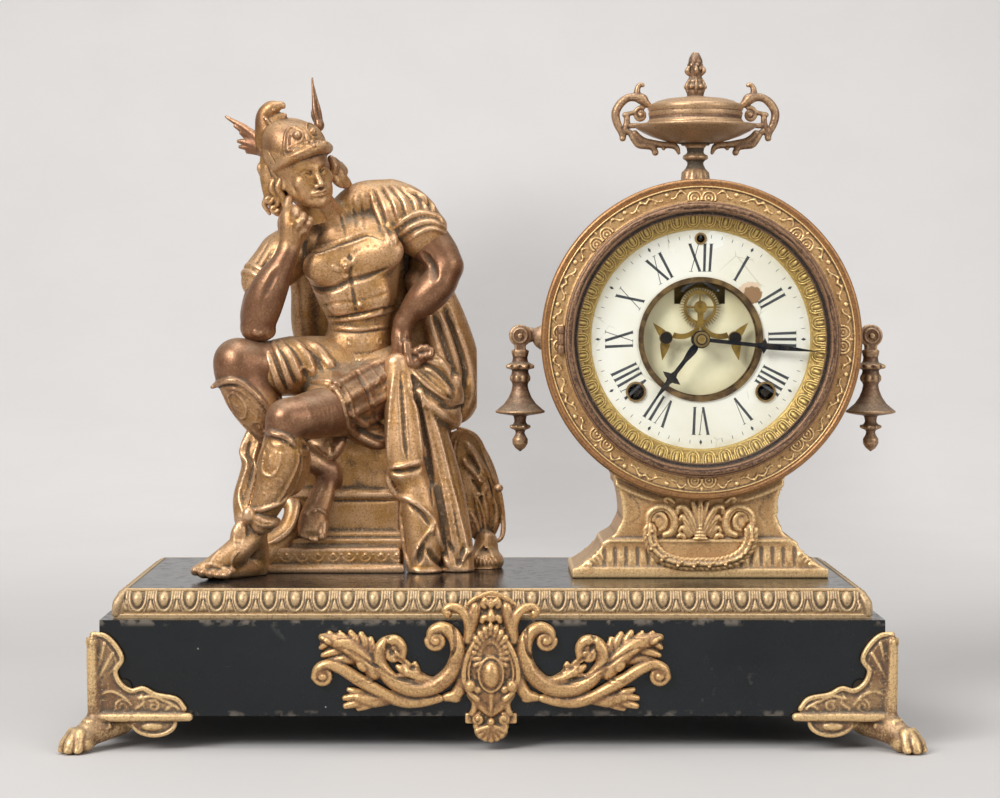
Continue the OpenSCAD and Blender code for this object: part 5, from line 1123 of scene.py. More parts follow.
def sculpt_seat():
    c = Clay((-124, -9, 76), (-42, 58, 172), 0.7)
    c.slab((-122.5, -6, 77), (-45.5, 56, 81), 0.8)
    c.slab((-120.5, -4, 77), (-47.5, 54, 90), 1.5, 1.5)
    c.slab((-110, 0, 77), (-46, 52, 94.5), 1.2, 0.6)
    c.slab((-106, 4, 77), (-48, 50, 120), 1.0, 1.2)
    c.slab((-104, 6, 77), (-50, 48, 167), 1.5)
    for y, way in ((5.5, 1),):
        c.limb([(-106, y, 117, 2.6), (-77, y, 117, 2.6), (-48.5, y, 117, 2.6)], 0.8)
        c.limb([(-107, y - 1.5, 96, 2.0), (-77, y - 1.5, 96, 2.0), (-48, y - 1.5, 96, 2.0)], 1.0)
    c.limb([(-48.5, 5.5, 117, 2.6), (-48.5, 28, 117, 2.6), (-48.5, 50, 117, 2.6)], 0.8)
    c.limb([(-105.5, 50, 117, 2.6), (-77, 50, 117, 2.6), (-48.5, 50, 117, 2.6)], 0.8)
    c.groove([(430, 1281), (520, 1281), (628, 1281)], 0.8, 0.9, 0.3)
    c.groove([(224, 1470), (430, 1470), (655, 1470)], 0.6, 0.9, 0.3)
    c.ridge([(300, 1412), (430, 1413), (640, 1410)], 0.9, 0.6, 0.4)
    # Band of linked arcs round the plinth
    for k in range(9):
        u = 262 + 46 * k
        arc = [(u - 20, 1440), (u - 12, 1452), (u, 1457), (u + 12, 1452), (u + 20, 1440)]
        c.ridge(arc, 0.55, 0.8, 0.2)
        c.ridge([(u - 10, 1438), (u, 1446), (u + 10, 1438)], 0.5, 0.8, 0.2)
        c.bead([(u, 1436)], 0.8, 0.6, 0.2)
        c.bead([(u + 23, 1436)], 0.6, 0.6, 0.2)
    rng = np.random.default_rng(4)
    waves = rng.normal(size=(10, 3)) * 0.32
    phases = rng.uniform(0, 6.28, 10)
    c.shape_by(
        (-124, -9, 119),
        (-42, 58, 172),
        lambda x, y, z: sum(0.11 * np.sin(w[0] * x + w[1] * y + w[2] * z + p) for w, p in zip(waves, phases)),
    )
    mesh = from_clay("figure_seat", c)
    tone_of(mesh, lambda x, y, z: 0 * x)
    return mesh


def sculpt_shield():
    c = Clay((-32, -2, 76), (12, 58, 156), 0.65)
    mid = at(848, 1235, 34)
    lean = (-6, -14, 22)
    c.egg(mid, (15.5, 3.4, 31), lean, 1)
    c.egg(mid + (0, 3, 0), (14, 7.5, 28), lean, 2)
    rim = [(790, 1066), (768, 1110), (772, 1180), (790, 1260), (812, 1330), (842, 1396)]
    c.ridge(rim, 1.3, 0.8, 0.5)
    c.ridge([(u + 30, v + 8) for u, v in rim], 0.9, 0.7, 0.4)
    c.bead([(796, 1164), (808, 1230), (831, 1286), (850, 1340), (800, 1110)], 0.9, 0.7, 0.2)
    c.ridge([(800, 1066), (840, 1080), (872, 1112), (900, 1190), (926, 1250), (938, 1330), (934, 1386), (900, 1408)], 1.4, 0.7, 0.6)
    for line, r in (
        ([(826, 1110), (850, 1140), (880, 1190), (900, 1230)], 2.2),
        ([(820, 1160), (836, 1180), (860, 1196)], 2.0),
        ([(850, 1130), (872, 1180), (890, 1240), (896, 1300)], 1.8),
        ([(846, 1190), (870, 1214), (884, 1240), (876, 1262)], 2.4),
        ([(870, 1240), (884, 1290), (890, 1350)], 1.8),
        ([(850, 1250), (868, 1300), (880, 1360), (880, 1390)], 2.0),
        ([(836, 1300), (856, 1340), (868, 1380)], 1.6),
        ([(900, 1260), (916, 1310), (912, 1370)], 1.6),
    ):
        c.ridge(line, r, 0.5, r * 0.6)
    for line in (
        [(832, 1140), (858, 1176), (880, 1222)],
        [(846, 1216), (868, 1244), (876, 1290)],
        [(862, 1276), (874, 1320), (884, 1376)],
        [(892, 1200), (908, 1260), (914, 1320)],
    ):
        c.groove(line, 0.9, 0.9, 0.4)
    c.ridge(scroll_line(872, 1222, 0, 1.2, 14, 4), 0.9, 0.7, 0.3)
    c.bead([(872, 1222), (868, 1262)], 1.3, 0.6, 0.3)
    c.egg(at(925, 1243, 30), (2.6, 2.6, 2.2), soft=0.8)
    # Shell foot on the plate
    c.egg(at(884, 1452, 22), (10.5, 11, 6.6), (0, 4, 0), 1.5)
    c.egg(at(880, 1480, 22), (10, 12, 3.4), soft=1.5)
    c.limb(way_of((890, 1400, 30, 6), (884, 1450, 26, 8)), 2)
    for k in range(6):
        u = 846 + 15 * k
        c.groove([(880, 1412), (u * 0.6 + 880 * 0.4, 1440), (u, 1478)], 0.8, 0.85, 0.4)
    c.below(PLATE_TOP)
    mesh = from_clay("figure_shield", c)
    tone_of(mesh, lambda x, y, z: 0.12 + 0 * x)
    return mesh


HEAD_AT = np.array([-97.0, 2.0, 285.0])
HEAD_TURN = (0, -14, 27)


def sculpt_head():
    """The face is a calm one of plain proportions on a head 35 high: eyes at half height, nose and mouth below by thirds."""
    c = Clay((-27, -22, -27), (27, 28, 46), 0.42)
    turn = turned_by(HEAD_TURN)

    def local(u, v, depth):
        return turn.T @ (seen(u, v, depth) - HEAD_AT)

    c.egg((0, 1.5, 4), (12.4, 15.2, 13.6))
    c.limb([(0, -3.2, 3, 10.6), (0, -4.4, -4, 9.0), (0, -4.8, -10, 6.8)], 2.5)
    c.limb([(0, 3, -6, 9), (1, 4, -16, 8), (2, 6, -25, 8.4)], 3)
    for s in (-1, 1):
        c.limb([(s * 9.4, 1, -4, 3.6), (s * 8, -3, -10, 3.4), (s * 4.2, -8.2, -14.2, 3.0), (0, -10.2, -15.2, 3.0)], 3)
        c.egg((s * 6.9, -8.4, -3.6), (4.0, 3.0, 3.4), soft=2.5)
        c.egg((s * 5.6, -8.2, -9), (3.6, 3.2, 3.6), soft=3)
    c.egg((0, -11.2, -14.8), (3.4, 2.6, 2.5), soft=2)
    c.egg((0, -10.6, 7), (8.4, 3.4, 4.6), soft=3)
    for s in (-1, 1):
        c.egg((s * 4.8, -14.6, 0.5), (3.3, 3.0, 1.9), soft=1.6, carve=True)
        c.limb([(s * 8.8, -8.6, 2.6, 1.2), (s * 5.2, -12.0, 3.8, 1.5), (s * 1.6, -12.9, 3.0, 1.3)], 1.6)
        c.egg((s * 4.8, -10.5, 0), (2.6, 2.3, 1.9), soft=0.5)
        c.limb([(s * 7.6, -9.9, -0.2, 0.5), (s * 6.2, -12.2, 1.2, 0.6), (s * 4.6, -12.9, 1.5, 0.6), (s * 2.4, -12.1, 0.1, 0.45)], 0.35)
        c.limb([(s * 7.4, -10.0, -0.5, 0.4), (s * 5.2, -12.2, -1.6, 0.45), (s * 2.6, -12.0, -0.5, 0.4)], 0.35)
        c.egg((s * 4.7, -13.0, 0.0), (0.8, 0.5, 0.8), soft=0.2, carve=True)
    c.limb([(0, -12.4, 3.0, 1.7), (0, -14.1, -1.0, 1.5), (0, -15.7, -4.6, 1.6), (0, -16.4, -6.2, 1.7)], 1.6)
    for s in (-1, 1):
        c.egg((s * 1.9, -14.6, -6.9), (1.4, 1.7, 1.2), soft=0.8)
        c.egg((s * 1.0, -15.2, -8.1), (0.6, 0.9, 0.5), soft=0.3, carve=True)
    c.egg((0, -11.6, -10.6), (4.6, 2.6, 2.6), soft=2)
    c.limb([(-4.0, -12.6, -10.5, 0.55), (-1.5, -14.3, -9.9, 0.9), (0, -14.4, -10.2, 0.85), (1.5, -14.3, -9.9, 0.9), (4.0, -12.6, -10.5, 0.55)], 0.7)
    c.limb([(-3.4, -12.8, -11.2, 0.6), (0, -14.1, -11.9, 1.1), (3.4, -12.8, -11.2, 0.6)], 0.7)
    c.limb([(-4.3, -13.2, -10.8, 0.3), (0, -15.5, -10.9, 0.4), (4.3, -13.2, -10.8, 0.3)], 0.2, carve=True)
    c.egg((0, -14.9, -13.2), (2.6, 1.0, 0.6), soft=1.2, carve=True)
    # Helmet: cap, rolled brow edge and the beast's face above it
    c.egg((-0.6, 3.6, 12.2), (15.4, 17.8, 16.8), soft=1)
    c.egg((-5, 5, 14), (12.5, 14, 16.5), (0, -16, 0), 3)
    c.egg((0, 14, -1), (10, 6, 14), soft=3)
    brow = [(-14.8, 2, 7.2, 2.2), (-12.8, -7, 9.4, 2.6), (-7, -13.4, 11.2, 2.9), (0, -15.8, 12.0, 3.1), (7, -13.4, 11.6, 2.9), (12.6, -7, 10.6, 2.6), (14.8, 2, 9.0, 2.2)]
    c.limb(brow, 1.6)
    for k in range(17):
        a = math.radians(-82 + 164 * k / 16)
        c.egg((14.6 * math.sin(a), 1.0 - 17.8 * math.cos(a), 9.9 - 1.4 * abs(math.sin(a))), (0.6, 0.8, 0.9), soft=0.4)
    front = np.array([0.0, 1.0, 0.0])
    for s in (-1, 1):
        c.bead([(s * 4.6, 0, 21.0)], 2.3, 0.6, 0.5, way=front)
        c.ridge([(s * 12.8, 0, 12.0), (s * 11.6, 0, 17.6), (s * 8.6, 0, 23.4), (s * 4.6, 0, 25.4), (s * 1.6, 0, 22.4), (s * 3.0, 0, 18.2), (s * 6.6, 0, 16.8)], 0.8, 0.7, 0.3, way=front)
        c.groove([(s * 10.2, 0, 14.6), (s * 8.8, 0, 19.6), (s * 7.0, 0, 22.2)], 0.5, 0.8, 0.3, way=front)
        c.ridge([(s * 2.0, 0, 14.4), (s * 5.4, 0, 15.0), (s * 9.4, 0, 13.6), (s * 10.8, 0, 15.0), (s * 9.0, 0, 16.4)], 0.9, 0.6, 0.4, way=front)
    c.bead([(-1.6, 0, 15.8), (1.6, 0, 15.8), (0, 0, 14.0)], 1.1, 0.6, 0.4, way=front)
    c.ridge([(0, 0, 16.4), (0, 0, 19.0), (0, 0, 24.0)], 1.1, 0.5, 0.8, way=front)
    for k in range(8):
        x = -9 + 2.4 * k
        c.groove([(x, 0, 25.5 - 0.05 * x * x), (x * 0.92, 6, 27), (x * 0.85, 12, 28)], 0.45, 0.8, 0.3, way=(0, 0.5, -1))
    for k in range(5):
        for s in (-1, 1):
            y = -2 + 4.4 * k
            c.groove([(s * 20, y, 8), (s * 20, y + 1.5, 13), (s * 20, y + 4, 18)], 0.7, 0.7, 0.5, way=(-s, 0, 0))
    # Crest: a beast's head with open jaws, and its mane along the helmet
    def strand(rows, soft=0.4):
        c.limb([np.append(local(u, v, depth), r) for u, v, depth, r in rows], soft)

    strand(((262, 236, 9, 8.0), (254, 202, 8, 6.6), (248, 166, 7, 5.0), (262, 144, 6, 4.4), (280, 135, 5, 2.9), (296, 131, 4.6, 1.8), (301, 137, 4.4, 1.0)), 1.2)
    strand(((272, 190, 8, 6.4), (282, 176, 7, 4.4), (296, 166, 6, 2.4), (304, 160, 5.4, 1.2)), 1.0)
    strand(((300, 190, 8, 4.0), (330, 186, 8, 3.2), (364, 194, 9, 2.6), (392, 212, 10, 1.8)), 1.6)
    c.egg(local(272, 146, 2.2), (1.0, 0.8, 0.8), soft=0.2)
    c.limb([np.append(local(u, v, depth), 0.7) for u, v, depth in ((300, 150, 3), (284, 152, 1.5), (274, 160, 1.5))], 0.4, carve=True)
    for k in range(5):
        strand(((240 + 2 * k, 166 + 11 * k, 3.4, 0.5), (250 + 5 * k, 172 + 11 * k, 1.6, 0.8), (262 + 8 * k, 184 + 9 * k, 1.0, 0.4)), 0.3)
    # Waves of hair below the helmet on both sides
    strand(((262, 286, 9, 5.4), (262, 330, 8, 5.6), (266, 372, 8, 5.0), (280, 414, 8, 4.6), (286, 436, 8, 3.4)), 1.5)
    strand(((444, 300, 12, 3.4), (462, 332, 13, 3.8), (478, 358, 15, 2.8)), 1.5)
    for k in range(7):
        u, deep, low = 240 + 9.5 * k, 8 - 1.5 * k, 446 - 13 * k
        turn_in = 5 if k % 2 else -5
        rows = [(u + 10, 288, deep, 1.9), (u - 2 + turn_in, 314, deep - 0.8, 2.3), (u + 7, 342, deep, 2.2), (u + 3 - turn_in, 370, deep - 0.6, 2.2)]
        if low > 380:
            rows += [(u + 12, 398, deep, 2.1), (u + 10 + turn_in, 420, deep + 0.4, 1.8)]
        if low > 425:
            rows += [(u + 20, low, deep + 1, 1.2)]
        strand([(u, v, depth, 0.8 * r) for u, v, depth, r in rows], 0.6)
    for k, (u, v) in enumerate(((258, 404), (274, 432))):
        spin = np.linspace(0.4 * k, 0.4 * k + 1.5 * math.pi, 9)
        strand([(u + 12 * math.cos(q) * (1 - 0.09 * j), v + 12 * math.sin(q) * (1 - 0.09 * j), 3.0, 1.2) for j, q in enumerate(spin)], 0.4)
    for k in range(4):
        u, deep = 446 + 9 * k, 8 + 3 * k
        strand(((u - 8, 286 + 6 * k, deep, 1.8), (u + 2, 310 + 4 * k, deep, 2.4), (u - 2, 332 + 2 * k, deep + 2, 2.3), (u + 10, 352, deep + 3, 2.2), (u + 22, 366, deep + 4, 1.2)), 0.6)
    for k in range(9):
        x = -8 + 2 * k
        c.ridge([(x * 1.15, 30, 2), (x * 1.3 + math.sin(k) * 1.5, 30, -6), (x * 1.1, 30, -14)], 1.3, 0.6, 0.6, way=(0, -1, 0))
    points, quads = c.mesh()
    a, b, d = points[quads[:, 0]], points[quads[:, 1]], points[quads[:, 2]]
    e = points[quads[:, 3]]
    volume = np.einsum("ij,ij->i", a, np.cross(b, d)).sum() + np.einsum("ij,ij->i", a, np.cross(d, e)).sum()
    if volume < 0:
        quads = quads[:, ::-1]
    print("figure_head", len(quads) * 2, "triangles")
    mesh = quad_mesh("figure_head", points @ turn.T + HEAD_AT, quads)
    tone_of(mesh, lambda x, y, z: np.where(z > HEAD_AT[2] + 6 - 0.3 * (x - HEAD_AT[0]), 0.5, 0.12))
    return mesh


def sculpt_wings():
    """Two feathered wings on the helmet."""
    c = Clay((-144, -4, 290), (-84, 26, 342), 0.42)
    feathers = (
        [(246, 250, 8, 2.6), (220, 222, 10, 2.2), (184, 194, 12, 1.7), (152, 176, 14, 1.2), (134, 165, 15, 0.8)],
        [(244, 254, 8, 2.4), (218, 232, 10, 2.0), (186, 208, 12, 1.6), (160, 192, 13, 1.0)],
        [(242, 258, 8, 2.4), (214, 240, 10, 2.0), (190, 222, 12, 1.4), (176, 212, 12, 0.9)],
        [(240, 262, 8, 2.3), (212, 248, 10, 2.0), (186, 238, 11, 1.6), (170, 236, 12, 1.1)],
        [(240, 266, 8, 2.2), (214, 258, 10, 1.9), (190, 254, 11, 1.5), (174, 252, 12, 1.0)],
        [(240, 270, 8, 2.0), (216, 266, 10, 1.7), (196, 266, 11, 1.2)],
    )
    for rows in feathers:
        c.limb(way_of(*rows), 0.5, flat=((0, 1, 0), 0.6))
    c.egg(at(242, 262, 7), (3.6, 3.0, 3.8), soft=1)
    for rows in (
        [(404, 190, 10, 2.0), (392, 150, 11, 2.3), (388, 110, 12, 1.6), (384, 54, 13, 0.8)],
        [(410, 186, 12, 2.0), (404, 150, 14, 2.0), (396, 116, 16, 1.4), (388, 76, 17, 0.7)],
        [(398, 184, 12, 1.8), (386, 160, 15, 1.8), (388, 136, 18, 1.2), (386, 106, 19, 0.7)],
    ):
        c.limb(way_of(*rows), 0.4, flat=((1, 0, 0), 0.6))
    c.egg(at(404, 190, 11), (2.8, 3.2, 3.2), soft=1)
    mesh = from_clay("figure_wings", c)
    tone_of(mesh, lambda x, y, z: 0.8 + 0 * x)
    return mesh


def add_figure(material):
    for name, build in (
        ("torso", sculpt_torso), ("skirt", sculpt_skirt), ("cloak", sculpt_cloak), ("seat", sculpt_seat), ("shield", sculpt_shield),
        ("head", sculpt_head),
    ):
        link("figure_" + name + "_cast", build(), material, nodes=["figure_" + name], slot="gilt")
    link("figure_helmet_wings", sculpt_wings(), material, slot="gilt")
    for names, build in ((("right_arm", "left_arm"), sculpt_arms), (("right_leg", "left_leg"), sculpt_legs)):
        for name, mesh in zip(names, build()):
            link("figure_" + name + "_cast", mesh, material, nodes=["figure_" + name], slot="bronzed")


# Geometry Nodes for what repeats


def new_tree(name, inputs):
    """A node tree that makes geometry, with named inputs."""
    tree = bpy.data.node_groups.new(name, "GeometryNodeTree")
    tree.interface.new_socket("Geometry", in_out="OUTPUT", socket_type="NodeSocketGeometry")
    for label, kind in inputs:
        tree.interface.new_socket(label, in_out="INPUT", socket_type=kind)
    return tree


class Steps:
    """Adds nodes to a geometry tree, links given as sockets."""

    def __init__(self, tree):
        self.tree = tree
        self.start = tree.nodes.new("NodeGroupInput")
        self.end = tree.nodes.new("NodeGroupOutput")

    def given(self, label):
        return self.start.outputs[label]

    def add(self, kind, settings, values, output=0):
        made = self.tree.nodes.new(kind)
        for key, value in settings.items():
            setattr(made, key, value)
        for key, value in values.items():
            socket = made.inputs[key]
            if isinstance(value, bpy.types.NodeSocket):
                self.tree.links.new(value, socket)
            else:
                socket.default_value = value
        return made.outputs[output]

    def join(self, parts):
        made = self.tree.nodes.new("GeometryNodeJoinGeometry")
        for part in parts:
            self.tree.links.new(part, made.inputs[0])
        return made.outputs[0]

    def finish(self, geometry):
        """Every tree ends in real geometry with its material."""
        real = self.add("GeometryNodeRealizeInstances", {}, {"Geometry": geometry})
        closed = self.add("GeometryNodeMergeByDistance", {}, {"Geometry": real, "Distance": 0.00002})
        dressed = self.add("GeometryNodeSetMaterial", {}, {"Geometry": closed, "Material": self.given("Material")})
        self.tree.links.new(dressed, self.end.inputs[0])


def round_box_tree():
    """Sets a motif that faces the viewer along the four sides of a rectangle."""
    tree = new_tree(
        "motif_round_box",
        [
            ("Motif", "NodeSocketObject"),
            ("Material", "NodeSocketMaterial"),
            ("Half Width", "NodeSocketFloat"),
            ("Half Depth", "NodeSocketFloat"),
            ("Pitch", "NodeSocketFloat"),
            ("Side Pitch", "NodeSocketFloat"),
            ("Front Count", "NodeSocketInt"),
            ("Side Count", "NodeSocketInt"),
        ],
    )
    s = Steps(tree)
    motif = s.add("GeometryNodeObjectInfo", {}, {"Object": s.given("Motif")}, "Geometry")
    sides = []
    for k in range(4):
        front = k % 2 == 0
        count = s.given("Front Count" if front else "Side Count")
        pitch = s.given("Pitch" if front else "Side Pitch")
        less = s.add("ShaderNodeMath", {"operation": "SUBTRACT"}, {0: count, 1: 1.0})
        run = s.add("ShaderNodeMath", {"operation": "MULTIPLY"}, {0: less, 1: pitch})
        first = s.add("ShaderNodeMath", {"operation": "MULTIPLY"}, {0: run, 1: -0.5})
        away = s.add("ShaderNodeMath", {"operation": "MULTIPLY"}, {0: s.given("Half Depth" if front else "Half Width"), 1: -1.0})
        start = s.add("ShaderNodeCombineXYZ", {}, {"X": first, "Y": away})
        step = s.add("ShaderNodeCombineXYZ", {}, {"X": pitch})
        line = s.add("GeometryNodeMeshLine", {"mode": "OFFSET"}, {"Count": count, "Start Location": start, "Offset": step})
        laid = s.add("GeometryNodeInstanceOnPoints", {}, {"Points": line, "Instance": motif})
        turned = s.add(
            "GeometryNodeTransform", {}, {"Geometry": laid, "Rotation": (0.0, 0.0, math.pi / 2 * k)}
        )
        sides.append(turned)
    s.finish(s.join(sides))
    return tree


def round_dial_tree():
    """Sets a motif that points to the top of a dial at equal steps round its centre."""
    tree = new_tree(
        "motif_round_dial",
        [
            ("Motif", "NodeSocketObject"),
            ("Material", "NodeSocketMaterial"),
            ("Centre", "NodeSocketVector"),
            ("Count", "NodeSocketInt"),
            ("Start", "NodeSocketFloat"),
        ],
    )
    s = Steps(tree)
    motif = s.add("GeometryNodeObjectInfo", {}, {"Object": s.given("Motif")}, "Geometry")
    points = s.add("GeometryNodeMeshLine", {"mode": "OFFSET"}, {"Count": s.given("Count"), "Offset": (0.0, 0.0, 0.0)})
    index = s.add("GeometryNodeInputIndex", {}, {})
    share = s.add("ShaderNodeMath", {"operation": "DIVIDE"}, {0: index, 1: s.given("Count")})
    full = s.add("ShaderNodeMath", {"operation": "MULTIPLY"}, {0: share, 1: 2 * math.pi})
    angle = s.add("ShaderNodeMath", {"operation": "ADD"}, {0: full, 1: s.given("Start")})
    turn = s.add("ShaderNodeCombineXYZ", {}, {"Y": angle})
    laid = s.add("GeometryNodeInstanceOnPoints", {}, {"Points": points, "Instance": motif, "Rotation": turn})
    placed = s.add("GeometryNodeTransform", {}, {"Geometry": laid, "Translation": s.given("Centre")})
    s.finish(placed)
    return tree


def grown(name, tree, material, motif_mesh, values, nodes=(), slot=None, body=BODY, smooth=True):
    """Runs a geometry tree on a motif and keeps the result as a plain mesh on that body."""
    scene = bpy.context.scene
    motif = bpy.data.objects.new(name + "_motif", motif_mesh)
    motif_mesh.polygons.foreach_set("use_smooth", [smooth] * len(motif_mesh.polygons))
    maker = bpy.data.objects.new(name + "_maker", bpy.data.meshes.new(name + "_maker"))
    for obj in (motif, maker):
        scene.collection.objects.link(obj)
    modifier = maker.modifiers.new("tree", "NODES")
    modifier.node_group = tree
    sockets = {item.name: item.identifier for item in tree.interface.items_tree if item.in_out == "INPUT"}
    for label, value in {"Motif": motif, "Material": material, **values}.items():
        modifier[sockets[label]] = value
    graph = bpy.context.evaluated_depsgraph_get()
    mesh = bpy.data.meshes.new_from_object(maker.evaluated_get(graph), depsgraph=graph)
    mesh.name = name
    for obj in (maker, motif):
        bpy.data.objects.remove(obj)
    mesh.materials.clear()
    print(name, len(mesh.polygons), "faces")
    return link(name, mesh, material, nodes, slot, body, smooth)


def grid_patch(name, point, across, up):
    """A mesh from point(s, t) for s and t from 0 to 1."""
    points = [point(i / across, j / up) for j in range(up + 1) for i in range(across + 1)]
    faces = [
        (j * (across + 1) + i, j * (across + 1) + i + 1, (j + 1) * (across + 1) + i + 1, (j + 1) * (across + 1) + i)
        for j in range(up)
        for i in range(across)
    ]
    return plain_mesh(name, points, faces)


# Base: moulding, front mount and feet

MOULD_HALF = (186.0, 79.5)
MOULD_RUN, MOULD_FILLET, MOULD_LIP, MOULD_H = 6.0, 2.0, 1.6, 14.0


def egg_and_dart(s, t):
    """Height of the carved band in millimetres; s runs along it and t up it, both in millimetres from the egg's middle."""
    half = 6.45
    egg = 1 - (s / 2.7) ** 2 - (t / 3.9) ** 2
    h = 2.0 * math.sqrt(egg) if egg > 0 else 0.0
    around = abs(s) if t > 0 else math.hypot(s, t * 0.74)
    h = max(h, 1.15 * math.exp(-(((around - 3.95) / 0.5) ** 2)), 0.75 * math.exp(-(((around - 5.05) / 0.33) ** 2)))
    side = half - abs(s)
    if t > -1.2:
        tongue = 0.75 * (1 - (side / 1.5) ** 4) if side < 1.5 else 0.0
        tongue += 0.28 * math.cos(side * 6.0) if side < 1.3 else 0.0
        h = max(h, tongue * min(1, (t + 1.2) / 0.6))
    else:
        width = 0.35 + (-1.2 - t) * 0.55
        if side < width:
            h = max(h, 1.2 * (1 - (side / width) ** 2) * min(1.0, (t + 5.4) / 0.6))
    return h


def band_point(s, t):
    """A place on the carved band: s along it in millimetres, t from 0 at the foot to 1 at the lip."""
    a = t * math.pi / 2
    rise = MOULD_H - MOULD_FILLET - MOULD_LIP
    run = MOULD_RUN - 1.5
    off, z = 1 + run * (1 - math.cos(a)), BOX_TOP + MOULD_FILLET + rise * math.sin(a)
    nx, nz = rise * math.cos(a), run * math.sin(a)
    length = math.hypot(nx, nz)
    h = -0.35 if t in (0, 1) else 0.12 + egg_and_dart(s, (t - 0.53) * 11.8) * min(1, 9 * t, 9 * (1 - t))
    return (s, off - h * nx / length, z + h * nz / length)


def moulding_body():
    rise = MOULD_H - MOULD_FILLET - MOULD_LIP
    rows = [(0, BOX_TOP), (0, BOX_TOP + 1.6), (0.35, BOX_TOP + 2.0), (1, BOX_TOP + 2.05)]
    rows += [
        (1 + (MOULD_RUN - 1.5) * (1 - math.cos(a)), BOX_TOP + MOULD_FILLET + rise * math.sin(a))
        for a in np.radians(np.arange(10, 91, 10))
    ]
    rows += [(5.2, 75.5), (4.9, 75.8), (4.9, 76.6), (5.3, 77.0), (7.45, 77.0), (7.5, 71), (15, 71), (15, BOX_TOP)]
    points, faces = [], []
    for off, z in rows:
        w, d = MOULD_HALF[0] - off, MOULD_HALF[1] - off
        points += [(-w, -d, z), (w, -d, z), (w, d, z), (-w, d, z)]
    n = len(rows)
    for k in range(n):
        nk = (k + 1) % n
        for j in range(4):
            i = (j + 1) % 4
            faces.append((k * 4 + j, k * 4 + i, nk * 4 + i, nk * 4 + j))
    return plain_mesh("moulding_strip", points, faces)


def mirrored(name, mesh, flip_x, flip_y):
    """A copy of a mesh mirrored through the middle of the clock, with its faces turned back outwards."""
    copy = mesh.copy()
    copy.name = name
    copy.transform(Matrix.Diagonal((-1 if flip_x else 1, -1 if flip_y else 1, 1, 1)))
    if flip_x != flip_y:
        copy.flip_normals()
    return copy


def corner_leaf():
    """Leaf on the moulding's corner, on the viewer's right at the front."""
    x, y = MOULD_HALF[0], -MOULD_HALF[1]
    c = Clay((x - 14, y - 4, 62), (x + 4, y + 14, 78), 0.42)
    c.limb([(x - 1.5, y + 1.5, 65, 2.1), (x - 2.2, y + 2.2, 70, 2.6), (x - 4.5, y + 4.5, 74, 2.2), (x - 6.4, y + 6.4, 75.6, 1.2)], 1)
    for sx, sy in ((-1, 0), (0, 1)):
        c.limb(
            [
                (x - 1.6 + 2.0 * sx, y + 1.6 + 2.0 * sy, 65.2, 1.4),
                (x - 2.4 + 3.4 * sx, y + 2.4 + 3.4 * sy, 70, 1.7),
                (x - 4.9 + 2.6 * sx, y + 4.9 + 2.6 * sy, 74, 1.3),
            ],
            0.6,
        )
    c.limb([(x - 0.2, y + 0.2, 65, 0.5), (x - 0.6, y + 0.6, 70, 0.6), (x - 3.2, y + 3.2, 74.6, 0.5)], 0.3)
    return from_clay("corner_leaf", c)


def mount_at(px, py, depth, radius=None):
    """A place on the front mount, counted in its own close view."""
    return at((300 + px / 4.02 - 180) * 2.904, (590 + py / 4.02 - 60) * 2.904, depth, radius)


def mount_way(*rows):
    return [mount_at(*row) for row in rows]


def spiral_rows(cx, cy, start, turns, r0, r1, depth, thick0, thick1, count=26):
    """Rows of a winding tube in the mount's view, from the outside inwards."""
    t = np.linspace(0, 1, count)
    a = math.radians(start) + 2 * math.pi * turns * t
    r = r0 + (r1 - r0) * t
    return [
        mount_at(cx + q * math.cos(w), cy - q * math.sin(w), depth - 1.6 * s, thick0 + (thick1 - thick0) * s)
        for q, w, s in zip(r, a, t)
    ]


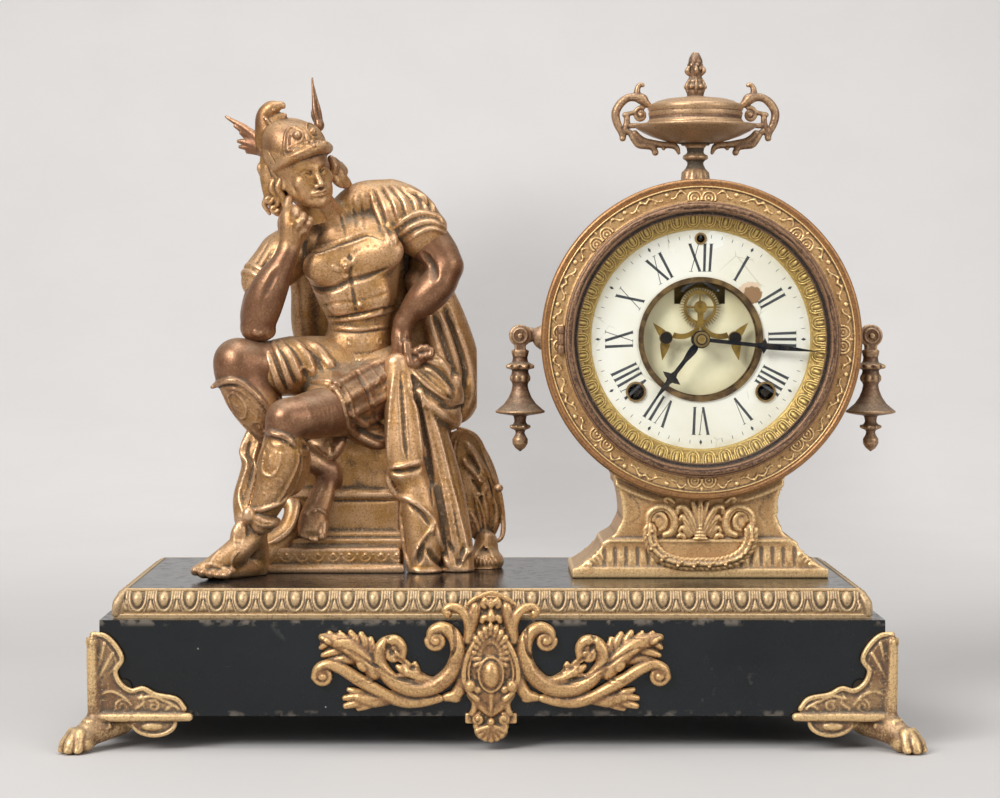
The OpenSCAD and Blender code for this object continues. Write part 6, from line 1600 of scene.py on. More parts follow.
def sculpt_front_mount():
    wall = -BOX_HALF[1]
    c = Clay((-94, wall - 15, 3.5), (94, wall + 0.6, 78), 0.6)
    y0 = wall - 1.4
    mid = 768

    def both(rows_maker):
        for side in (-1, 1):
            rows_maker(lambda px: mid - (mid - px) * (1 if side < 0 else -1), side)

    def scrolls(x, side):
        way = lambda *rows: [mount_at(x(px), py, depth, 1.28 * r) for px, py, depth, r in rows]
        # Large C scroll with a hollow channel
        path = (
            (520, 205, y0 - 1, 1.4), (532, 165, y0 - 1.2, 1.9), (575, 152, y0 - 1.4, 2.4), (617, 182, y0 - 1.6, 2.7), (634, 240, y0 - 1.6, 2.9),
            (618, 312, y0 - 1.4, 3.1), (572, 366, y0 - 1.2, 3.2), (505, 398, y0 - 1, 3.2), (435, 398, y0 - 1, 3.1), (370, 362, y0 - 1.2, 2.9),
            (326, 305, y0 - 1.4, 2.7), (318, 250, y0 - 1.6, 2.5), (342, 212, y0 - 1.6, 2.3), (385, 203, y0 - 1.6, 2.1), (412, 232, y0 - 1.4, 1.8), (408, 275, y0 - 1.2, 1.5),
        )
        c.limb(way(*path), 0.6)
        spiral = spiral_rows(548, 203, 180, 1.3, 36, 6, y0 - 1, 1.7, 1.5)
        c.limb([np.array([p[0] if side < 0 else 2 * mount_at(mid, 0, p[1])[0] - p[0], *p[1:]]) for p in spiral], 0.3, count=60)
        c.egg(mount_at(x(548), 203, y0 - 2), (1.7, 2.2, 1.7), soft=0.4)
        spiral = spiral_rows(378, 262, -30, 1.3, 36, 6, y0 - 1, 1.7, 1.5)
        c.limb([np.array([p[0] if side < 0 else 2 * mount_at(mid, 0, p[1])[0] - p[0], *p[1:]]) for p in spiral], 0.3, count=60)
        c.egg(mount_at(x(378), 262, y0 - 2), (1.6, 2.2, 1.6), soft=0.4)
        # Long stem under it
        stem = (
            (560, 436, y0 - 0.6, 1.6), (500, 448, y0 - 0.8, 2.0), (430, 450, y0 - 1, 2.3), (360, 430, y0 - 1.2, 2.4), (290, 392, y0 - 1.4, 2.4),
            (220, 350, y0 - 1.6, 2.4), (165, 316, y0 - 1.6, 2.3), (115, 300, y0 - 1.6, 2.1), (74, 316, y0 - 1.4, 1.9), (60, 350, y0 - 1.2, 1.6),
        )
        c.limb(way(*stem), 0.6)
        spiral = spiral_rows(94, 345, 180, 1.3, 34, 6, y0 - 1, 1.7, 1.5)
        c.limb([np.array([p[0] if side < 0 else 2 * mount_at(mid, 0, p[1])[0] - p[0], *p[1:]]) for p in spiral], 0.3, count=60)
        c.egg(mount_at(x(94), 345, y0 - 2), (1.6, 2.2, 1.6), soft=0.4)
        # Leaf spray with buds on a full ground
        for px, py, rx, rz, tilt in ((250, 262, 7.5, 5.5, 30), (190, 226, 8.5, 5.0, 30), (130, 208, 6.5, 4.0, 24), (150, 262, 7.0, 3.2, -8), (260, 440, 8.0, 4.2, 8), (470, 352, 7.5, 3.8, -25)):
            c.egg(mount_at(x(px), py, wall - 0.4), (rx, 1.9, rz), (0, tilt * side, 0), 0.8)
        c.limb(way((300, 330, y0 - 0.4, 3.0), (250, 270, y0 - 0.6, 3.6), (190, 222, y0 - 0.6, 3.4), (120, 198, y0 - 0.4, 2.4), (88, 190, y0 - 0.2, 1.4)), 1)
        for rows in (
            ((285, 300, y0, 2.0), (290, 240, y0 - 0.8, 1.8), (284, 198, y0 - 0.6, 1.2)),
            ((262, 270, y0, 2.2), (262, 215, y0 - 0.8, 1.8), (246, 176, y0 - 0.6, 1.1)),
            ((232, 250, y0, 2.2), (224, 205, y0 - 0.8, 1.8), (204, 170, y0 - 0.6, 1.1)),
            ((196, 230, y0, 2.0), (182, 200, y0 - 0.8, 1.6), (160, 172, y0 - 0.6, 1.0)),
            ((160, 215, y0, 1.8), (140, 192, y0 - 0.8, 1.4), (118, 172, y0 - 0.6, 0.9)),
            ((128, 205, y0, 1.6), (100, 220, y0 - 0.6, 1.2), (84, 232, y0 - 0.4, 0.9)),
            ((180, 240, y0, 1.8), (130, 250, y0 - 0.6, 1.6), (92, 262, y0 - 0.4, 1.0)),
            ((220, 280, y0, 2.0), (170, 278, y0 - 0.6, 1.8), (120, 284, y0 - 0.4, 1.1)),
        ):
            c.limb(way(*rows), 0.4)
        for px, py, rx, rz, tilt in ((250, 303, 2.5, 3.6, 38), (192, 238, 2.3, 3.4, 52), (110, 205, 1.5, 2.6, 58)):
            c.egg(mount_at(x(px), py, y0 - 3), (rx, 2.4, rz), (0, tilt * side, 0), 0.3)
        for px, py in ((88, 192), (100, 198), (140, 218), (160, 226), (222, 272)):
            c.egg(mount_at(x(px), py, y0 - 2.6), (1.1, 1.3, 1.1), soft=0.3)
        # Leaf under the stem
        c.limb(way((350, 440, y0 - 0.4, 2.2), (290, 445, y0 - 0.8, 2.6), (235, 432, y0 - 0.8, 2.2)), 0.8)
        for rows in (
            ((300, 446, y0, 2.0), (270, 462, y0 - 1, 1.7), (236, 476, y0 - 0.6, 1.1)),
            ((270, 440, y0, 2.2), (225, 455, y0 - 1, 1.7), (184, 466, y0 - 0.6, 1.2)),
            ((260, 430, y0, 2.0), (215, 430, y0 - 1, 1.6), (180, 434, y0 - 0.6, 1.1)),
            ((255, 420, y0, 1.8), (222, 408, y0 - 1, 1.4), (196, 400, y0 - 0.6, 1.0)),
        ):
            c.limb(way(*rows), 0.4)
        # Leaf inside the C scroll
        c.limb(way((590, 372, y0 - 0.4, 1.8), (540, 374, y0 - 0.8, 2.2), (480, 358, y0 - 0.8, 2.4), (435, 330, y0 - 0.8, 2.2)), 0.8)
        for rows in (
            ((470, 350, y0, 1.8), (468, 318, y0 - 1, 1.5), (462, 296, y0 - 0.6, 1.0)),
            ((440, 330, y0, 2.0), (432, 306, y0 - 1, 1.7), (420, 286, y0 - 0.6, 1.1)),
            ((430, 330, y0, 2.0), (408, 318, y0 - 1, 1.5), (392, 306, y0 - 0.6, 1.0)),
            ((440, 345, y0, 1.8), (412, 348, y0 - 1, 1.4), (394, 344, y0 - 0.6, 1.0)),
        ):
            c.limb(way(*rows), 0.4)
        # Shoulder beside the shield
        c.limb(way((590, 430, y0 - 0.2, 1.8), (625, 420, y0 - 0.4, 2.4), (650, 380, y0 - 0.4, 2.6), (656, 330, y0 - 0.4, 2.4)), 1)
        c.egg(mount_at(x(625), 440, y0 - 0.6), (2.6, 2.0, 1.6), soft=0.8)
        # Upper scroll that leaves the crown
        c.limb(way((598, 100, y0 - 1.4, 1.5), (584, 84, y0 - 1.4, 1.5), (602, 68, y0 - 1.4, 1.6), (640, 76, y0 - 1.4, 1.8), (668, 106, y0 - 1.4, 2.0), (682, 150, y0 - 1.4, 2.0), (676, 200, y0 - 1.2, 1.8)), 0.5)
        c.egg(mount_at(x(595), 95, y0 - 2), (1.7, 1.9, 1.7), soft=0.4)
        c.limb(way((676, 200, y0 - 0.6, 1.8), (690, 130, y0 - 0.4, 2.6), (706, 70, y0 - 0.4, 2.4)), 1)
        # Crown edge
        c.limb(way((672, 58, y0 - 1.8, 0.8), (700, 36, y0 - 1.8, 0.9), (740, 18, y0 - 1.8, 0.9), (768, 11, y0 - 1.8, 0.9)), 0.3)
        c.limb(way((756, 54, y0 - 2, 1.2), (744, 42, y0 - 2.2, 1.2), (736, 56, y0 - 2, 1.2), (742, 68, y0 - 2, 0.9)), 0.3)
        c.limb(way((764, 112, y0 - 2, 1.4), (740, 112, y0 - 2.2, 1.3), (732, 126, y0 - 2, 1.0)), 0.3)
        # Lower bracket
        c.limb(way((700, 425, y0 - 0.6, 2.2), (716, 455, y0 - 0.8, 2.0), (742, 480, y0 - 0.8, 1.6), (764, 500, y0 - 0.8, 1.2)), 0.5)
        c.limb(way((682, 420, y0 - 1.4, 1.2), (702, 450, y0 - 1.6, 1.3), (700, 480, y0 - 1.4, 1.3), (692, 495, y0 - 1.2, 1.2)), 0.4)
        spiral = spiral_rows(718, 520, 90, 1.2, 20, 5, y0 - 1.2, 1.2, 1.1, 18)
        c.limb([np.array([p[0] if side < 0 else 2 * mount_at(mid, 0, p[1])[0] - p[0], *p[1:]]) for p in spiral], 0.3, count=44)
        for px, py, depth, reach in ((728, 560, 1.2, 2.4), (712, 548, 1.0, 2.0), (748, 590, 1.2, 2.2)):
            c.egg(mount_at(x(px), py, y0 - depth), (reach, 2.0, reach), soft=0.5)

    both(scrolls)
    left, right = mount_at(664, 515, y0)[0], mount_at(872, 515, y0)[0]
    low, high = mount_at(mid, 536, y0)[2], mount_at(mid, 494, y0)[2]
    c.slab((left, wall - 2.6, low), (right, wall + 0.5, high), 0.6)
    # Crown plate, shield with its rolled edge, shell and boss
    for px, py, rx, rz in ((768, 62, 9.5, 5), (768, 110, 9, 6), (768, 170, 8.6, 6)):
        c.egg(mount_at(px, py, wall - 0.6), (rx, 2.4, rz), soft=1)
    c.limb(mount_way((768, 40, y0 - 1.6, 1.2), (768, 58, y0 - 2.4, 1.5), (768, 72, y0 - 1.8, 1.0)), 0.3)
    c.egg(mount_at(768, 108, y0 - 2.6), (2.3, 2.4, 3.0), soft=0.5)
    c.egg(mount_at(768, 88, y0 - 2.0), (1.6, 1.8, 1.4), soft=0.4)
    c.egg(mount_at(768, 300, wall - 1.2), (14.4, 4.6, 19), soft=1)
    c.egg(mount_at(768, 400, wall - 1.0), (10.5, 4.2, 11), soft=2)
    rim = [
        (768, 147), (735, 172), (702, 212), (676, 262), (660, 318), (662, 372), (684, 414), (712, 440),
    ]
    for side in (-1, 1):
        rows = [(mid - (mid - px) * (1 if side < 0 else -1), py) for px, py in rim]
        c.limb([mount_at(px, py, y0 - 3.2, 1.35) for px, py in rows], 0.4, count=50)
        inner = [(mid + (px - mid) * 0.82, 300 + (py - 300) * 0.86) for px, py in rows[:7]]
        c.limb([mount_at(px, py, y0 - 3.4, 0.7) for px, py in inner], 0.3, count=50)
        c.egg(mount_at(mid - 83 * side * -1, 386, y0 - 3.6), (2.7, 2.6, 2.9), soft=0.5)
        c.egg(mount_at(mid - 56 * side * -1, 400, y0 - 3.0), (2.2, 2.0, 2.0), soft=0.6)
    for k in range(17):
        a = math.radians(-42 + 264 * k / 16)
        long = 108 if 5 <= k <= 11 else 82
        tip = (mid + long * 0.86 * math.cos(a), 336 - long * 1.18 * math.sin(a))
        foot = (mid + 44 * math.cos(a), 340 - 60 * math.sin(a))
        c.ridge([mount_at(*foot, -150), mount_at((foot[0] + tip[0]) / 2, (foot[1] + tip[1]) / 2, -150), mount_at(*tip, -150)], 1.35, 0.6, 0.4, way=(0, 1, 0), taper=False)
    c.egg(mount_at(768, 340, y0 - 3.8), (5.9, 2.4, 8.2), soft=0.3)
    c.egg(mount_at(768, 340, y0 - 4.8), (4.3, 3.6, 6.5), soft=0.2)
    c.limb([mount_at(768 + 48 * math.cos(a), 340 + 68 * math.sin(a), y0 - 4.6, 0.75) for a in np.linspace(0, 2 * math.pi, 25)], 0.2, count=72)
    c.limb(mount_way((768, 418, y0 - 2.6, 2.0), (768, 452, y0 - 2.4, 1.5), (768, 492, y0 - 1.8, 1.0)), 0.5)
    c.egg(mount_at(768, 530, y0 - 3.2), (1.8, 2.0, 1.8), soft=0.3)
    # Shell at the foot
    c.egg(mount_at(768, 566, wall - 0.8), (8.2, 3.4, 5.4), soft=1)
    for k in range(7):
        a = math.radians(200 + 140 * k / 6)
        c.limb([mount_at(768, 545, y0 - 2.8, 0.9), mount_at(768 + 58 * math.cos(a), 548 - 52 * math.sin(a), y0 - 1.8, 1.7)], 0.3)
    # Channels of the scrolls and veins of the leaves, cut in from the front
    front = (0, 1, 0)
    for side in (-1, 1):
        sx = lambda px: mid - (mid - px) * (1 if side < 0 else -1)

        def cut(places, radius, depth=0.7, soft=0.3):
            c.groove([mount_at(sx(px), py, -150) for px, py in places], radius, depth, soft, way=front)

        cut([(560, 160), (606, 180), (624, 240), (608, 312), (564, 362), (505, 390), (440, 388), (378, 354), (338, 302), (330, 252), (350, 222)], 1.6, 0.5, 0.4)
        cut([(596, 196), (614, 244), (600, 306), (556, 350), (502, 376), (444, 374)], 0.35, 0.8, 0.15)
        cut([(500, 440), (420, 440), (350, 418), (285, 380), (215, 336), (160, 308), (116, 306)], 1.25, 0.5, 0.4)
        cut([(480, 458), (410, 456), (340, 432), (272, 394)], 0.35, 0.8, 0.15)
        for line in (
            [(280, 300), (286, 250), (280, 208)], [(256, 270), (256, 222), (242, 186)], [(226, 248), (216, 208), (200, 180)],
            [(190, 226), (176, 200), (158, 180)], [(200, 262), (150, 264), (106, 270)], [(160, 236), (120, 240), (92, 248)],
            [(300, 446), (262, 452), (226, 462)], [(270, 434), (228, 442), (194, 452)], [(560, 376), (500, 366), (446, 340), (424, 312)],
            [(462, 342), (460, 318), (456, 304)], [(640, 76), (664, 108), (676, 156)], [(700, 60), (716, 110), (716, 160)],
        ):
            cut(line, 0.42, 0.85, 0.2)
    c.field = np.maximum(c.field, (c.axes[1] - (wall - 0.02))[None, :, None])
    return from_clay("front_mount_cast", c)


def sculpt_foot():
    """The foot on the viewer's right at the front, its corner at the origin until it is set in place."""
    c = Clay((-50, -24, -1), (24, 50, 62), 0.62)
    t, h0 = 6.0, 16.3
    outline = [
        (-3, 40), (3.1, 39.2), (8.5, 34), (11.2, 27.8), (8.1, 22.4), (10.2, 16.4), (15.5, 12.6), (21.6, 13.6), (27.8, 10.6), (37.5, 8.6), (41.7, 3.9),
    ]

    def face(d, up, out):
        """Both faces of the corner: d runs away from it, up over the floor of the box, out from the wall."""
        return [np.array([-d, -out, h0 + up]), np.array([out, d, h0 + up])]

    ground = outline + [(41.7, 0), (-3, 0)]

    def inside(d, up):
        """Signed distance to the bracket's outline in the plane of a face."""
        best, sign = 1e9, 1
        for (d0, u0), (d1, u1) in zip(ground, ground[1:] + ground[:1]):
            t = np.clip(((d - d0) * (d1 - d0) + (up - u0) * (u1 - u0)) / ((d1 - d0) ** 2 + (u1 - u0) ** 2), 0, 1)
            best = np.minimum(best, (d - d0 - t * (d1 - d0)) ** 2 + (up - u0 - t * (u1 - u0)) ** 2)
            a, b, left = up >= u0, up < u1, (d1 - d0) * (up - u0) > (u1 - u0) * (d - d0)
            sign = np.where((a & b & left) | (~a & ~b & ~left), -sign, sign)
        return sign * np.sqrt(best)

    gx, gy, gz = c.axes
    swell = lambda flat: 1.5 + 0.9 * np.clip(-flat / 4, 0, 1)
    flat = inside(-gx[:, None], gz[None, :] - h0)[:, None, :]
    c.field = np.minimum(c.field, np.maximum(flat, np.abs(gy[None, :, None] + 1.2) - swell(flat)))
    flat = inside(gy[:, None], gz[None, :] - h0)[None, :, :]
    c.field = np.minimum(c.field, np.maximum(flat, np.abs(gx[:, None, None] - 1.2) - swell(flat)))
    c.limb([(1.8, -1.8, 16, 3.6), (2.4, -2.4, 30, 3.2), (3, -3, 45, 2.8), (3, -3, 53, 2.6)], 1.5)
    for k in (0, 1):
        edge = [face(d, up, 2.6)[k] for d, up in outline]
        c.limb([np.append(p, 1.35) for p in edge], 0.5, count=90)
        inner = [face(d - 2.6, up - 1.6, 3.0)[k] for d, up in outline[:5]]
        c.limb([np.append(p, 0.6) for p in inner], 0.3, count=40)
        # Rod along the foot of the plate, with the lobe that hangs under it
        c.limb([np.append(face(-2, 0, 3.6)[k], 2.2), np.append(face(20, 0, 3.6)[k], 2.3), np.append(face(44, 0, 3.4)[k], 2.0)], 0.4)
        c.limb([np.append(face(-1, 2.8, 3.2)[k], 0.7), np.append(face(40, 2.8, 3.0)[k], 0.7)], 0.3)
        for d, up, rd, ru in ((27, -3, 10.5, 6.4), (20, -2, 7, 4.8)):
            p = face(d, up, 1.6)[k]
            c.egg(p, (rd, 2.4, ru) if k == 0 else (2.4, rd, ru), soft=1)
        lobe = [face(27 + 10.2 * math.cos(a), -3 - 6.0 * math.sin(a), 2.8)[k] for a in np.radians(np.linspace(-8, 188, 16))]
        c.limb([np.append(p, 1.1) for p in lobe], 0.3, count=60)
        p = face(26, -4.4, 3.4)[k]
        c.egg(p, (5.4, 1.8, 2.2) if k == 0 else (1.8, 5.4, 2.2), soft=0.4)
        # Curls and veins
        for cx, cy, r, start, turns in ((11.5, 5, 3.6, 60, 1.4), (27, 5.4, 2.8, 120, -1.2), (-3.4, 36, 3.0, 0, 1.2), (3.5, -4.2, 1.8, 0, 1.2)):
            a = np.linspace(0, 1, 20)
            way = [
                np.append(face(cx + (r * (1 - 0.7 * s)) * math.cos(math.radians(start) + 2 * math.pi * turns * s),
                               cy + (r * (1 - 0.7 * s)) * math.sin(math.radians(start) + 2 * math.pi * turns * s), 3.3)[k], 0.75)
                for s in a
            ]
            c.limb(way, 0.3, count=50)
        for line in (
            ((-1, 10), (6, 12.5), (12, 10), (16, 6)), ((-2, 14), (3, 24), (7, 31)), ((-2, 18), (1, 27), (3, 36)), ((20, 9), (26, 10), (33, 7.4), (38, 5)),
            ((-3, 12), (-1, 16), (2, 15)), ((18, 4), (22, 7), (21, 10)), ((33, 3.5), (36, 5.5), (39, 4)),
        ):
            c.limb([np.append(face(d, up, 3.4)[k], 0.7) for d, up in line], 0.3, count=30)
    # Leg and lion's paw
    c.limb([(-9, 9, 12, 6.5), (-3, 3, 10.5, 6.4), (2.5, -2.5, 9, 6.2), (7, -7, 7, 6.0)], 2)
    c.limb([(-2, 2, 14, 5.5), (2, -2, 13, 5.0), (5.5, -5.5, 10, 4.6)], 1.5)
    c.egg((8.5, -8.5, 5), (7.4, 7.4, 5.2), soft=2)
    for side in (-1.5, -0.5, 0.5, 1.5):
        swing = math.radians(-45 + side * 25)
        cs, sn = math.cos(swing), math.sin(swing)
        base = np.array([7.2, -7.2, 0])
        reach = 8.2 if abs(side) < 1 else 6.4
        c.limb(
            [
                (*(base + [1.6 * cs, 1.6 * sn, 8.4]), 2.8), (*(base + [4.4 * cs, 4.4 * sn, 8.6]), 3.3), (*(base + [reach * cs, reach * sn, 5.2]), 3.2),
                (*(base + [(reach + 1.4) * cs, (reach + 1.4) * sn, 2.9]), 2.6),
            ],
            0.35,
        )
        c.egg(base + [4.6 * cs, 4.6 * sn, 9.4], (2.9, 2.9, 2.7), soft=0.4)
        c.egg(base + [(reach + 3.2) * cs, (reach + 3.2) * sn, 2.0], (1.4, 1.4, 1.2), soft=0.3)
    for k in range(5):
        side = -2 + k
        swing = math.radians(-45 + side * 22)
        p = np.array([3.2, -3.2, 11.5]) + 3.6 * np.array([math.cos(swing), math.sin(swing), 0])
        c.limb([(*(p + [0, 0, 3]), 1.3), (*(p + [0.8 * math.cos(swing), 0.8 * math.sin(swing), 0]), 1.2), (*(p + [2.2 * math.cos(swing), 2.2 * math.sin(swing), -2.6]), 0.7)], 0.4)
    c.below(0.05)
    x, y, z = (axis.reshape([-1 if k == j else 1 for j in range(3)]) for k, axis in enumerate(c.axes))
    hollow = np.maximum(np.maximum(x + 0.02, 0.02 - y), h0 - z)
    c.field = np.maximum(c.field, -hollow).astype(np.float32)
    mesh = from_clay("foot", c)
    mesh.transform(Matrix.Translation((BOX_HALF[0] * MM, -BOX_HALF[1] * MM, 0)))
    return mesh


def add_base(enamel, trim, mount, bronze, pattern):
    for name in ("base_box", "base_top_plate"):
        dress(name, enamel)
    strip = moulding_body()
    link("moulding_strip", strip, trim, nodes=["base_moulding"], slot="gilt", smooth=False)
    front_count, side_count = pattern.front_eggs, pattern.side_eggs
    pitch = 2 * pattern.egg_run / MM / front_count
    side_pitch = 2 * (pattern.egg_run / MM - MOULD_HALF[0] + MOULD_HALF[1]) / side_count
    unit = grid_patch("egg_unit", lambda s, t: band_point((s - 0.5) * pitch, t), 26, 22)
    grown(
        "moulding_eggs", round_box_tree(), trim, unit,
        {
            "Half Width": MOULD_HALF[0] * MM, "Half Depth": MOULD_HALF[1] * MM, "Pitch": pitch * MM, "Side Pitch": side_pitch * MM,
            "Front Count": front_count, "Side Count": side_count,
        },
        slot="gilt",
    )
    leaf = corner_leaf()
    for flip_x, flip_y, label in ((0, 0, "right_front"), (1, 0, "left_front"), (0, 1, "right_back"), (1, 1, "left_back")):
        link("corner_leaf_" + label, mirrored("corner_leaf_" + label, leaf, flip_x, flip_y), trim, slot="gilt")
    link("front_mount_cast", sculpt_front_mount(), mount, nodes=["front_mount"], slot="gilt")
    foot = sculpt_foot()
    for flip_x, flip_y, label in ((0, 0, "front_right"), (1, 0, "front_left"), (0, 1, "rear_right"), (1, 1, "rear_left")):
        link("foot_" + label + "_cast", mirrored("foot_" + label, foot, flip_x, flip_y), bronze, nodes=["foot_" + label], slot="bronzed")


def dress(node, material):
    """Gives a CAD node its material."""
    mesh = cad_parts[node].data
    mesh.materials.clear()
    mesh.materials.append(material)


def black_enamel():
    """Glossy black enamel with a rubbed top edge, a painted highlight along the lower edge, small chips and light
    flecks.
    """
    f = Finish("black_enamel")
    cloud = f.noise(60, 3)
    chips = (f.noise(11, 5, 0.6).above(0.62, 0.68) * f.noise(45, 2).above(0.52, 0.6)).clipped()
    z = f.part(f.place(), "Z")
    # The band at the top edge is rubbed paint; the weaker band along the lower edge is a painted highlight.
    rim = (1 - (z - 0.0625).absolute().above(0.0004, 0.0032)) + (1 - (z - 0.0172).absolute().above(0.0004, 0.0024)) * 0.7
    worn = (rim * f.noise(9, 5, 0.6).above(0.5, 0.62)).clipped()
    flecks = f.specks(14, 0.045) * f.noise(22, 2).above(0.5, 0.6)
    stretched = f.node("ShaderNodeMapping", {}, {"Vector": f.place(), "Scale": (0.12, 1.0, 1.0), "Rotation": (0.0, 0.05, 0.2)})
    scratch = f.noise(1.4, 4, 0.7, stretched).above(0.7, 0.78) * f.noise(28, 2).above(0.5, 0.62)
    body = f.mix(cloud.above(0.35, 0.7), rgb("#0d1013"), rgb("#14181b"))
    colour = f.mix(worn * 0.8, body, rgb("#6d6459"))
    colour = f.mix(chips * 0.35, colour, rgb("#4b4a46"))
    colour = f.mix((flecks * 0.7 + scratch * 0.35).clipped(), colour, rgb("#b9b6ae"))
    marks = (worn + chips * 0.5 + flecks + scratch * 0.5).clipped()
    return f.surface(
        Base_Color=colour,
        Roughness=(0.16 + cloud * 0.1 + marks * 0.4 + f.noise(5, 4).above(0.45, 0.75) * 0.12).clipped(),
        Normal=f.bump(f.noise(30, 2) * 0.6 - marks * 0.5, 0.08, 0.5),
        Specular_IOR_Level=0.32,
        Coat_Weight=0.12,
        Coat_Roughness=0.1,
    )


# Clock head: pedestal, drum rings, dial, hands, urn and pendants

DRUM_R = 79.6
DIAL_Y = -31.0


def ped(px, py, depth=-200.0):
    """A place on the pedestal's front, counted in its own close view."""
    return (CLOCK_X + (px - 787) / 10.88, depth, PLATE_TOP + (720 - py) / 10.88)


def sculpt_pedestal():
    c = Clay((37, -31, 76), (176, 31, 142), 0.76)
    x, y, z = c.axes[0][:, None, None] - CLOCK_X, c.axes[1][None, :, None], c.axes[2][None, None, :]
    t = np.clip((z - 82) / 13, 0, 1)
    slope = 50 + 13.5 * (1 - t) ** 1.7
    ledge = 50 - 6.5 * np.clip((z - 95) / 4, 0, 1) - 4 * np.clip((z - 99) / 8, 0, 1) ** 0.8
    flare = 12.5 * np.clip((z - 107) / 34, 0, 1) ** 2.2
    half_w = np.where(z < 82, 65.5, np.where(z < 95, slope, ledge + flare))
    half_d = np.where(z < 82, 29.0, np.where(z < 95, 28 - t, np.where(z < 97, 27.0, 25.4)))
    across = (np.abs(x) - half_w) * np.where((z > 82) & (z < 99), 0.75, 0.95)
    body = np.maximum(np.maximum(across, np.abs(y) - half_d), np.maximum(77 - z, z - 141))
    drum = DRUM_R - np.sqrt(x * x + (z - AXIS_Z) ** 2)
    plain = np.clip(np.maximum(body, drum), -c.FAR, c.FAR).astype(np.float32)
    c.field = plain.copy()
    front, rear = (0, 1, 0), (0, -1, 0)
    for way in (front, rear):
        for px in (255, 315, 376, 440, 500, 560, 1012, 1070, 1128, 1190, 1250, 1312):
            c.groove([ped(px, 556), ped(px, 600), ped(px, 645)], 1.5, 0.45, 0.5, way=way, taper=False)
            c.ridge([ped(px + 30, 565), ped(px + 30, 645)], 0.7, 0.5, 0.5, way=way)
        for cx in (172, 1402):
            for r in (34, 58, 84):
                arc = [ped(cx + r * math.cos(a), 655 - r * 1.1 * math.sin(a)) for a in np.radians(np.linspace(15, 165, 9))]
                c.ridge(arc, 0.75, 0.7, 0.3, way=way)
            c.bead([ped(cx, 645)], 1.2, 0.6, 0.3, way=way)
        c.ridge([ped(242, 517), ped(500, 517), ped(787, 517), ped(1332, 517)], 0.8, 0.7, 0.3, way=way, taper=False)
        c.ridge([ped(80, 668), ped(500, 668), ped(1498, 668)], 0.6, 0.6, 0.3, way=way, taper=False)
        c.groove([ped(82, 676), ped(500, 676), ped(1490, 676)], 0.5, 0.7, 0.2, way=way, taper=False)
        for side in (-1, 1):
            s = lambda px: 787 + side * (787 - px)
            c.groove([ped(s(385), 268), ped(s(425), 290), ped(s(450), 330), ped(s(448), 380), ped(s(412), 412), ped(s(404), 440)], 0.45, 0.9, 0.15, way=way)
            c.groove([ped(s(400), 262), ped(s(398), 290)], 0.4, 0.9, 0.15, way=way)
            arc = [(CLOCK_X + side * 85.6 * math.sin(a), -200, AXIS_Z - 85.6 * math.cos(a)) for a in np.radians(np.linspace(14, 39, 9))]
            c.ridge(arc, 1.3, 0.7, 0.5, way=way)
            arc = [(CLOCK_X + side * 82.4 * math.sin(a), -200, AXIS_Z - 82.4 * math.cos(a)) for a in np.radians(np.linspace(8, 39, 9))]
            c.groove(arc, 0.9, 0.7, 0.5, way=way)
            edge = [ped(s(330), 470), ped(s(345), 400), ped(s(348), 330), ped(s(322), 240), ped(s(262), 150)]
            c.ridge(edge, 0.9, 0.5, 0.5, way=way)
    near = np.clip((np.abs(y) - 21) / 3, 0, 1)
    c.field = np.maximum(c.field * near + plain * (1 - near), plain - 0.8).astype(np.float32)
    return from_clay("pedestal_cast", c)


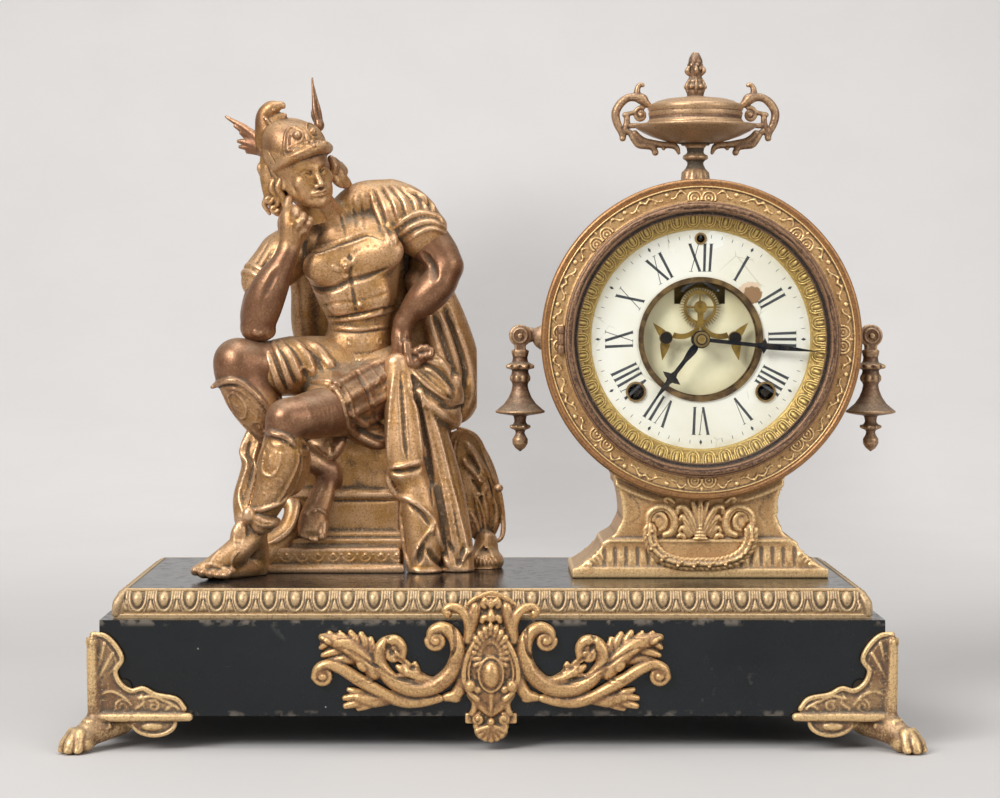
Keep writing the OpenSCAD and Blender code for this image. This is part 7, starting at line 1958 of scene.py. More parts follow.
def sculpt_ornament():
    c = Clay((74, -33, 80), (139, -24.2, 122), 0.42)
    wall = -25.6

    def row(px, py, out, r):
        p = ped(px, py)
        return (p[0], wall - out, p[2], r)

    for side in (-1, 1):
        s = lambda px: 787 + side * (787 - px)
        c.limb([row(s(px), py, o, r) for px, py, o, r in (
            (508, 468, 1.6, 1.4), (496, 420, 2.0, 1.7), (502, 368, 2.2, 1.9), (540, 334, 2.4, 2.0), (592, 330, 2.4, 2.1),
            (632, 366, 2.4, 2.2), (644, 420, 2.2, 2.1), (626, 464, 2.0, 1.9), (590, 480, 1.8, 1.5))], 0.5)
        c.limb([row(s(px), py, o, r) for px, py, o, r in (
            (528, 400, 1.6, 1.2), (540, 368, 1.8, 1.3), (572, 366, 2.0, 1.4), (594, 396, 2.0, 1.4), (588, 436, 1.8, 1.3), (562, 456, 1.6, 1.0))], 0.4)
        c.egg((ped(s(560), 410)[0], wall - 1.4, ped(0, 410)[2]), (2.4, 1.6, 3.6), soft=0.8)
        for rows in (
            ((768, 470, 1.6, 2.0), (742, 400, 2.2, 2.0), (700, 330, 2.4, 1.9), (668, 330, 2.4, 1.5), (660, 356, 2.2, 1.1)),
            ((740, 470, 1.4, 1.8), (716, 420, 2.0, 1.7), (690, 380, 2.0, 1.4), (676, 396, 1.8, 1.0)),
            ((726, 480, 1.2, 1.6), (704, 450, 1.8, 1.5), (686, 440, 1.8, 1.2), (672, 458, 1.6, 1.0)),
            ((700, 492, 1.0, 1.4), (682, 482, 1.6, 1.3), (664, 488, 1.4, 1.0)),
            ((778, 440, 1.6, 1.6), (764, 360, 2.4, 1.7), (746, 300, 2.2, 1.2)),
            ((640, 300, 1.2, 1.2), (612, 276, 1.8, 1.3), (592, 286, 1.6, 1.0), (604, 304, 1.4, 0.8)),
        ):
            c.limb([row(s(px), py, o, r) for px, py, o, r in rows], 0.5)
        for line in ([(764, 462), (738, 400), (702, 344)], [(742, 466), (716, 424), (694, 396)], [(505, 440), (508, 376), (546, 344), (590, 342), (622, 372), (632, 418)]):
            c.groove([ped(s(px), py) for px, py in line], 0.5, 0.85, 0.2, way=(0, 1, 0))
    c.limb([row(787, 480, 1.8, 1.8), row(787, 380, 2.8, 2.0), row(787, 320, 2.6, 1.6), row(787, 284, 2.0, 1.0)], 0.5)
    c.groove([ped(787, 420), ped(787, 360), ped(787, 300)], 0.4, 0.9, 0.15, way=(0, 1, 0))
    for py, half in ((428, 0.5), (446, 1.0), (464, 1.7), (482, 2.5), (498, 3.4)):
        c.limb([row(787 - half * 10.88, py + 3, 3.4, 0.65), row(787, py, 3.9, 0.85), row(787 + half * 10.88, py + 3, 3.4, 0.65)], 0.25)
    path = [(506, 440), (506, 500), (530, 560), (580, 606), (650, 632), (720, 642), (787, 640)]
    path += [(2 * 787 - px, py) for px, py in path[-2::-1]]
    rows = curve(np.array([row(px, py, 2.9, 2.3) for px, py in path]), 90)
    c.limb(rows, 0.3)
    steps = rows[:: max(1, len(rows) // 24)]
    for k, (a, b) in enumerate(zip(steps[:-1], steps[1:])):
        run = b[:3] - a[:3]
        angle = math.degrees(math.atan2(run[2], run[0]))
        inward = 1 if a[0] < CLOCK_X else -1
        for lean, lift in ((28, 0.9), (-28, 0.9), (0, 2.0)):
            mid = a[:3] + np.array([0, -lift, 0])
            off = math.radians(angle + 90)
            mid = mid + np.array([math.cos(off), 0, math.sin(off)]) * (1.9 if lean > 0 else -1.9 if lean < 0 else 0) * inward
            c.egg(mid, (2.9, 1.25, 1.25), (0, -(angle + lean * inward), 0), 0.15)
        if k % 3 == 1:
            c.egg(a[:3] + (1.2, -2.9, 0.8), (0.95, 0.95, 0.95), soft=0.15)
            c.egg(a[:3] + (-0.9, -2.8, -1.2), (0.85, 0.85, 0.85), soft=0.15)
    x, y, z = c.axes[0][:, None, None] - CLOCK_X, c.axes[1][None, :, None], c.axes[2][None, None, :]
    drum = DRUM_R + 2.2 - np.sqrt(x * x + (z - AXIS_Z) ** 2)
    c.field = np.maximum(np.maximum(c.field, drum), y - (wall + 0.9)).astype(np.float32)
    return from_clay("pedestal_ornament_cast", c)


def hump(value, width):
    return np.exp(-((value / width) ** 2))


def front_ring_height(a, r):
    """Rolled rim outside, and a sunk band with paired arches, studs and leaf scrolls."""
    rim = 1.75 * np.sqrt(np.clip(1 - ((r - 79.75) / 1.75) ** 2, 0, 1)) + 2.35
    edge = 1.2 * hump(r - 77.5, 0.5)
    floor = 3.35 - 0.9 * np.clip(1 - np.abs(r - 74) / 4.0, 0, 1) ** 0.7
    turn = math.radians(45)
    near = (a - turn / 2) % turn - turn / 2
    s = near * 74.3
    mirror = np.abs(s)
    y = r - 71.6
    arches = 1.0 * hump(np.hypot(mirror - 3.7, y) - 3.5, 0.55) + 0.7 * hump(np.hypot(mirror - 3.7, y) - 1.9, 0.45)
    arches += 0.8 * hump(np.hypot(mirror - 3.7, y), 0.7) + 0.9 * hump(mirror, 0.6) * hump(y - 4.2, 1.1)
    studs = 1.25 * np.sqrt(np.clip(1 - (np.hypot(mirror - 17.7, r - 75.1) / 1.25) ** 2, 0, 1))
    wave = 74.3 + 1.5 * np.sin((mirror - 8.4) * 0.72)
    leaf = 0.9 * hump(r - wave, 0.6) * (mirror > 8.0) * (mirror < 15.6)
    leaf += 0.7 * hump(np.hypot(mirror - 10.6, r - 75.9), 1.0) + 0.7 * hump(np.hypot(mirror - 13.2, r - 73.0), 1.0)
    far = 29.2 - mirror
    spray = 0.95 * hump(r - (74.2 + 1.3 * np.sin(far * 0.62)), 0.65) * (far < 8.8)
    spray += 0.75 * hump(np.hypot(far - 2.4, r - 76.0), 0.9) + 0.75 * hump(np.hypot(far - 5.0, r - 72.8), 0.9) + 0.8 * hump(np.hypot(far, r - 74.2), 1.3)
    grit = 0.1 * np.sin(s * 5.3 + r * 3.1) * np.sin(s * 3.7 - r * 6.2)
    band = floor + np.where((r > 70.6) & (r < 77.4), np.maximum.reduce([arches, studs, leaf, spray]) + grit, 0)
    return np.where(r > 78.0, rim, np.maximum(band, 3.0 + edge * (r > 76.9)))


def sight_ring_height(a, r):
    """Sloped ring with a tongue pattern, its round ends towards the dial."""
    base = np.interp(r, [55.8, 56.6, 58.4, 62.0, 65.6], [0.2, 1.3, 2.3, 4.0, 6.0])
    pitch = 2 * math.pi / 46
    s = ((a + pitch / 2) % pitch - pitch / 2) * 61.0
    y = r - 60.0
    around = np.where(y > 0, np.abs(s), np.hypot(s, y * 1.05))
    tongues = 0.75 * hump(around - 1.9, 0.36) + 0.7 * hump(around - 3.1, 0.4)
    tongues += 0.9 * np.clip(1 - (np.abs(s) / 1.15) ** 2 - (np.abs(y - 0.6) / 2.4) ** 2, 0, 1) ** 0.5
    side = 4.17 - np.abs(s)
    darts = 0.65 * hump(side, 0.35) * (r > 60.8)
    shown = np.clip((r - 56.8) / 0.6, 0, 1) * np.clip((65.0 - r) / 0.6, 0, 1)
    edge = 0.5 * hump(r - 65.2, 0.4) + 0.3 * hump(r - 56.4, 0.35)
    return base + (tongues + darts) * shown + edge


def scarred(a, r, cells, seed):
    """Even random bumps from -1 to 1 on a ring, with that many cells round it."""
    table = np.random.default_rng(seed).uniform(-1, 1, (cells, 12))
    u, v = (a / (2 * math.pi)) % 1 * cells, np.clip((r - 62) / 8, 0, 0.999) * 10
    i, j = u.astype(int) % cells, v.astype(int)
    fu, fv = (u % 1) ** 2 * (3 - 2 * (u % 1)), (v % 1) ** 2 * (3 - 2 * (v % 1))
    near = table[i, j] * (1 - fv) + table[i, j + 1] * fv
    far = table[(i + 1) % cells, j] * (1 - fv) + table[(i + 1) % cells, j + 1] * fv
    return near * (1 - fu) + far * fu


def bezel_height(a, r):
    """Rounded iron rim with a worn, uneven skin and the lip that holds the glass."""
    lip = 1.6
    round_rim = 5.2 * np.sqrt(np.clip(1 - ((r - 67.4) / 3.0) ** 2, 0, 1)) * 0.62 + 1.7
    torn = 0.3 + 0.7 * hump(np.angle(np.exp(1j * (a - 1.2))), 0.75)
    wear = 0.7 * scarred(a, r, 60, 5) * torn * hump(r - 66.2, 1.3) + 0.22 * scarred(a, r, 200, 6) * torn + 0.06 * scarred(a, r, 400, 7)
    line = 0.45 * hump(r - 65.5, 0.35) - 0.5 * hump(r - 68.9, 0.3)
    return np.where(r < 64.72, lip, np.clip(round_rim + wear * (r > 65.0) * (r < 69.6) + line, 0.4, 5.15))


def stroke(points, faces, a, b, wide_a, wide_b, at_r, angle, depth):
    """One stroke of a numeral between places given in its own frame, turned to its hour."""
    a, b = np.array(a, float), np.array(b, float)
    way = b - a
    side = np.array([-way[1], way[0]]) / max(np.linalg.norm(way), 1e-6)
    corners = [a + side * wide_a / 2, a - side * wide_a / 2, b - side * wide_b / 2, b + side * wide_b / 2]
    c, s = math.cos(angle), math.sin(angle)
    start = len(points)
    for out in (0.0, depth):
        for p in corners:
            across, up = p[0], p[1] + at_r
            points.append((CLOCK_X + across * c + up * s, DIAL_Y - out, AXIS_Z - across * s + up * c))
    faces += [(start + 4, start + 7, start + 6, start + 5), (start, start + 1, start + 2, start + 3)]
    faces += [(start + k, start + 4 + k, start + 4 + (k + 1) % 4, start + (k + 1) % 4) for k in range(4)]


def numeral_mesh():
    """Roman numerals that stand on the ring's inner edge, as on an old enamel dial."""
    low, high = 34.6, 48.6
    tall = high - low
    forms = ("XII", "I", "II", "III", "IIII", "V", "VI", "VII", "VIII", "IX", "X", "XI")
    step = {"I": 3.0, "V": 6.6, "X": 7.0}
    points, faces = [], []
    for hour, text in enumerate(forms):
        angle = math.radians(30 * hour)
        width = sum(step[letter] for letter in text)
        x = -width / 2
        for letter in text:
            w = step[letter]
            mid = x + w / 2
            lean = mid / (low + tall / 2)
            spread = lambda px, py: (px + (py - tall / 2) * lean * 0.55, py)
            if letter == "I":
                stroke(points, faces, spread(mid, 0), spread(mid, tall), 1.25, 1.45, low, angle, 0.07)
                ends = [(mid - 1.1, mid + 1.1)]
            elif letter == "V":
                stroke(points, faces, spread(mid - 2.1, tall), spread(mid + 0.15, 0), 1.4, 1.2, low, angle, 0.07)
                stroke(points, faces, spread(mid + 2.2, tall), spread(mid + 0.3, 0), 0.35, 0.3, low, angle, 0.07)
                ends = [(mid - 3.1, mid - 1.1), (mid + 1.4, mid + 3.0)]
            else:
                stroke(points, faces, spread(mid - 2.3, tall), spread(mid + 2.3, 0), 1.4, 1.3, low, angle, 0.07)
                stroke(points, faces, spread(mid + 2.2, tall), spread(mid - 2.2, 0), 0.35, 0.35, low, angle, 0.07)
                ends = [(mid - 3.2, mid - 1.3), (mid + 1.3, mid + 3.1)]
            for a, b in ends:
                stroke(points, faces, spread(a, tall), spread(b, tall), 0.22, 0.22, low, angle, 0.07)
                if letter != "V":
                    stroke(points, faces, spread(a, 0), spread(b, 0), 0.22, 0.22, low, angle, 0.07)
            x += w
    return plain_mesh("numerals", points, faces)


def prism(name, outline, depth):
    """A thin plate from places across and up, its face towards the viewer."""
    n = len(outline)
    points = [(x, -out, z) for out in (0.0, depth) for x, z in outline]
    faces = [tuple(range(n)), tuple(range(2 * n - 1, n - 1, -1))]
    faces += [(k, n + k, n + (k + 1) % n, (k + 1) % n) for k in range(n)]
    mesh = plain_mesh(name, points, faces)
    if mesh.polygons[0].normal.y < 0:
        mesh.flip_normals()
    return mesh


def urn_at(px, py, y, r):
    return (CLOCK_X + (px - 757) / 16.45, y, 348.5 - (py - 60) / 16.45, r)


def sculpt_handles():
    c = Clay((60, -4.5, 292), (153, 4.5, 336), 0.42)
    for side in (-1, 1):
        def row(px, py, y, r):
            p = urn_at(px, py, y, r)
            return (CLOCK_X + (p[0] - CLOCK_X) * -side, p[1], p[2], p[3])

        tube = lambda rows, soft=0.4: c.limb([row(px, py, y, 1.38 * r) for px, py, y, r in rows], soft)
        tube(((352, 520, 0, 1.1), (322, 490, 0, 1.7), (288, 462, 0, 2.0), (240, 448, 0, 1.7), (176, 456, 0, 1.5), (118, 498, 0, 1.6), (78, 560, 0, 1.6), (72, 620, 0, 1.6), (92, 690, 0, 1.5), (120, 750, 0, 1.2), (132, 802, 0, 1.0)))
        c.egg(row(298, 462, 0, 1)[:3], (3.0, 2.4, 2.6), soft=0.8)
        c.egg(row(346, 508, 0, 1)[:3], (1.9, 1.6, 1.4), soft=0.5)
        tube(((262, 440, 0, 1.4), (256, 396, 0, 1.2), (268, 356, 0, 1.0), (290, 340, 0, 0.9), (304, 346, 0, 0.8)))
        c.egg(row(306, 452, -2.0, 1)[:3], (0.7, 0.6, 0.6), soft=0.1)
        c.egg(row(306, 452, 2.0, 1)[:3], (0.7, 0.6, 0.6), soft=0.1)
        spin = np.linspace(0, 1, 22)
        curl = [row(288 + (56 - 40 * q) * math.cos(1.2 + 8.2 * q), 598 + (64 - 48 * q) * math.sin(-1.2 - 8.2 * q) * 1.0, 0, 1.15 - 0.2 * q) for q in spin]
        c.limb(curl, 0.3, count=60)
        c.egg(row(290, 600, 0, 1)[:3], (1.5, 1.5, 1.5), soft=0.3)
        tube(((150, 600, 0, 1.0), (190, 590, 0, 0.9), (232, 580, 0, 0.9)))
        tube(((170, 605, 0, 1.1), (166, 680, 0, 1.2), (150, 740, 0, 1.1), (136, 800, 0, 1.0)))
        c.egg(row(132, 804, 0, 1)[:3], (1.7, 1.7, 1.5), soft=0.3)
        tube(((160, 690, 0, 1.1), (210, 694, 0, 1.0), (268, 690, 0, 1.0)))
        tube(((170, 740, 0, 1.2), (200, 760, 0, 1.2), (230, 800, 0, 1.5), (270, 852, 0, 1.5), (330, 862, 0, 1.5), (380, 872, 0, 1.4), (404, 900, 0, 1.2), (412, 922, 0, 1.3)))
        tube(((236, 760, 0, 1.3), (270, 800, 0, 1.5), (320, 830, 0, 1.5), (400, 846, 0, 1.4), (470, 856, 0, 1.3), (560, 862, 0, 1.3), (596, 884, 0, 1.1), (614, 926, 0, 0.7)))
        c.egg(row(236, 822, 0, 1)[:3], (1.5, 1.6, 1.5), soft=0.3)
        c.egg(row(484, 884, 0, 1)[:3], (1.2, 1.3, 1.3), soft=0.3)
        for px, py in ((150, 470), (100, 540), (84, 640), (108, 700)):
            c.egg(row(px, py, -1.4, 1)[:3], (1.0, 0.8, 1.0), soft=0.3)
            c.egg(row(px, py, 1.4, 1)[:3], (1.0, 0.8, 1.0), soft=0.3)
    return from_clay("urn_handles_cast", c)


def urn_finial():
    """Turned pine-cone finial with leaves, above the lid's neck."""
    c = Clay((99, -8, 324), (114, 8, 350), 0.34)
    x = CLOCK_X
    c.limb([(x, 0, 324.6, 4.3), (x, 0, 326.6, 4.2)], 0.3)
    for z, r in ((327.6, 4.5), (330.2, 5.3), (333, 4.4), (336, 3.3), (338.2, 3.5)):
        c.egg((x, 0, z), (r, r, 2.4), soft=1.2)
    c.egg((x, 0, 342.4), (3.7, 3.7, 5.9), soft=0.8)
    for k in range(6):
        a = 2 * math.pi * k / 6 + math.pi / 6
        ca, sa = math.cos(a), math.sin(a)
        c.limb([(x + 3.0 * ca, 3.0 * sa, 336.4, 0.9), (x + 4.9 * ca, 4.9 * sa, 338.4, 1.2), (x + 4.2 * ca, 4.2 * sa, 340.2, 0.9)], 0.3)
        c.limb([(x + 3.2 * ca, 3.2 * sa, 335, 0.6), (x + 5.3 * ca, 5.3 * sa, 331, 0.8), (x + 4.6 * ca, 4.6 * sa, 328, 0.8)], 0.2)
        b = a + math.pi / 6
        c.egg((x + 5.0 * math.cos(b), 5.0 * math.sin(b), 330.2), (1.1, 1.1, 1.2), soft=0.3)
    for j in range(5):
        z, r = 339.6 + 1.9 * j, (3.5, 3.4, 2.9, 2.1, 1.2)[j]
        for k in range(7):
            a = 2 * math.pi * (k + 0.5 * (j % 2)) / 7
            c.egg((x + r * math.cos(a), r * math.sin(a), z), (0.9, 0.9, 1.2), soft=0.2)
    top = 348.45
    c.field = np.maximum(c.field, (c.axes[2] - top)[None, None, :]).astype(np.float32)
    return from_clay("urn_finial", c)


def turned_piece(name, profile, at_x, steps=96, wave=None):
    points, faces = lathe(profile, (at_x, 0), steps, wave)
    mesh = plain_mesh(name, points, faces)
    outwards(mesh)
    return mesh


def outwards(mesh):
    """Turns a closed mesh's faces to the outside."""
    mesh.calc_loop_triangles()
    co = np.zeros(len(mesh.vertices) * 3)
    mesh.vertices.foreach_get("co", co)
    tri = np.zeros(len(mesh.loop_triangles) * 3, np.int32)
    mesh.loop_triangles.foreach_get("vertices", tri)
    a, b, c = co.reshape(-1, 3)[tri.reshape(-1, 3)].transpose(1, 0, 2)
    if np.einsum("ij,ij->i", a, np.cross(b, c)).sum() < 0:
        mesh.flip_normals()
    return mesh


def smooth_profile(rows, count=70):
    return [tuple(p) for p in curve(np.array(rows, float), count)]


def sculpt_pendant():
    """The pendant at the viewer's right, its axis on x = 0 until it is set in place."""
    x, top = 0.0, 200.4
    c = Clay((-15, -15, 138), (15, 15, 208), 0.5)
    xx, yy, zz = c.axes[0][:, None, None], c.axes[1][None, :, None], c.axes[2][None, None, :]
    profile = np.array([
        (139.9, 0.3), (140.8, 1.2), (141.6, 2.4), (144.0, 4.0), (146.4, 4.1), (148.6, 2.8), (149.8, 2.3), (151.0, 2.7), (152.0, 4.8), (153.2, 5.3),
        (154.2, 3.8), (155.4, 3.0), (157.2, 3.2), (158.6, 3.6), (159.4, 9.0), (160.2, 12.9), (161.0, 13.0), (162.4, 11.2), (165.0, 8.2), (168.4, 5.9),
        (172.0, 4.5), (174.4, 4.0), (175.6, 4.2), (177.0, 4.9), (179.4, 5.0), (181.2, 4.4), (182.4, 4.2), (183.4, 6.6), (184.4, 7.1), (185.6, 6.4),
        (186.6, 4.2), (189.0, 3.8), (191.0, 4.4), (192.6, 4.6), (193.4, 3.2),
    ])
    radius = np.interp(zz, profile[:, 0], profile[:, 1])
    slope = np.gradient(np.interp(c.axes[2], profile[:, 0], profile[:, 1]), c.cell)[None, None, :]
    d = (np.sqrt(xx * xx + yy * yy) - radius) / np.sqrt(1 + slope * slope)
    d = np.maximum(d, np.maximum(139.9 - zz, zz - 193.4))
    c.field = np.clip(d, -c.FAR, c.FAR).astype(np.float32)
    for k in range(8):
        a = 2 * math.pi * (k + 0.5) / 8
        ca, sa = math.cos(a), math.sin(a)
        c.egg((4.2 * ca, 4.2 * sa, 178.2), (1.5, 1.5, 2.2), soft=0.4)
        c.egg((6.6 * ca, 6.6 * sa, 184.3), (1.4, 1.4, 1.2), soft=0.4)
        c.egg((6.9 * math.cos(a + 0.39), 6.9 * math.sin(a + 0.39), 184.3), (0.9, 0.9, 1.6), soft=0.3, carve=True)
        c.egg((5.0 * ca, 5.0 * sa, 153.0), (0.9, 0.9, 1.0), soft=0.3)
    c.egg((0, 0, 151.6), (2.6, 2.6, 1.0), soft=0.3)
    for s in (-1, 1):
        y = s * 3.1
        c.slab((-2.9, y - 0.85, 189.5), (2.9, y + 0.85, 200), 0.4, 0.6)
        for k in range(2):
            c.limb([(0, y - 0.25, top - 0.0, 5.75), (0, y + 0.25, top, 5.75)], 0.2, flat=((0, 1, 0), 0.16))
        c.limb([(3.6 * math.cos(a), s * 4.1, top + 3.6 * math.sin(a), 0.5) for a in np.linspace(0, 2 * math.pi, 19)], 0.2, count=54)
    c.slab((-8, -2.2, 194.2), (8, 2.2, 209), 0.0, 0.0, carve=True)
    hole = 1.45 - np.sqrt(xx * xx + (zz - top) ** 2)
    c.field = np.maximum(c.field, hole).astype(np.float32)
    return from_clay("pendant", c)


def sculpt_bracket():
    """The bracket of the viewer's right pendant: a lug from the drum, its eye and the rivet."""
    pz, reach = 200.4, 91.5
    c = Clay((74, -8, 186), (100, 8, 210), 0.42)
    c.limb([(reach - 0.05, 0, pz, 5.4), (reach + 0.05, 0, pz, 5.4)], 0.2, flat=((0, 1, 0), 0.33))
    c.limb([(78.5, 0, pz - 1, 6.8), (80.5, 0, pz, 5.0), (83.4, 0, pz + 0.8, 3.3), (88.5, 0, pz + 0.3, 4.4)], 0.8, flat=((0, 1, 0), 0.6))
    for s in (-1, 1):
        c.egg((reach, s * 5.2, pz), (2.4, 1.0, 2.4), soft=0.3)
    c.limb([(reach, -5.0, pz, 1.3), (reach, 5.0, pz, 1.3)], 0.0)
    y = c.axes[1][None, :, None]
    x, z = c.axes[0][:, None, None], c.axes[2][None, None, :]
    drum = DRUM_R - 0.05 - np.sqrt(x * x + (z - AXIS_Z) ** 2)
    c.field = np.maximum(c.field, drum)
    near_eye = (np.hypot(x - reach, z - pz) < 7) & (np.hypot(x - reach, z - pz) > 1.5)
    c.field = np.where(near_eye, np.maximum(c.field, np.abs(y) - 1.9), c.field).astype(np.float32)
    return from_clay("bracket", c)


def knob_on_clock(mesh, mirror):
    """Sets a piece made for the viewer's right beside the drum."""
    if mirror:
        mesh.transform(Matrix.Diagonal((-1, 1, 1, 1)))
        mesh.flip_normals()
    mesh.transform(Matrix.Translation((CLOCK_X * MM, 0, 0)))
    return mesh


def add_pedestal(trim):
    link("pedestal_cast", sculpt_pedestal(), trim, nodes=["pedestal"], slot="gilt")
    link("pedestal_ornament_cast", sculpt_ornament(), trim, nodes=["pedestal_ornament"], slot="gilt")


def add_rings(trim, rim_metal, iron, sight_gilt):
    ring_object("drum_band", ring_relief(66.0, 77.9, -34.5, front_ring_height, 1320, 42), trim, nodes=["drum_front_ring"], slot="gilt")
    ring_object("drum_rolled_rim", ring_relief(77.95, 81.5, -34.5, front_ring_height, 360, 14), rim_metal, slot="gilt")
    ring_object("sight_ring_cast", ring_relief(55.82, 65.66, DIAL_Y, sight_ring_height, 1104, 34), sight_gilt, nodes=["sight_ring"], slot="gilt")
    ring_object("bezel_cast", ring_relief(62.75, 69.88, -38.3, bezel_height, 900, 22), iron, nodes=["bezel_rim"], slot="bronzed", body="door")
    points, faces = lathe([(1.8, -2.7), (1.9, -2.4), (1.9, 2.4), (1.8, 2.7)], (0, 0), 24)
    knuckle = outwards(plain_mesh("bezel_knuckle", points, faces))
    knuckle.transform(Matrix.Translation(((CLOCK_X - 71.6) * MM, -40.5 * MM, AXIS_Z * MM)))
    link("bezel_knuckle", knuckle, iron, slot="bronzed", body="door")
    points, faces = lathe([(1.9, -7.0), (2.0, -6.7), (2.0, -3.3), (1.9, -3.0)], (0, 0), 24)
    for label, side in (("low", -1), ("high", 1)):
        lug = outwards(plain_mesh("hinge_lug_" + label, points, faces))
        lug.transform(Matrix.Translation(((CLOCK_X - 71.6) * MM, -40.5 * MM, (AXIS_Z + (10 if side > 0 else 0)) * MM)))
        link("hinge_lug_" + label, lug, iron, slot="bronzed")


def add_dial(enamel, ink, brass_rim, pattern):
    dress("dial_ring", enamel)
    link("dial_numerals", numeral_mesh(), ink, slot="dial_enamel", smooth=False)
    tree = round_dial_tree()
    centre = (CLOCK_X * MM, DIAL_Y * MM, AXIS_Z * MM)
    tick = prism("tick", [(-0.13, 51.6), (0.13, 51.6), (0.13, 53.4), (-0.13, 53.4)], 0.06)
    grown("dial_minute_ticks", tree, ink, tick, {"Centre": centre, "Count": pattern.minutes, "Start": 0.0}, slot="dial_enamel", smooth=False)
    dot = prism("hour_diamond", [(0, 51.1), (0.75, 52.4), (0, 53.8), (-0.75, 52.4)], 0.09)
    grown("dial_hour_marks", tree, ink, dot, {"Centre": centre, "Count": 12, "Start": 0.0}, slot="dial_enamel", smooth=False)


def add_urn(bronze):
    r = [
        (0, 275.8), (8, 275.8), (8.6, 279.0), (8.5, 280.2), (7.6, 281.6), (7.2, 283.4), (6.9, 285.6), (5.2, 287.6), (4.3, 289.4), (4.2, 290.8), (5.0, 291.8), (6.5, 292.6),
        (6.7, 293.4), (6.4, 294.4), (4.9, 295.2), (4.25, 296.2), (4.6, 298.0), (5.5, 299.2), (5.4, 299.6), (0, 299.6),
    ]
    stem = turned_piece("urn_stem_turned", r, CLOCK_X, 72, lambda a, rr, h: 0.28 * math.cos(10 * a) if 282.5 < h < 286.5 and rr > 6 else 0.0)
    link("urn_stem_turned", stem, bronze, nodes=["urn_stem"], slot="bronzed")
    bowl = [
        (0, 299.6), (7.2, 299.6), (7.6, 300.4), (11, 301.0), (17, 302.4), (23, 304.4), (27.6, 306.6), (30.6, 308.4), (31.8, 309.4), (32, 309.9), (31.6, 310.5),
        (30.4, 310.6), (27, 309.9), (24.3, 309.3), (20, 309.2), (10, 303.6), (0, 303.2),
    ]
    link("urn_bowl_turned", turned_piece("urn_bowl_turned", bowl, CLOCK_X, 120), bronze, nodes=["urn_bowl"], slot="bronzed")
    lid = [
        (0, 310.0), (24.0, 310.0), (25.4, 310.6), (25.5, 311.6), (24.6, 312.6), (24.0, 313.4), (24.3, 315.0), (24.7, 316.4), (24.2, 317.4), (24.8, 318.2), (25.0, 319.4),
        (24.6, 320.6), (23.4, 321.2), (21.6, 321.8), (20.4, 322.6), (16, 323.8), (11, 324.4), (7, 324.9), (4.8, 325.2), (4.2, 325.6), (0, 325.6),
    ]
    link("urn_lid_turned", turned_piece("urn_lid_turned", lid, CLOCK_X, 120), bronze, nodes=["urn_lid"], slot="bronzed")
    link("urn_finial_cast", urn_finial(), bronze, slot="bronzed")
    link("urn_handles_cast", sculpt_handles(), bronze, nodes=["urn_handles"], slot="bronzed")


def add_pendants(bronze):
    pendant, bracket = sculpt_pendant(), sculpt_bracket()
    pendant.transform(Matrix.Translation((91.5 * MM, 0, 0)))
    for label, mirror in (("left", True), ("right", False)):
        link("pendant_" + label + "_cast", knob_on_clock(pendant.copy(), mirror), bronze, nodes=["pendant_" + label], slot="bronzed", body=label + "_pendant")
    for label, mirror in (("left", True), ("right", False)):
        link("bracket_" + label + "_cast", knob_on_clock(bracket.copy(), mirror), bronze, nodes=["pendant_brackets"] if mirror else (), slot="bronzed")


def dial_enamel():
    """Cream enamel with fine cracks, a brown chip and a paler mended patch."""
    f = Finish("dial_enamel")
    place = f.place()
    x, z = f.part(place, "X"), f.part(place, "Z")
    across, up = x - CLOCK_X * MM, z - AXIS_Z * MM
    warm = f.noise(42, 3)
    body = f.mix(warm.above(0.35, 0.7), rgb("#f2efe4"), rgb("#e9e4d2"))

    def patch(cx, cz, wide, tall, size, edge=0.12):
        dx, dz = (across - cx * MM) / (wide * MM), (up - cz * MM) / (tall * MM)
        reach = (dx * dx + dz * dz) ** 0.5
        return 1 - (reach + (f.noise(size, 4) - 0.5) * 1.1).above(1 - edge, 1 + edge)

    mend = patch(6.4, 50.6, 5.4, 4.0, 5, 0.1)
    chip = patch(25.0, 23.4, 6.6, 5.2, 5, 0.06)
    raw = patch(26.4, 22.6, 4.4, 4.2, 3, 0.08)
    cells = f.node("ShaderNodeTexVoronoi", {"feature": "DISTANCE_TO_EDGE"}, {"Vector": f.place(), "Scale": 46.0, "Randomness": 1.0}, "Distance")
    cracks = (1 - cells.above(0.0, 0.018)) * f.noise(24, 3).above(0.52, 0.6)
    radius = (across * across + up * up) ** 0.5
    rim = radius.above(0.0515, 0.0556) * 0.5 + (1 - radius.above(0.031, 0.0335)) * 0.35
    colour = f.mix((rim * f.noise(12, 3).above(0.3, 0.7)).clipped(), body, rgb("#c9bd93"))
    colour = f.mix(cracks * 0.4, colour, rgb("#8d8468"))
    colour = f.mix(mend * 0.75, colour, rgb("#f4f3ec"))
    colour = f.mix(chip * 0.8, colour, rgb("#d9b795"))
    colour = f.mix(raw, colour, rgb("#94704c"))
    return f.surface(
        Base_Color=colour,
        Roughness=(0.22 + chip * 0.5 + mend * 0.2 + f.noise(9, 3) * 0.08).clipped(),
        Coat_Weight=0.25,
        Normal=f.bump(0 - chip - cracks * 0.3 + f.noise(20, 2) * 0.3, 0.12, 0.6),
    )


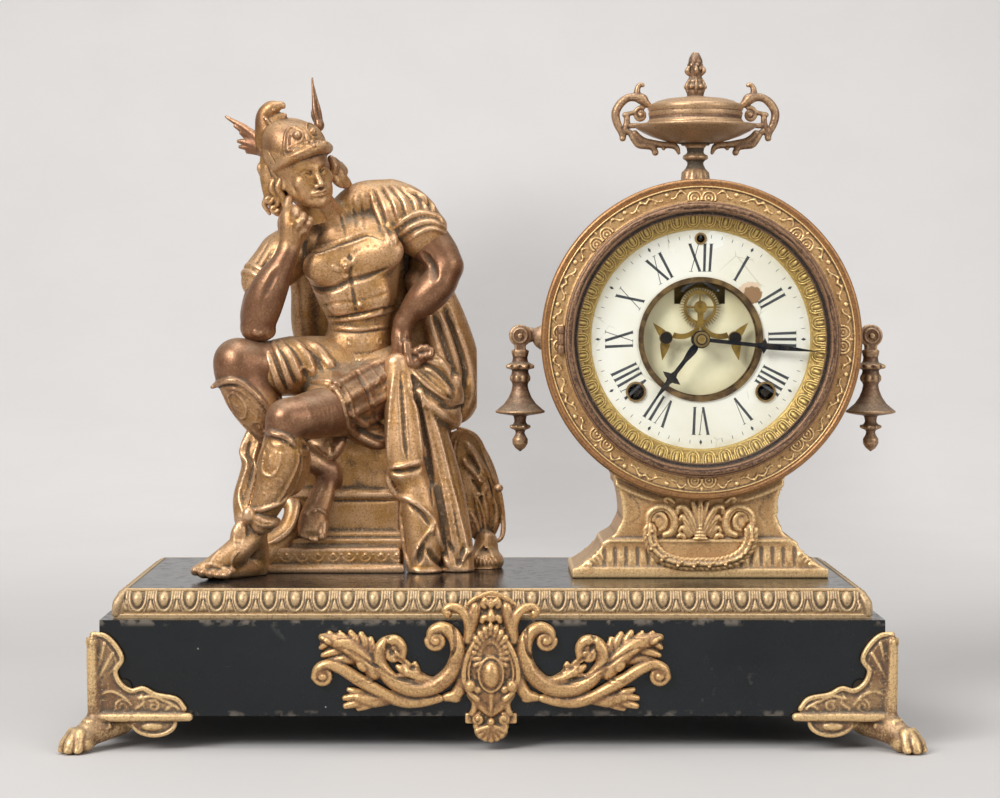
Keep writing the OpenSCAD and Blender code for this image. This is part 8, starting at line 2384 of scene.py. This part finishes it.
def recess_enamel():
    """Yellowed cream of the sunk centre with stains, and painted shade that makes it darker towards its wall and its
    top.
    """
    f = Finish("recess_enamel")
    place = f.place()
    across, up = f.part(place, "X") - CLOCK_X * MM, f.part(place, "Z") - AXIS_Z * MM
    radius = (across * across + up * up) ** 0.5
    stain = f.noise(14, 4)
    # Painted shade, darker towards the wall and the top of the sunk centre, mixed with stains.
    stain_and_painted_shade = (radius.above(0.016, 0.03) * 0.35 + (stain - 0.5) * 0.9 + up.above(0.0, 0.022) * 0.35).clipped()
    colour = f.mix(stain_and_painted_shade, rgb("#f0e8c4"), rgb("#c2b382"))
    colour = f.mix((stain.above(0.62, 0.8) * 0.4).clipped(), colour, rgb("#8d7c57"))
    collar = radius.above(0.0284, 0.0289)
    metal = f.mix(f.noise(6, 4).above(0.35, 0.65), rgb("#8f734a"), rgb("#54402d"))
    return f.surface(
        Base_Color=f.mix(collar, colour, metal),
        Metallic=collar * 0.75,
        Roughness=0.38 + stain * 0.15,
        Normal=f.bump(f.noise(3, 3), 0.05, 0.4),
    )


def clear_glass():
    """Thin window glass: see-through, with a mirror's shine at a slant."""
    f = Finish("clear_glass")
    clear = f.node("ShaderNodeBsdfTransparent", {}, {"Color": (0.985, 0.99, 0.985)})
    shine = f.node("ShaderNodeBsdfGlossy", {}, {"Roughness": 0.03})
    facing = f.node("ShaderNodeLayerWeight", {}, {"Blend": 0.12}, "Fresnel")
    smear = f.noise(40, 3).above(0.4, 0.8) * 0.02
    both = f.node("ShaderNodeMixShader", {}, {0: (facing * 0.45 + smear).clipped(), 1: clear, 2: shine})
    f.links.new(both.socket, f.out.inputs["Surface"])
    return f.material


def worked_metal(name, base, worn, metallic=1.0, rough=0.35, size=12, grain=0.03):
    """Turned or filed metal with tarnish."""
    f = Finish(name)
    stain = f.noise(size, 4)
    fine = f.noise(0.8, 3)
    share = ((stain - 0.5) * 2.2 + (fine - 0.5) * 0.5 + 0.4).clipped()
    return f.surface(
        Base_Color=f.mix(share, worn, base),
        Metallic=metallic,
        Roughness=(rough + (1 - share) * 0.2 + (fine - 0.5) * 0.1).clipped(),
        Normal=f.bump(fine, grain, 0.5),
    )


def by_radius():
    """A finish with the distances across and up from the clock's axis, and the radius, in metres."""
    f = Finish("by_radius")
    place = f.place()
    across, up = f.part(place, "X") - CLOCK_X * MM, f.part(place, "Z") - AXIS_Z * MM
    return f, across, up, (across * across + up * up) ** 0.5


def cock_brass():
    """Tarnished brass with two dark screws."""
    f, across, up, radius = by_radius()
    f.material.name = "cock_brass"
    dx = across.absolute() - 0.0176
    dz = up - 0.0007
    screw = 1 - ((dx * dx + dz * dz) ** 0.5).above(0.0029, 0.0032)
    stain = f.noise(7, 4).above(0.35, 0.65)
    brass = f.mix(stain, rgb("#b3924c"), rgb("#7b6234"))
    return f.surface(Base_Color=f.mix(screw, brass, rgb("#26221e")), Metallic=0.9 - screw * 0.3, Roughness=0.38 + stain * 0.12)


def hand_steel():
    """Dark blued steel with the brass rings of the collet in the middle."""
    f, across, up, radius = by_radius()
    f.material.name = "hand_steel"
    ring = radius.above(0.0009, 0.0011) * (1 - radius.above(0.0021, 0.0023)) + radius.above(0.0027, 0.0029) * (1 - radius.above(0.0039, 0.0041)) * 0.7
    stain = f.noise(6, 4).above(0.35, 0.65)
    steel = f.mix(stain, rgb("#22252c"), rgb("#3d3733"))
    return f.surface(Base_Color=f.mix(ring.clipped(), steel, rgb("#a58a55")), Metallic=0.8, Roughness=0.4 + stain * 0.1)


# Settings that a user would change


class GildingSettings(bpy.types.PropertyGroup):
    """Colours of the cast and painted finishes."""

    # The worn gold of raised places is rubbed gilding and also a painted highlight.
    gold: bpy.props.FloatVectorProperty(
        name="Worn gold", description="Raised places of the gilded castings", subtype="COLOR", default=rgb("#d4ab84"), min=0, max=1
    )
    copper: bpy.props.FloatVectorProperty(
        name="Copper brown", description="Metal that shows where the gilding is rubbed off", subtype="COLOR", default=rgb("#7b533b"), min=0, max=1
    )
    # The hollow colour is dark patina in grooves and also painted shade in the broad hollows between parts.
    hollow: bpy.props.FloatVectorProperty(
        name="Hollows", description="Dark patina in grooves and undercuts", subtype="COLOR", default=rgb("#2b1d13"), min=0, max=1
    )
    dust: bpy.props.FloatVectorProperty(
        name="Dust", description="Grey dust on faces that lie upwards", subtype="COLOR", default=rgb("#a19178"), min=0, max=1
    )


class PatternSettings(bpy.types.PropertyGroup):
    """Counts and sizes of the repeated ornament."""

    front_eggs: bpy.props.IntProperty(name="Eggs at the front", description="Eggs along the front of the moulding", default=28, min=8, max=60)
    side_eggs: bpy.props.IntProperty(name="Eggs at a side", description="Eggs along each side of the moulding", default=12, min=4, max=30)
    egg_run: bpy.props.FloatProperty(
        name="Half run of eggs", description="Half the length of the front row of eggs", subtype="DISTANCE", unit="LENGTH", default=0.1805, min=0.1, max=0.19
    )
    minutes: bpy.props.IntProperty(name="Minute ticks", description="Ticks round the dial", default=60, min=12, max=60)


class StageSettings(bpy.types.PropertyGroup):
    """Camera, floor and light."""

    lens: bpy.props.FloatProperty(name="Lens", description="Focal length of the camera", subtype="DISTANCE_CAMERA", default=89.46, min=20, max=200)
    eye: bpy.props.FloatVectorProperty(
        name="Camera place", description="Where the camera stands", subtype="TRANSLATION", unit="LENGTH", default=(-0.007, -1.2975, 0.2185)
    )
    paper: bpy.props.FloatVectorProperty(
        name="Backdrop", description="Colour of the paper sweep", subtype="COLOR", default=rgb("#f1edea"), min=0, max=1
    )
    key: bpy.props.FloatProperty(name="Main lamp", description="Strength of the main lamp", subtype="POWER", unit="POWER", default=47.0, min=0)


MADE = {}


def finish(name):
    """Each finish is made once and shared by its pieces."""
    if name in MADE:
        return MADE[name]
    g = bpy.context.scene.clock_gilding
    gold, copper, hollow, dust = tuple(g.gold), tuple(g.copper), tuple(g.hollow), tuple(g.dust)
    makers = {
        "gilt_cast": lambda: cast_metal("gilt_cast", rgb("#dfbb86"), rgb("#7f5e44"), rgb("#281b13"), dust, metallic=0.6, rough=0.46),
        "pedestal_gilt": lambda: cast_metal("pedestal_gilt", rgb("#f0ca92"), rgb("#c09463"), rgb("#422b1a"), rgb("#bcaa92"), metallic=0.6, rough=0.46, dust_share=0.8),
        "mount_gilt": lambda: cast_metal("mount_gilt", rgb("#d3a973"), rgb("#916a48"), rgb("#2a1d14"), rgb("#8f8268"), metallic=0.6, rough=0.42, dust_share=0.35),
        "band_gilt": lambda: cast_metal("band_gilt", rgb("#f4d093"), rgb("#b98d5c"), rgb("#432b18"), dust, metallic=0.6, rough=0.44, dust_share=0.4),
        "trim_gilt": lambda: cast_metal("trim_gilt", rgb("#c1a37a"), rgb("#886c50"), rgb("#3f3022"), rgb("#8b8269"), metallic=0.5, rough=0.5, dust_share=0.5),
        "figure_gilt": lambda: figure_metal("figure_gilt", gold, rgb("#a97c45"), hollow, dust, copper),
        "bronze_cast": lambda: cast_metal("bronze_cast", rgb("#ba9772"), rgb("#745643"), rgb("#261a13"), rgb("#938670"), metallic=0.6, rough=0.46, dust_share=0.75),
        "rim_copper": lambda: cast_metal("rim_copper", rgb("#a87a4c"), rgb("#704e38"), rgb("#2e211a"), rgb("#766a5c"), metallic=0.6, rough=0.42, dust_share=0.35),
        "bezel_iron": lambda: cast_metal("bezel_iron", rgb("#8e6c50"), rgb("#463228"), rgb("#1a1310"), rgb("#74675b"), metallic=0.6, rough=0.48, dust_share=0.4, grain=0.3),
        "sight_gilt": lambda: cast_metal("sight_gilt", rgb("#d6b66f"), rgb("#b18f4f"), rgb("#5f4826"), rgb("#8f8458"), metallic=0.55, rough=0.45, dust_share=0.3),
        "dark_steel": lambda: worked_metal("dark_steel", rgb("#26231f"), rgb("#3d352c"), metallic=0.8, rough=0.4, size=6),
        "black_enamel": black_enamel,
        "dial_enamel": dial_enamel,
        "recess_enamel": recess_enamel,
        "clear_glass": clear_glass,
        "dial_ink": lambda: worked_metal("dial_ink", rgb("#2c2f33"), rgb("#4b4d50"), metallic=0.0, rough=0.4, size=5, grain=0.01),
        "cock_brass": cock_brass,
        "inner_brass": lambda: worked_metal("inner_brass", rgb("#b0914e"), rgb("#7e6836"), rough=0.4, size=16),
        "inner_steel": lambda: worked_metal("inner_steel", rgb("#8f8d8a"), rgb("#5b5754"), rough=0.35, size=8),
        "hand_steel": hand_steel,
        "drum_bronze": lambda: cast_metal("drum_bronze", rgb("#8c6743"), rgb("#6b4c35"), rgb("#38291f"), rgb("#7b705c"), metallic=0.6, rough=0.45, dust_share=0.7),
        "grommet_brass": lambda: worked_metal("grommet_brass", rgb("#b0935c"), rgb("#7a5f3f"), metallic=0.7, rough=0.45, size=5),
    }
    MADE[name] = makers[name]()
    return MADE[name]


class CLOCK_OT_figure(bpy.types.Operator):
    """Sculpts the seated figure with its seat, cloak and shield."""

    bl_idname = "clock.figure"
    bl_label = "Seated figure"

    def execute(self, context):
        add_figure(finish("figure_gilt"))
        return {"FINISHED"}


class CLOCK_OT_base(bpy.types.Operator):
    """Enamels the box and sets its moulding, front mount and paw feet."""

    bl_idname = "clock.base"
    bl_label = "Base"

    def execute(self, context):
        add_base(finish("black_enamel"), finish("trim_gilt"), finish("mount_gilt"), finish("gilt_cast"), context.scene.clock_pattern)
        return {"FINISHED"}


class CLOCK_OT_pedestal(bpy.types.Operator):
    """Sculpts the pedestal with its leaves and laurel swag."""

    bl_idname = "clock.pedestal"
    bl_label = "Pedestal"

    def execute(self, context):
        add_pedestal(finish("pedestal_gilt"))
        return {"FINISHED"}


class CLOCK_OT_drum(bpy.types.Operator):
    """Dresses the drum and sets its front rings and door."""

    bl_idname = "clock.drum"
    bl_label = "Drum, rings and door"

    def execute(self, context):
        for node in ("drum_case", "rear_door"):
            dress(node, finish("drum_bronze"))
        add_rings(finish("band_gilt"), finish("rim_copper"), finish("bezel_iron"), finish("sight_gilt"))
        dress("bezel_glass", finish("clear_glass"))
        return {"FINISHED"}


class CLOCK_OT_dial(bpy.types.Operator):
    """Prints the enamel dial and dresses its centre."""

    bl_idname = "clock.dial"
    bl_label = "Dial"

    def execute(self, context):
        add_dial(finish("dial_enamel"), finish("dial_ink"), finish("grommet_brass"), context.scene.clock_pattern)
        dress("dial_recess", finish("recess_enamel"))
        dress("dial_grommets", finish("grommet_brass"))
        return {"FINISHED"}


BRASS_PARTS = (
    "front_plate", "back_plate", "plate_pillars", "time_main_wheel", "second_wheel", "centre_wheel", "third_wheel", "minute_wheel",
    "strike_main_wheel", "strike_pin_wheel", "strike_fly",
)
STEEL_PARTS = ("mainsprings", "pallets", "pendulum", "hammer", "gong")
DARK_PARTS = ("fixing_screws", "time_winding_arbor", "strike_winding_arbor", "regulator_arbor")


class CLOCK_OT_movement(bpy.types.Operator):
    """Gives the hands, the escapement and the wheels their metals."""

    bl_idname = "clock.movement"
    bl_label = "Hands and movement"

    def execute(self, context):
        for node in ("minute_hand", "hour_hand"):
            dress(node, finish("hand_steel"))
        for node in ("escapement_cock", "escape_wheel"):
            dress(node, finish("cock_brass"))
        for node in BRASS_PARTS:
            dress(node, finish("inner_brass"))
        for node in STEEL_PARTS:
            dress(node, finish("inner_steel"))
        for node in DARK_PARTS:
            dress(node, finish("dark_steel"))
        return {"FINISHED"}


class CLOCK_OT_urn(bpy.types.Operator):
    """Turns the urn and casts its handles and finial."""

    bl_idname = "clock.urn"
    bl_label = "Urn"

    def execute(self, context):
        add_urn(finish("bronze_cast"))
        return {"FINISHED"}


class CLOCK_OT_pendants(bpy.types.Operator):
    """Casts the two bell pendants and their brackets."""

    bl_idname = "clock.pendants"
    bl_label = "Pendants"

    def execute(self, context):
        add_pendants(finish("bronze_cast"))
        return {"FINISHED"}


def paper_sweep(colour):
    """A floor that curves up into a backdrop."""
    rows = [(-9.0, 0.0), (-3.6, 0.0), (-1.5, 0.0), (1.0, 0.0)]
    rows += [(1.0 + 1.5 * math.sin(a), 1.5 * (1 - math.cos(a))) for a in np.radians(np.arange(5, 91, 5))]
    rows += [(2.5, 2.2), (2.5, 4.4)]
    points = [(x, y, z) for y, z in rows for x in (-9.0, 9.0)]
    faces = [(2 * k, 2 * k + 1, 2 * k + 3, 2 * k + 2) for k in range(len(rows) - 1)]
    mesh = plain_mesh("paper_sweep", np.array(points) / MM, faces)
    mesh.polygons.foreach_set("use_smooth", [True] * len(mesh.polygons))
    f = Finish("backdrop_paper")
    x, y, z = (f.part(f.place(), axis) for axis in "XYZ")
    far = y.above(0.2, 1.3)
    # Painted shadow of the clock on the backdrop, painted shade towards the foot of the backdrop, and a faint mottle of
    # the paper.
    dx, dz = (x - 0.08) / 0.36, (z - 0.12) / 0.26
    painted_shade_and_mottle = (1 - (dx * dx + dz * dz).above(0.05, 1.3)) * far * 0.34 + (1 - z.above(0.0, 0.6)) * far * 0.12 + f.noise(160, 4).above(0.35, 0.7) * 0.03
    # The paper is painted darker on the near floor, at about half the backdrop's colour, as painted shade.
    paper = f.mix(far, tuple(0.53 * c for c in colour), colour)
    paper = f.mix(painted_shade_and_mottle, paper, tuple(0.2 * c for c in colour))
    mesh.materials.append(f.surface(Base_Color=paper, Roughness=0.75, Specular_IOR_Level=0.25))
    obj = bpy.data.objects.new("paper_sweep", mesh)
    bpy.context.scene.collection.objects.link(obj)


class CLOCK_OT_stage(bpy.types.Operator):
    """Sets the camera, the lamps, the world and the paper sweep."""

    bl_idname = "clock.stage"
    bl_label = "Stage"

    def execute(self, context):
        scene, s = context.scene, context.scene.clock_stage
        scene.view_settings.view_transform = "Standard"
        camera = bpy.data.cameras.new("photo_camera")
        camera.lens = s.lens
        camera.sensor_width = 36.0
        camera.shift_x, camera.shift_y = 0.022, -0.098
        camera.clip_end = 20.0
        holder = bpy.data.objects.new("photo_camera", camera)
        holder.matrix_world = Matrix.Translation(s.eye) @ Matrix.Rotation(math.pi / 2, 4, "X")
        scene.collection.objects.link(holder)
        scene.camera = holder
        paper_sweep(tuple(s.paper))
        world = bpy.data.worlds.new("soft_room")
        scene.world = world
        world.use_nodes = True
        tree = world.node_tree
        tree.nodes.clear()
        out = tree.nodes.new("ShaderNodeOutputWorld")
        glow = tree.nodes.new("ShaderNodeBackground")
        glow.inputs["Color"].default_value = (0.86, 0.88, 0.9, 1)
        glow.inputs["Strength"].default_value = 0.36
        tree.links.new(glow.outputs[0], out.inputs[0])
        for name, place, aim, size, power in (
            ("key_lamp", (-1.2, -1.45, 1.4), (0, 0, 0.15), 1.0, s.key),
            ("fill_lamp", (1.5, -1.3, 0.9), (0, 0, 0.15), 1.3, s.key * 0.3),
            ("top_lamp", (0.1, -0.1, 1.9), (0, 0.1, 0), 1.5, s.key * 0.55),
        ):
            lamp = bpy.data.lights.new(name, "AREA")
            lamp.size = size
            lamp.energy = power
            obj = bpy.data.objects.new(name, lamp)
            way = Vector(aim) - Vector(place)
            obj.matrix_world = Matrix.Translation(place) @ way.to_track_quat("-Z", "Y").to_matrix().to_4x4()
            scene.collection.objects.link(obj)
        return {"FINISHED"}


OPERATORS = (
    CLOCK_OT_figure, CLOCK_OT_base, CLOCK_OT_pedestal, CLOCK_OT_drum, CLOCK_OT_dial, CLOCK_OT_movement, CLOCK_OT_urn, CLOCK_OT_pendants, CLOCK_OT_stage,
)


class CLOCK_PT_pieces(bpy.types.Panel):
    """Lists the pieces and their settings."""

    bl_idname = "CLOCK_PT_pieces"
    bl_label = "Mantel clock"
    bl_space_type = "VIEW_3D"
    bl_region_type = "UI"
    bl_category = "Mantel clock"

    def draw(self, context):
        column = self.layout.column()
        for group in (context.scene.clock_gilding, context.scene.clock_pattern, context.scene.clock_stage):
            for label in group.bl_rna.properties.keys():
                if label not in ("rna_type", "name"):
                    column.prop(group, label)
        for operator in OPERATORS:
            column.operator(operator.bl_idname)


CLASSES = (GildingSettings, PatternSettings, StageSettings, *OPERATORS, CLOCK_PT_pieces)


def register():
    for each in CLASSES:
        bpy.utils.register_class(each)
    bpy.types.Scene.clock_gilding = bpy.props.PointerProperty(type=GildingSettings)
    bpy.types.Scene.clock_pattern = bpy.props.PointerProperty(type=PatternSettings)
    bpy.types.Scene.clock_stage = bpy.props.PointerProperty(type=StageSettings)


def unregister():
    del bpy.types.Scene.clock_gilding, bpy.types.Scene.clock_pattern, bpy.types.Scene.clock_stage
    for each in reversed(CLASSES):
        bpy.utils.unregister_class(each)


def main():
    register()
    bpy.ops.clock.figure()
    bpy.ops.clock.base()
    bpy.ops.clock.pedestal()
    bpy.ops.clock.drum()
    bpy.ops.clock.dial()
    bpy.ops.clock.movement()
    bpy.ops.clock.urn()
    bpy.ops.clock.pendants()
    bpy.ops.clock.stage()


if __name__ == "__main__":
    main()
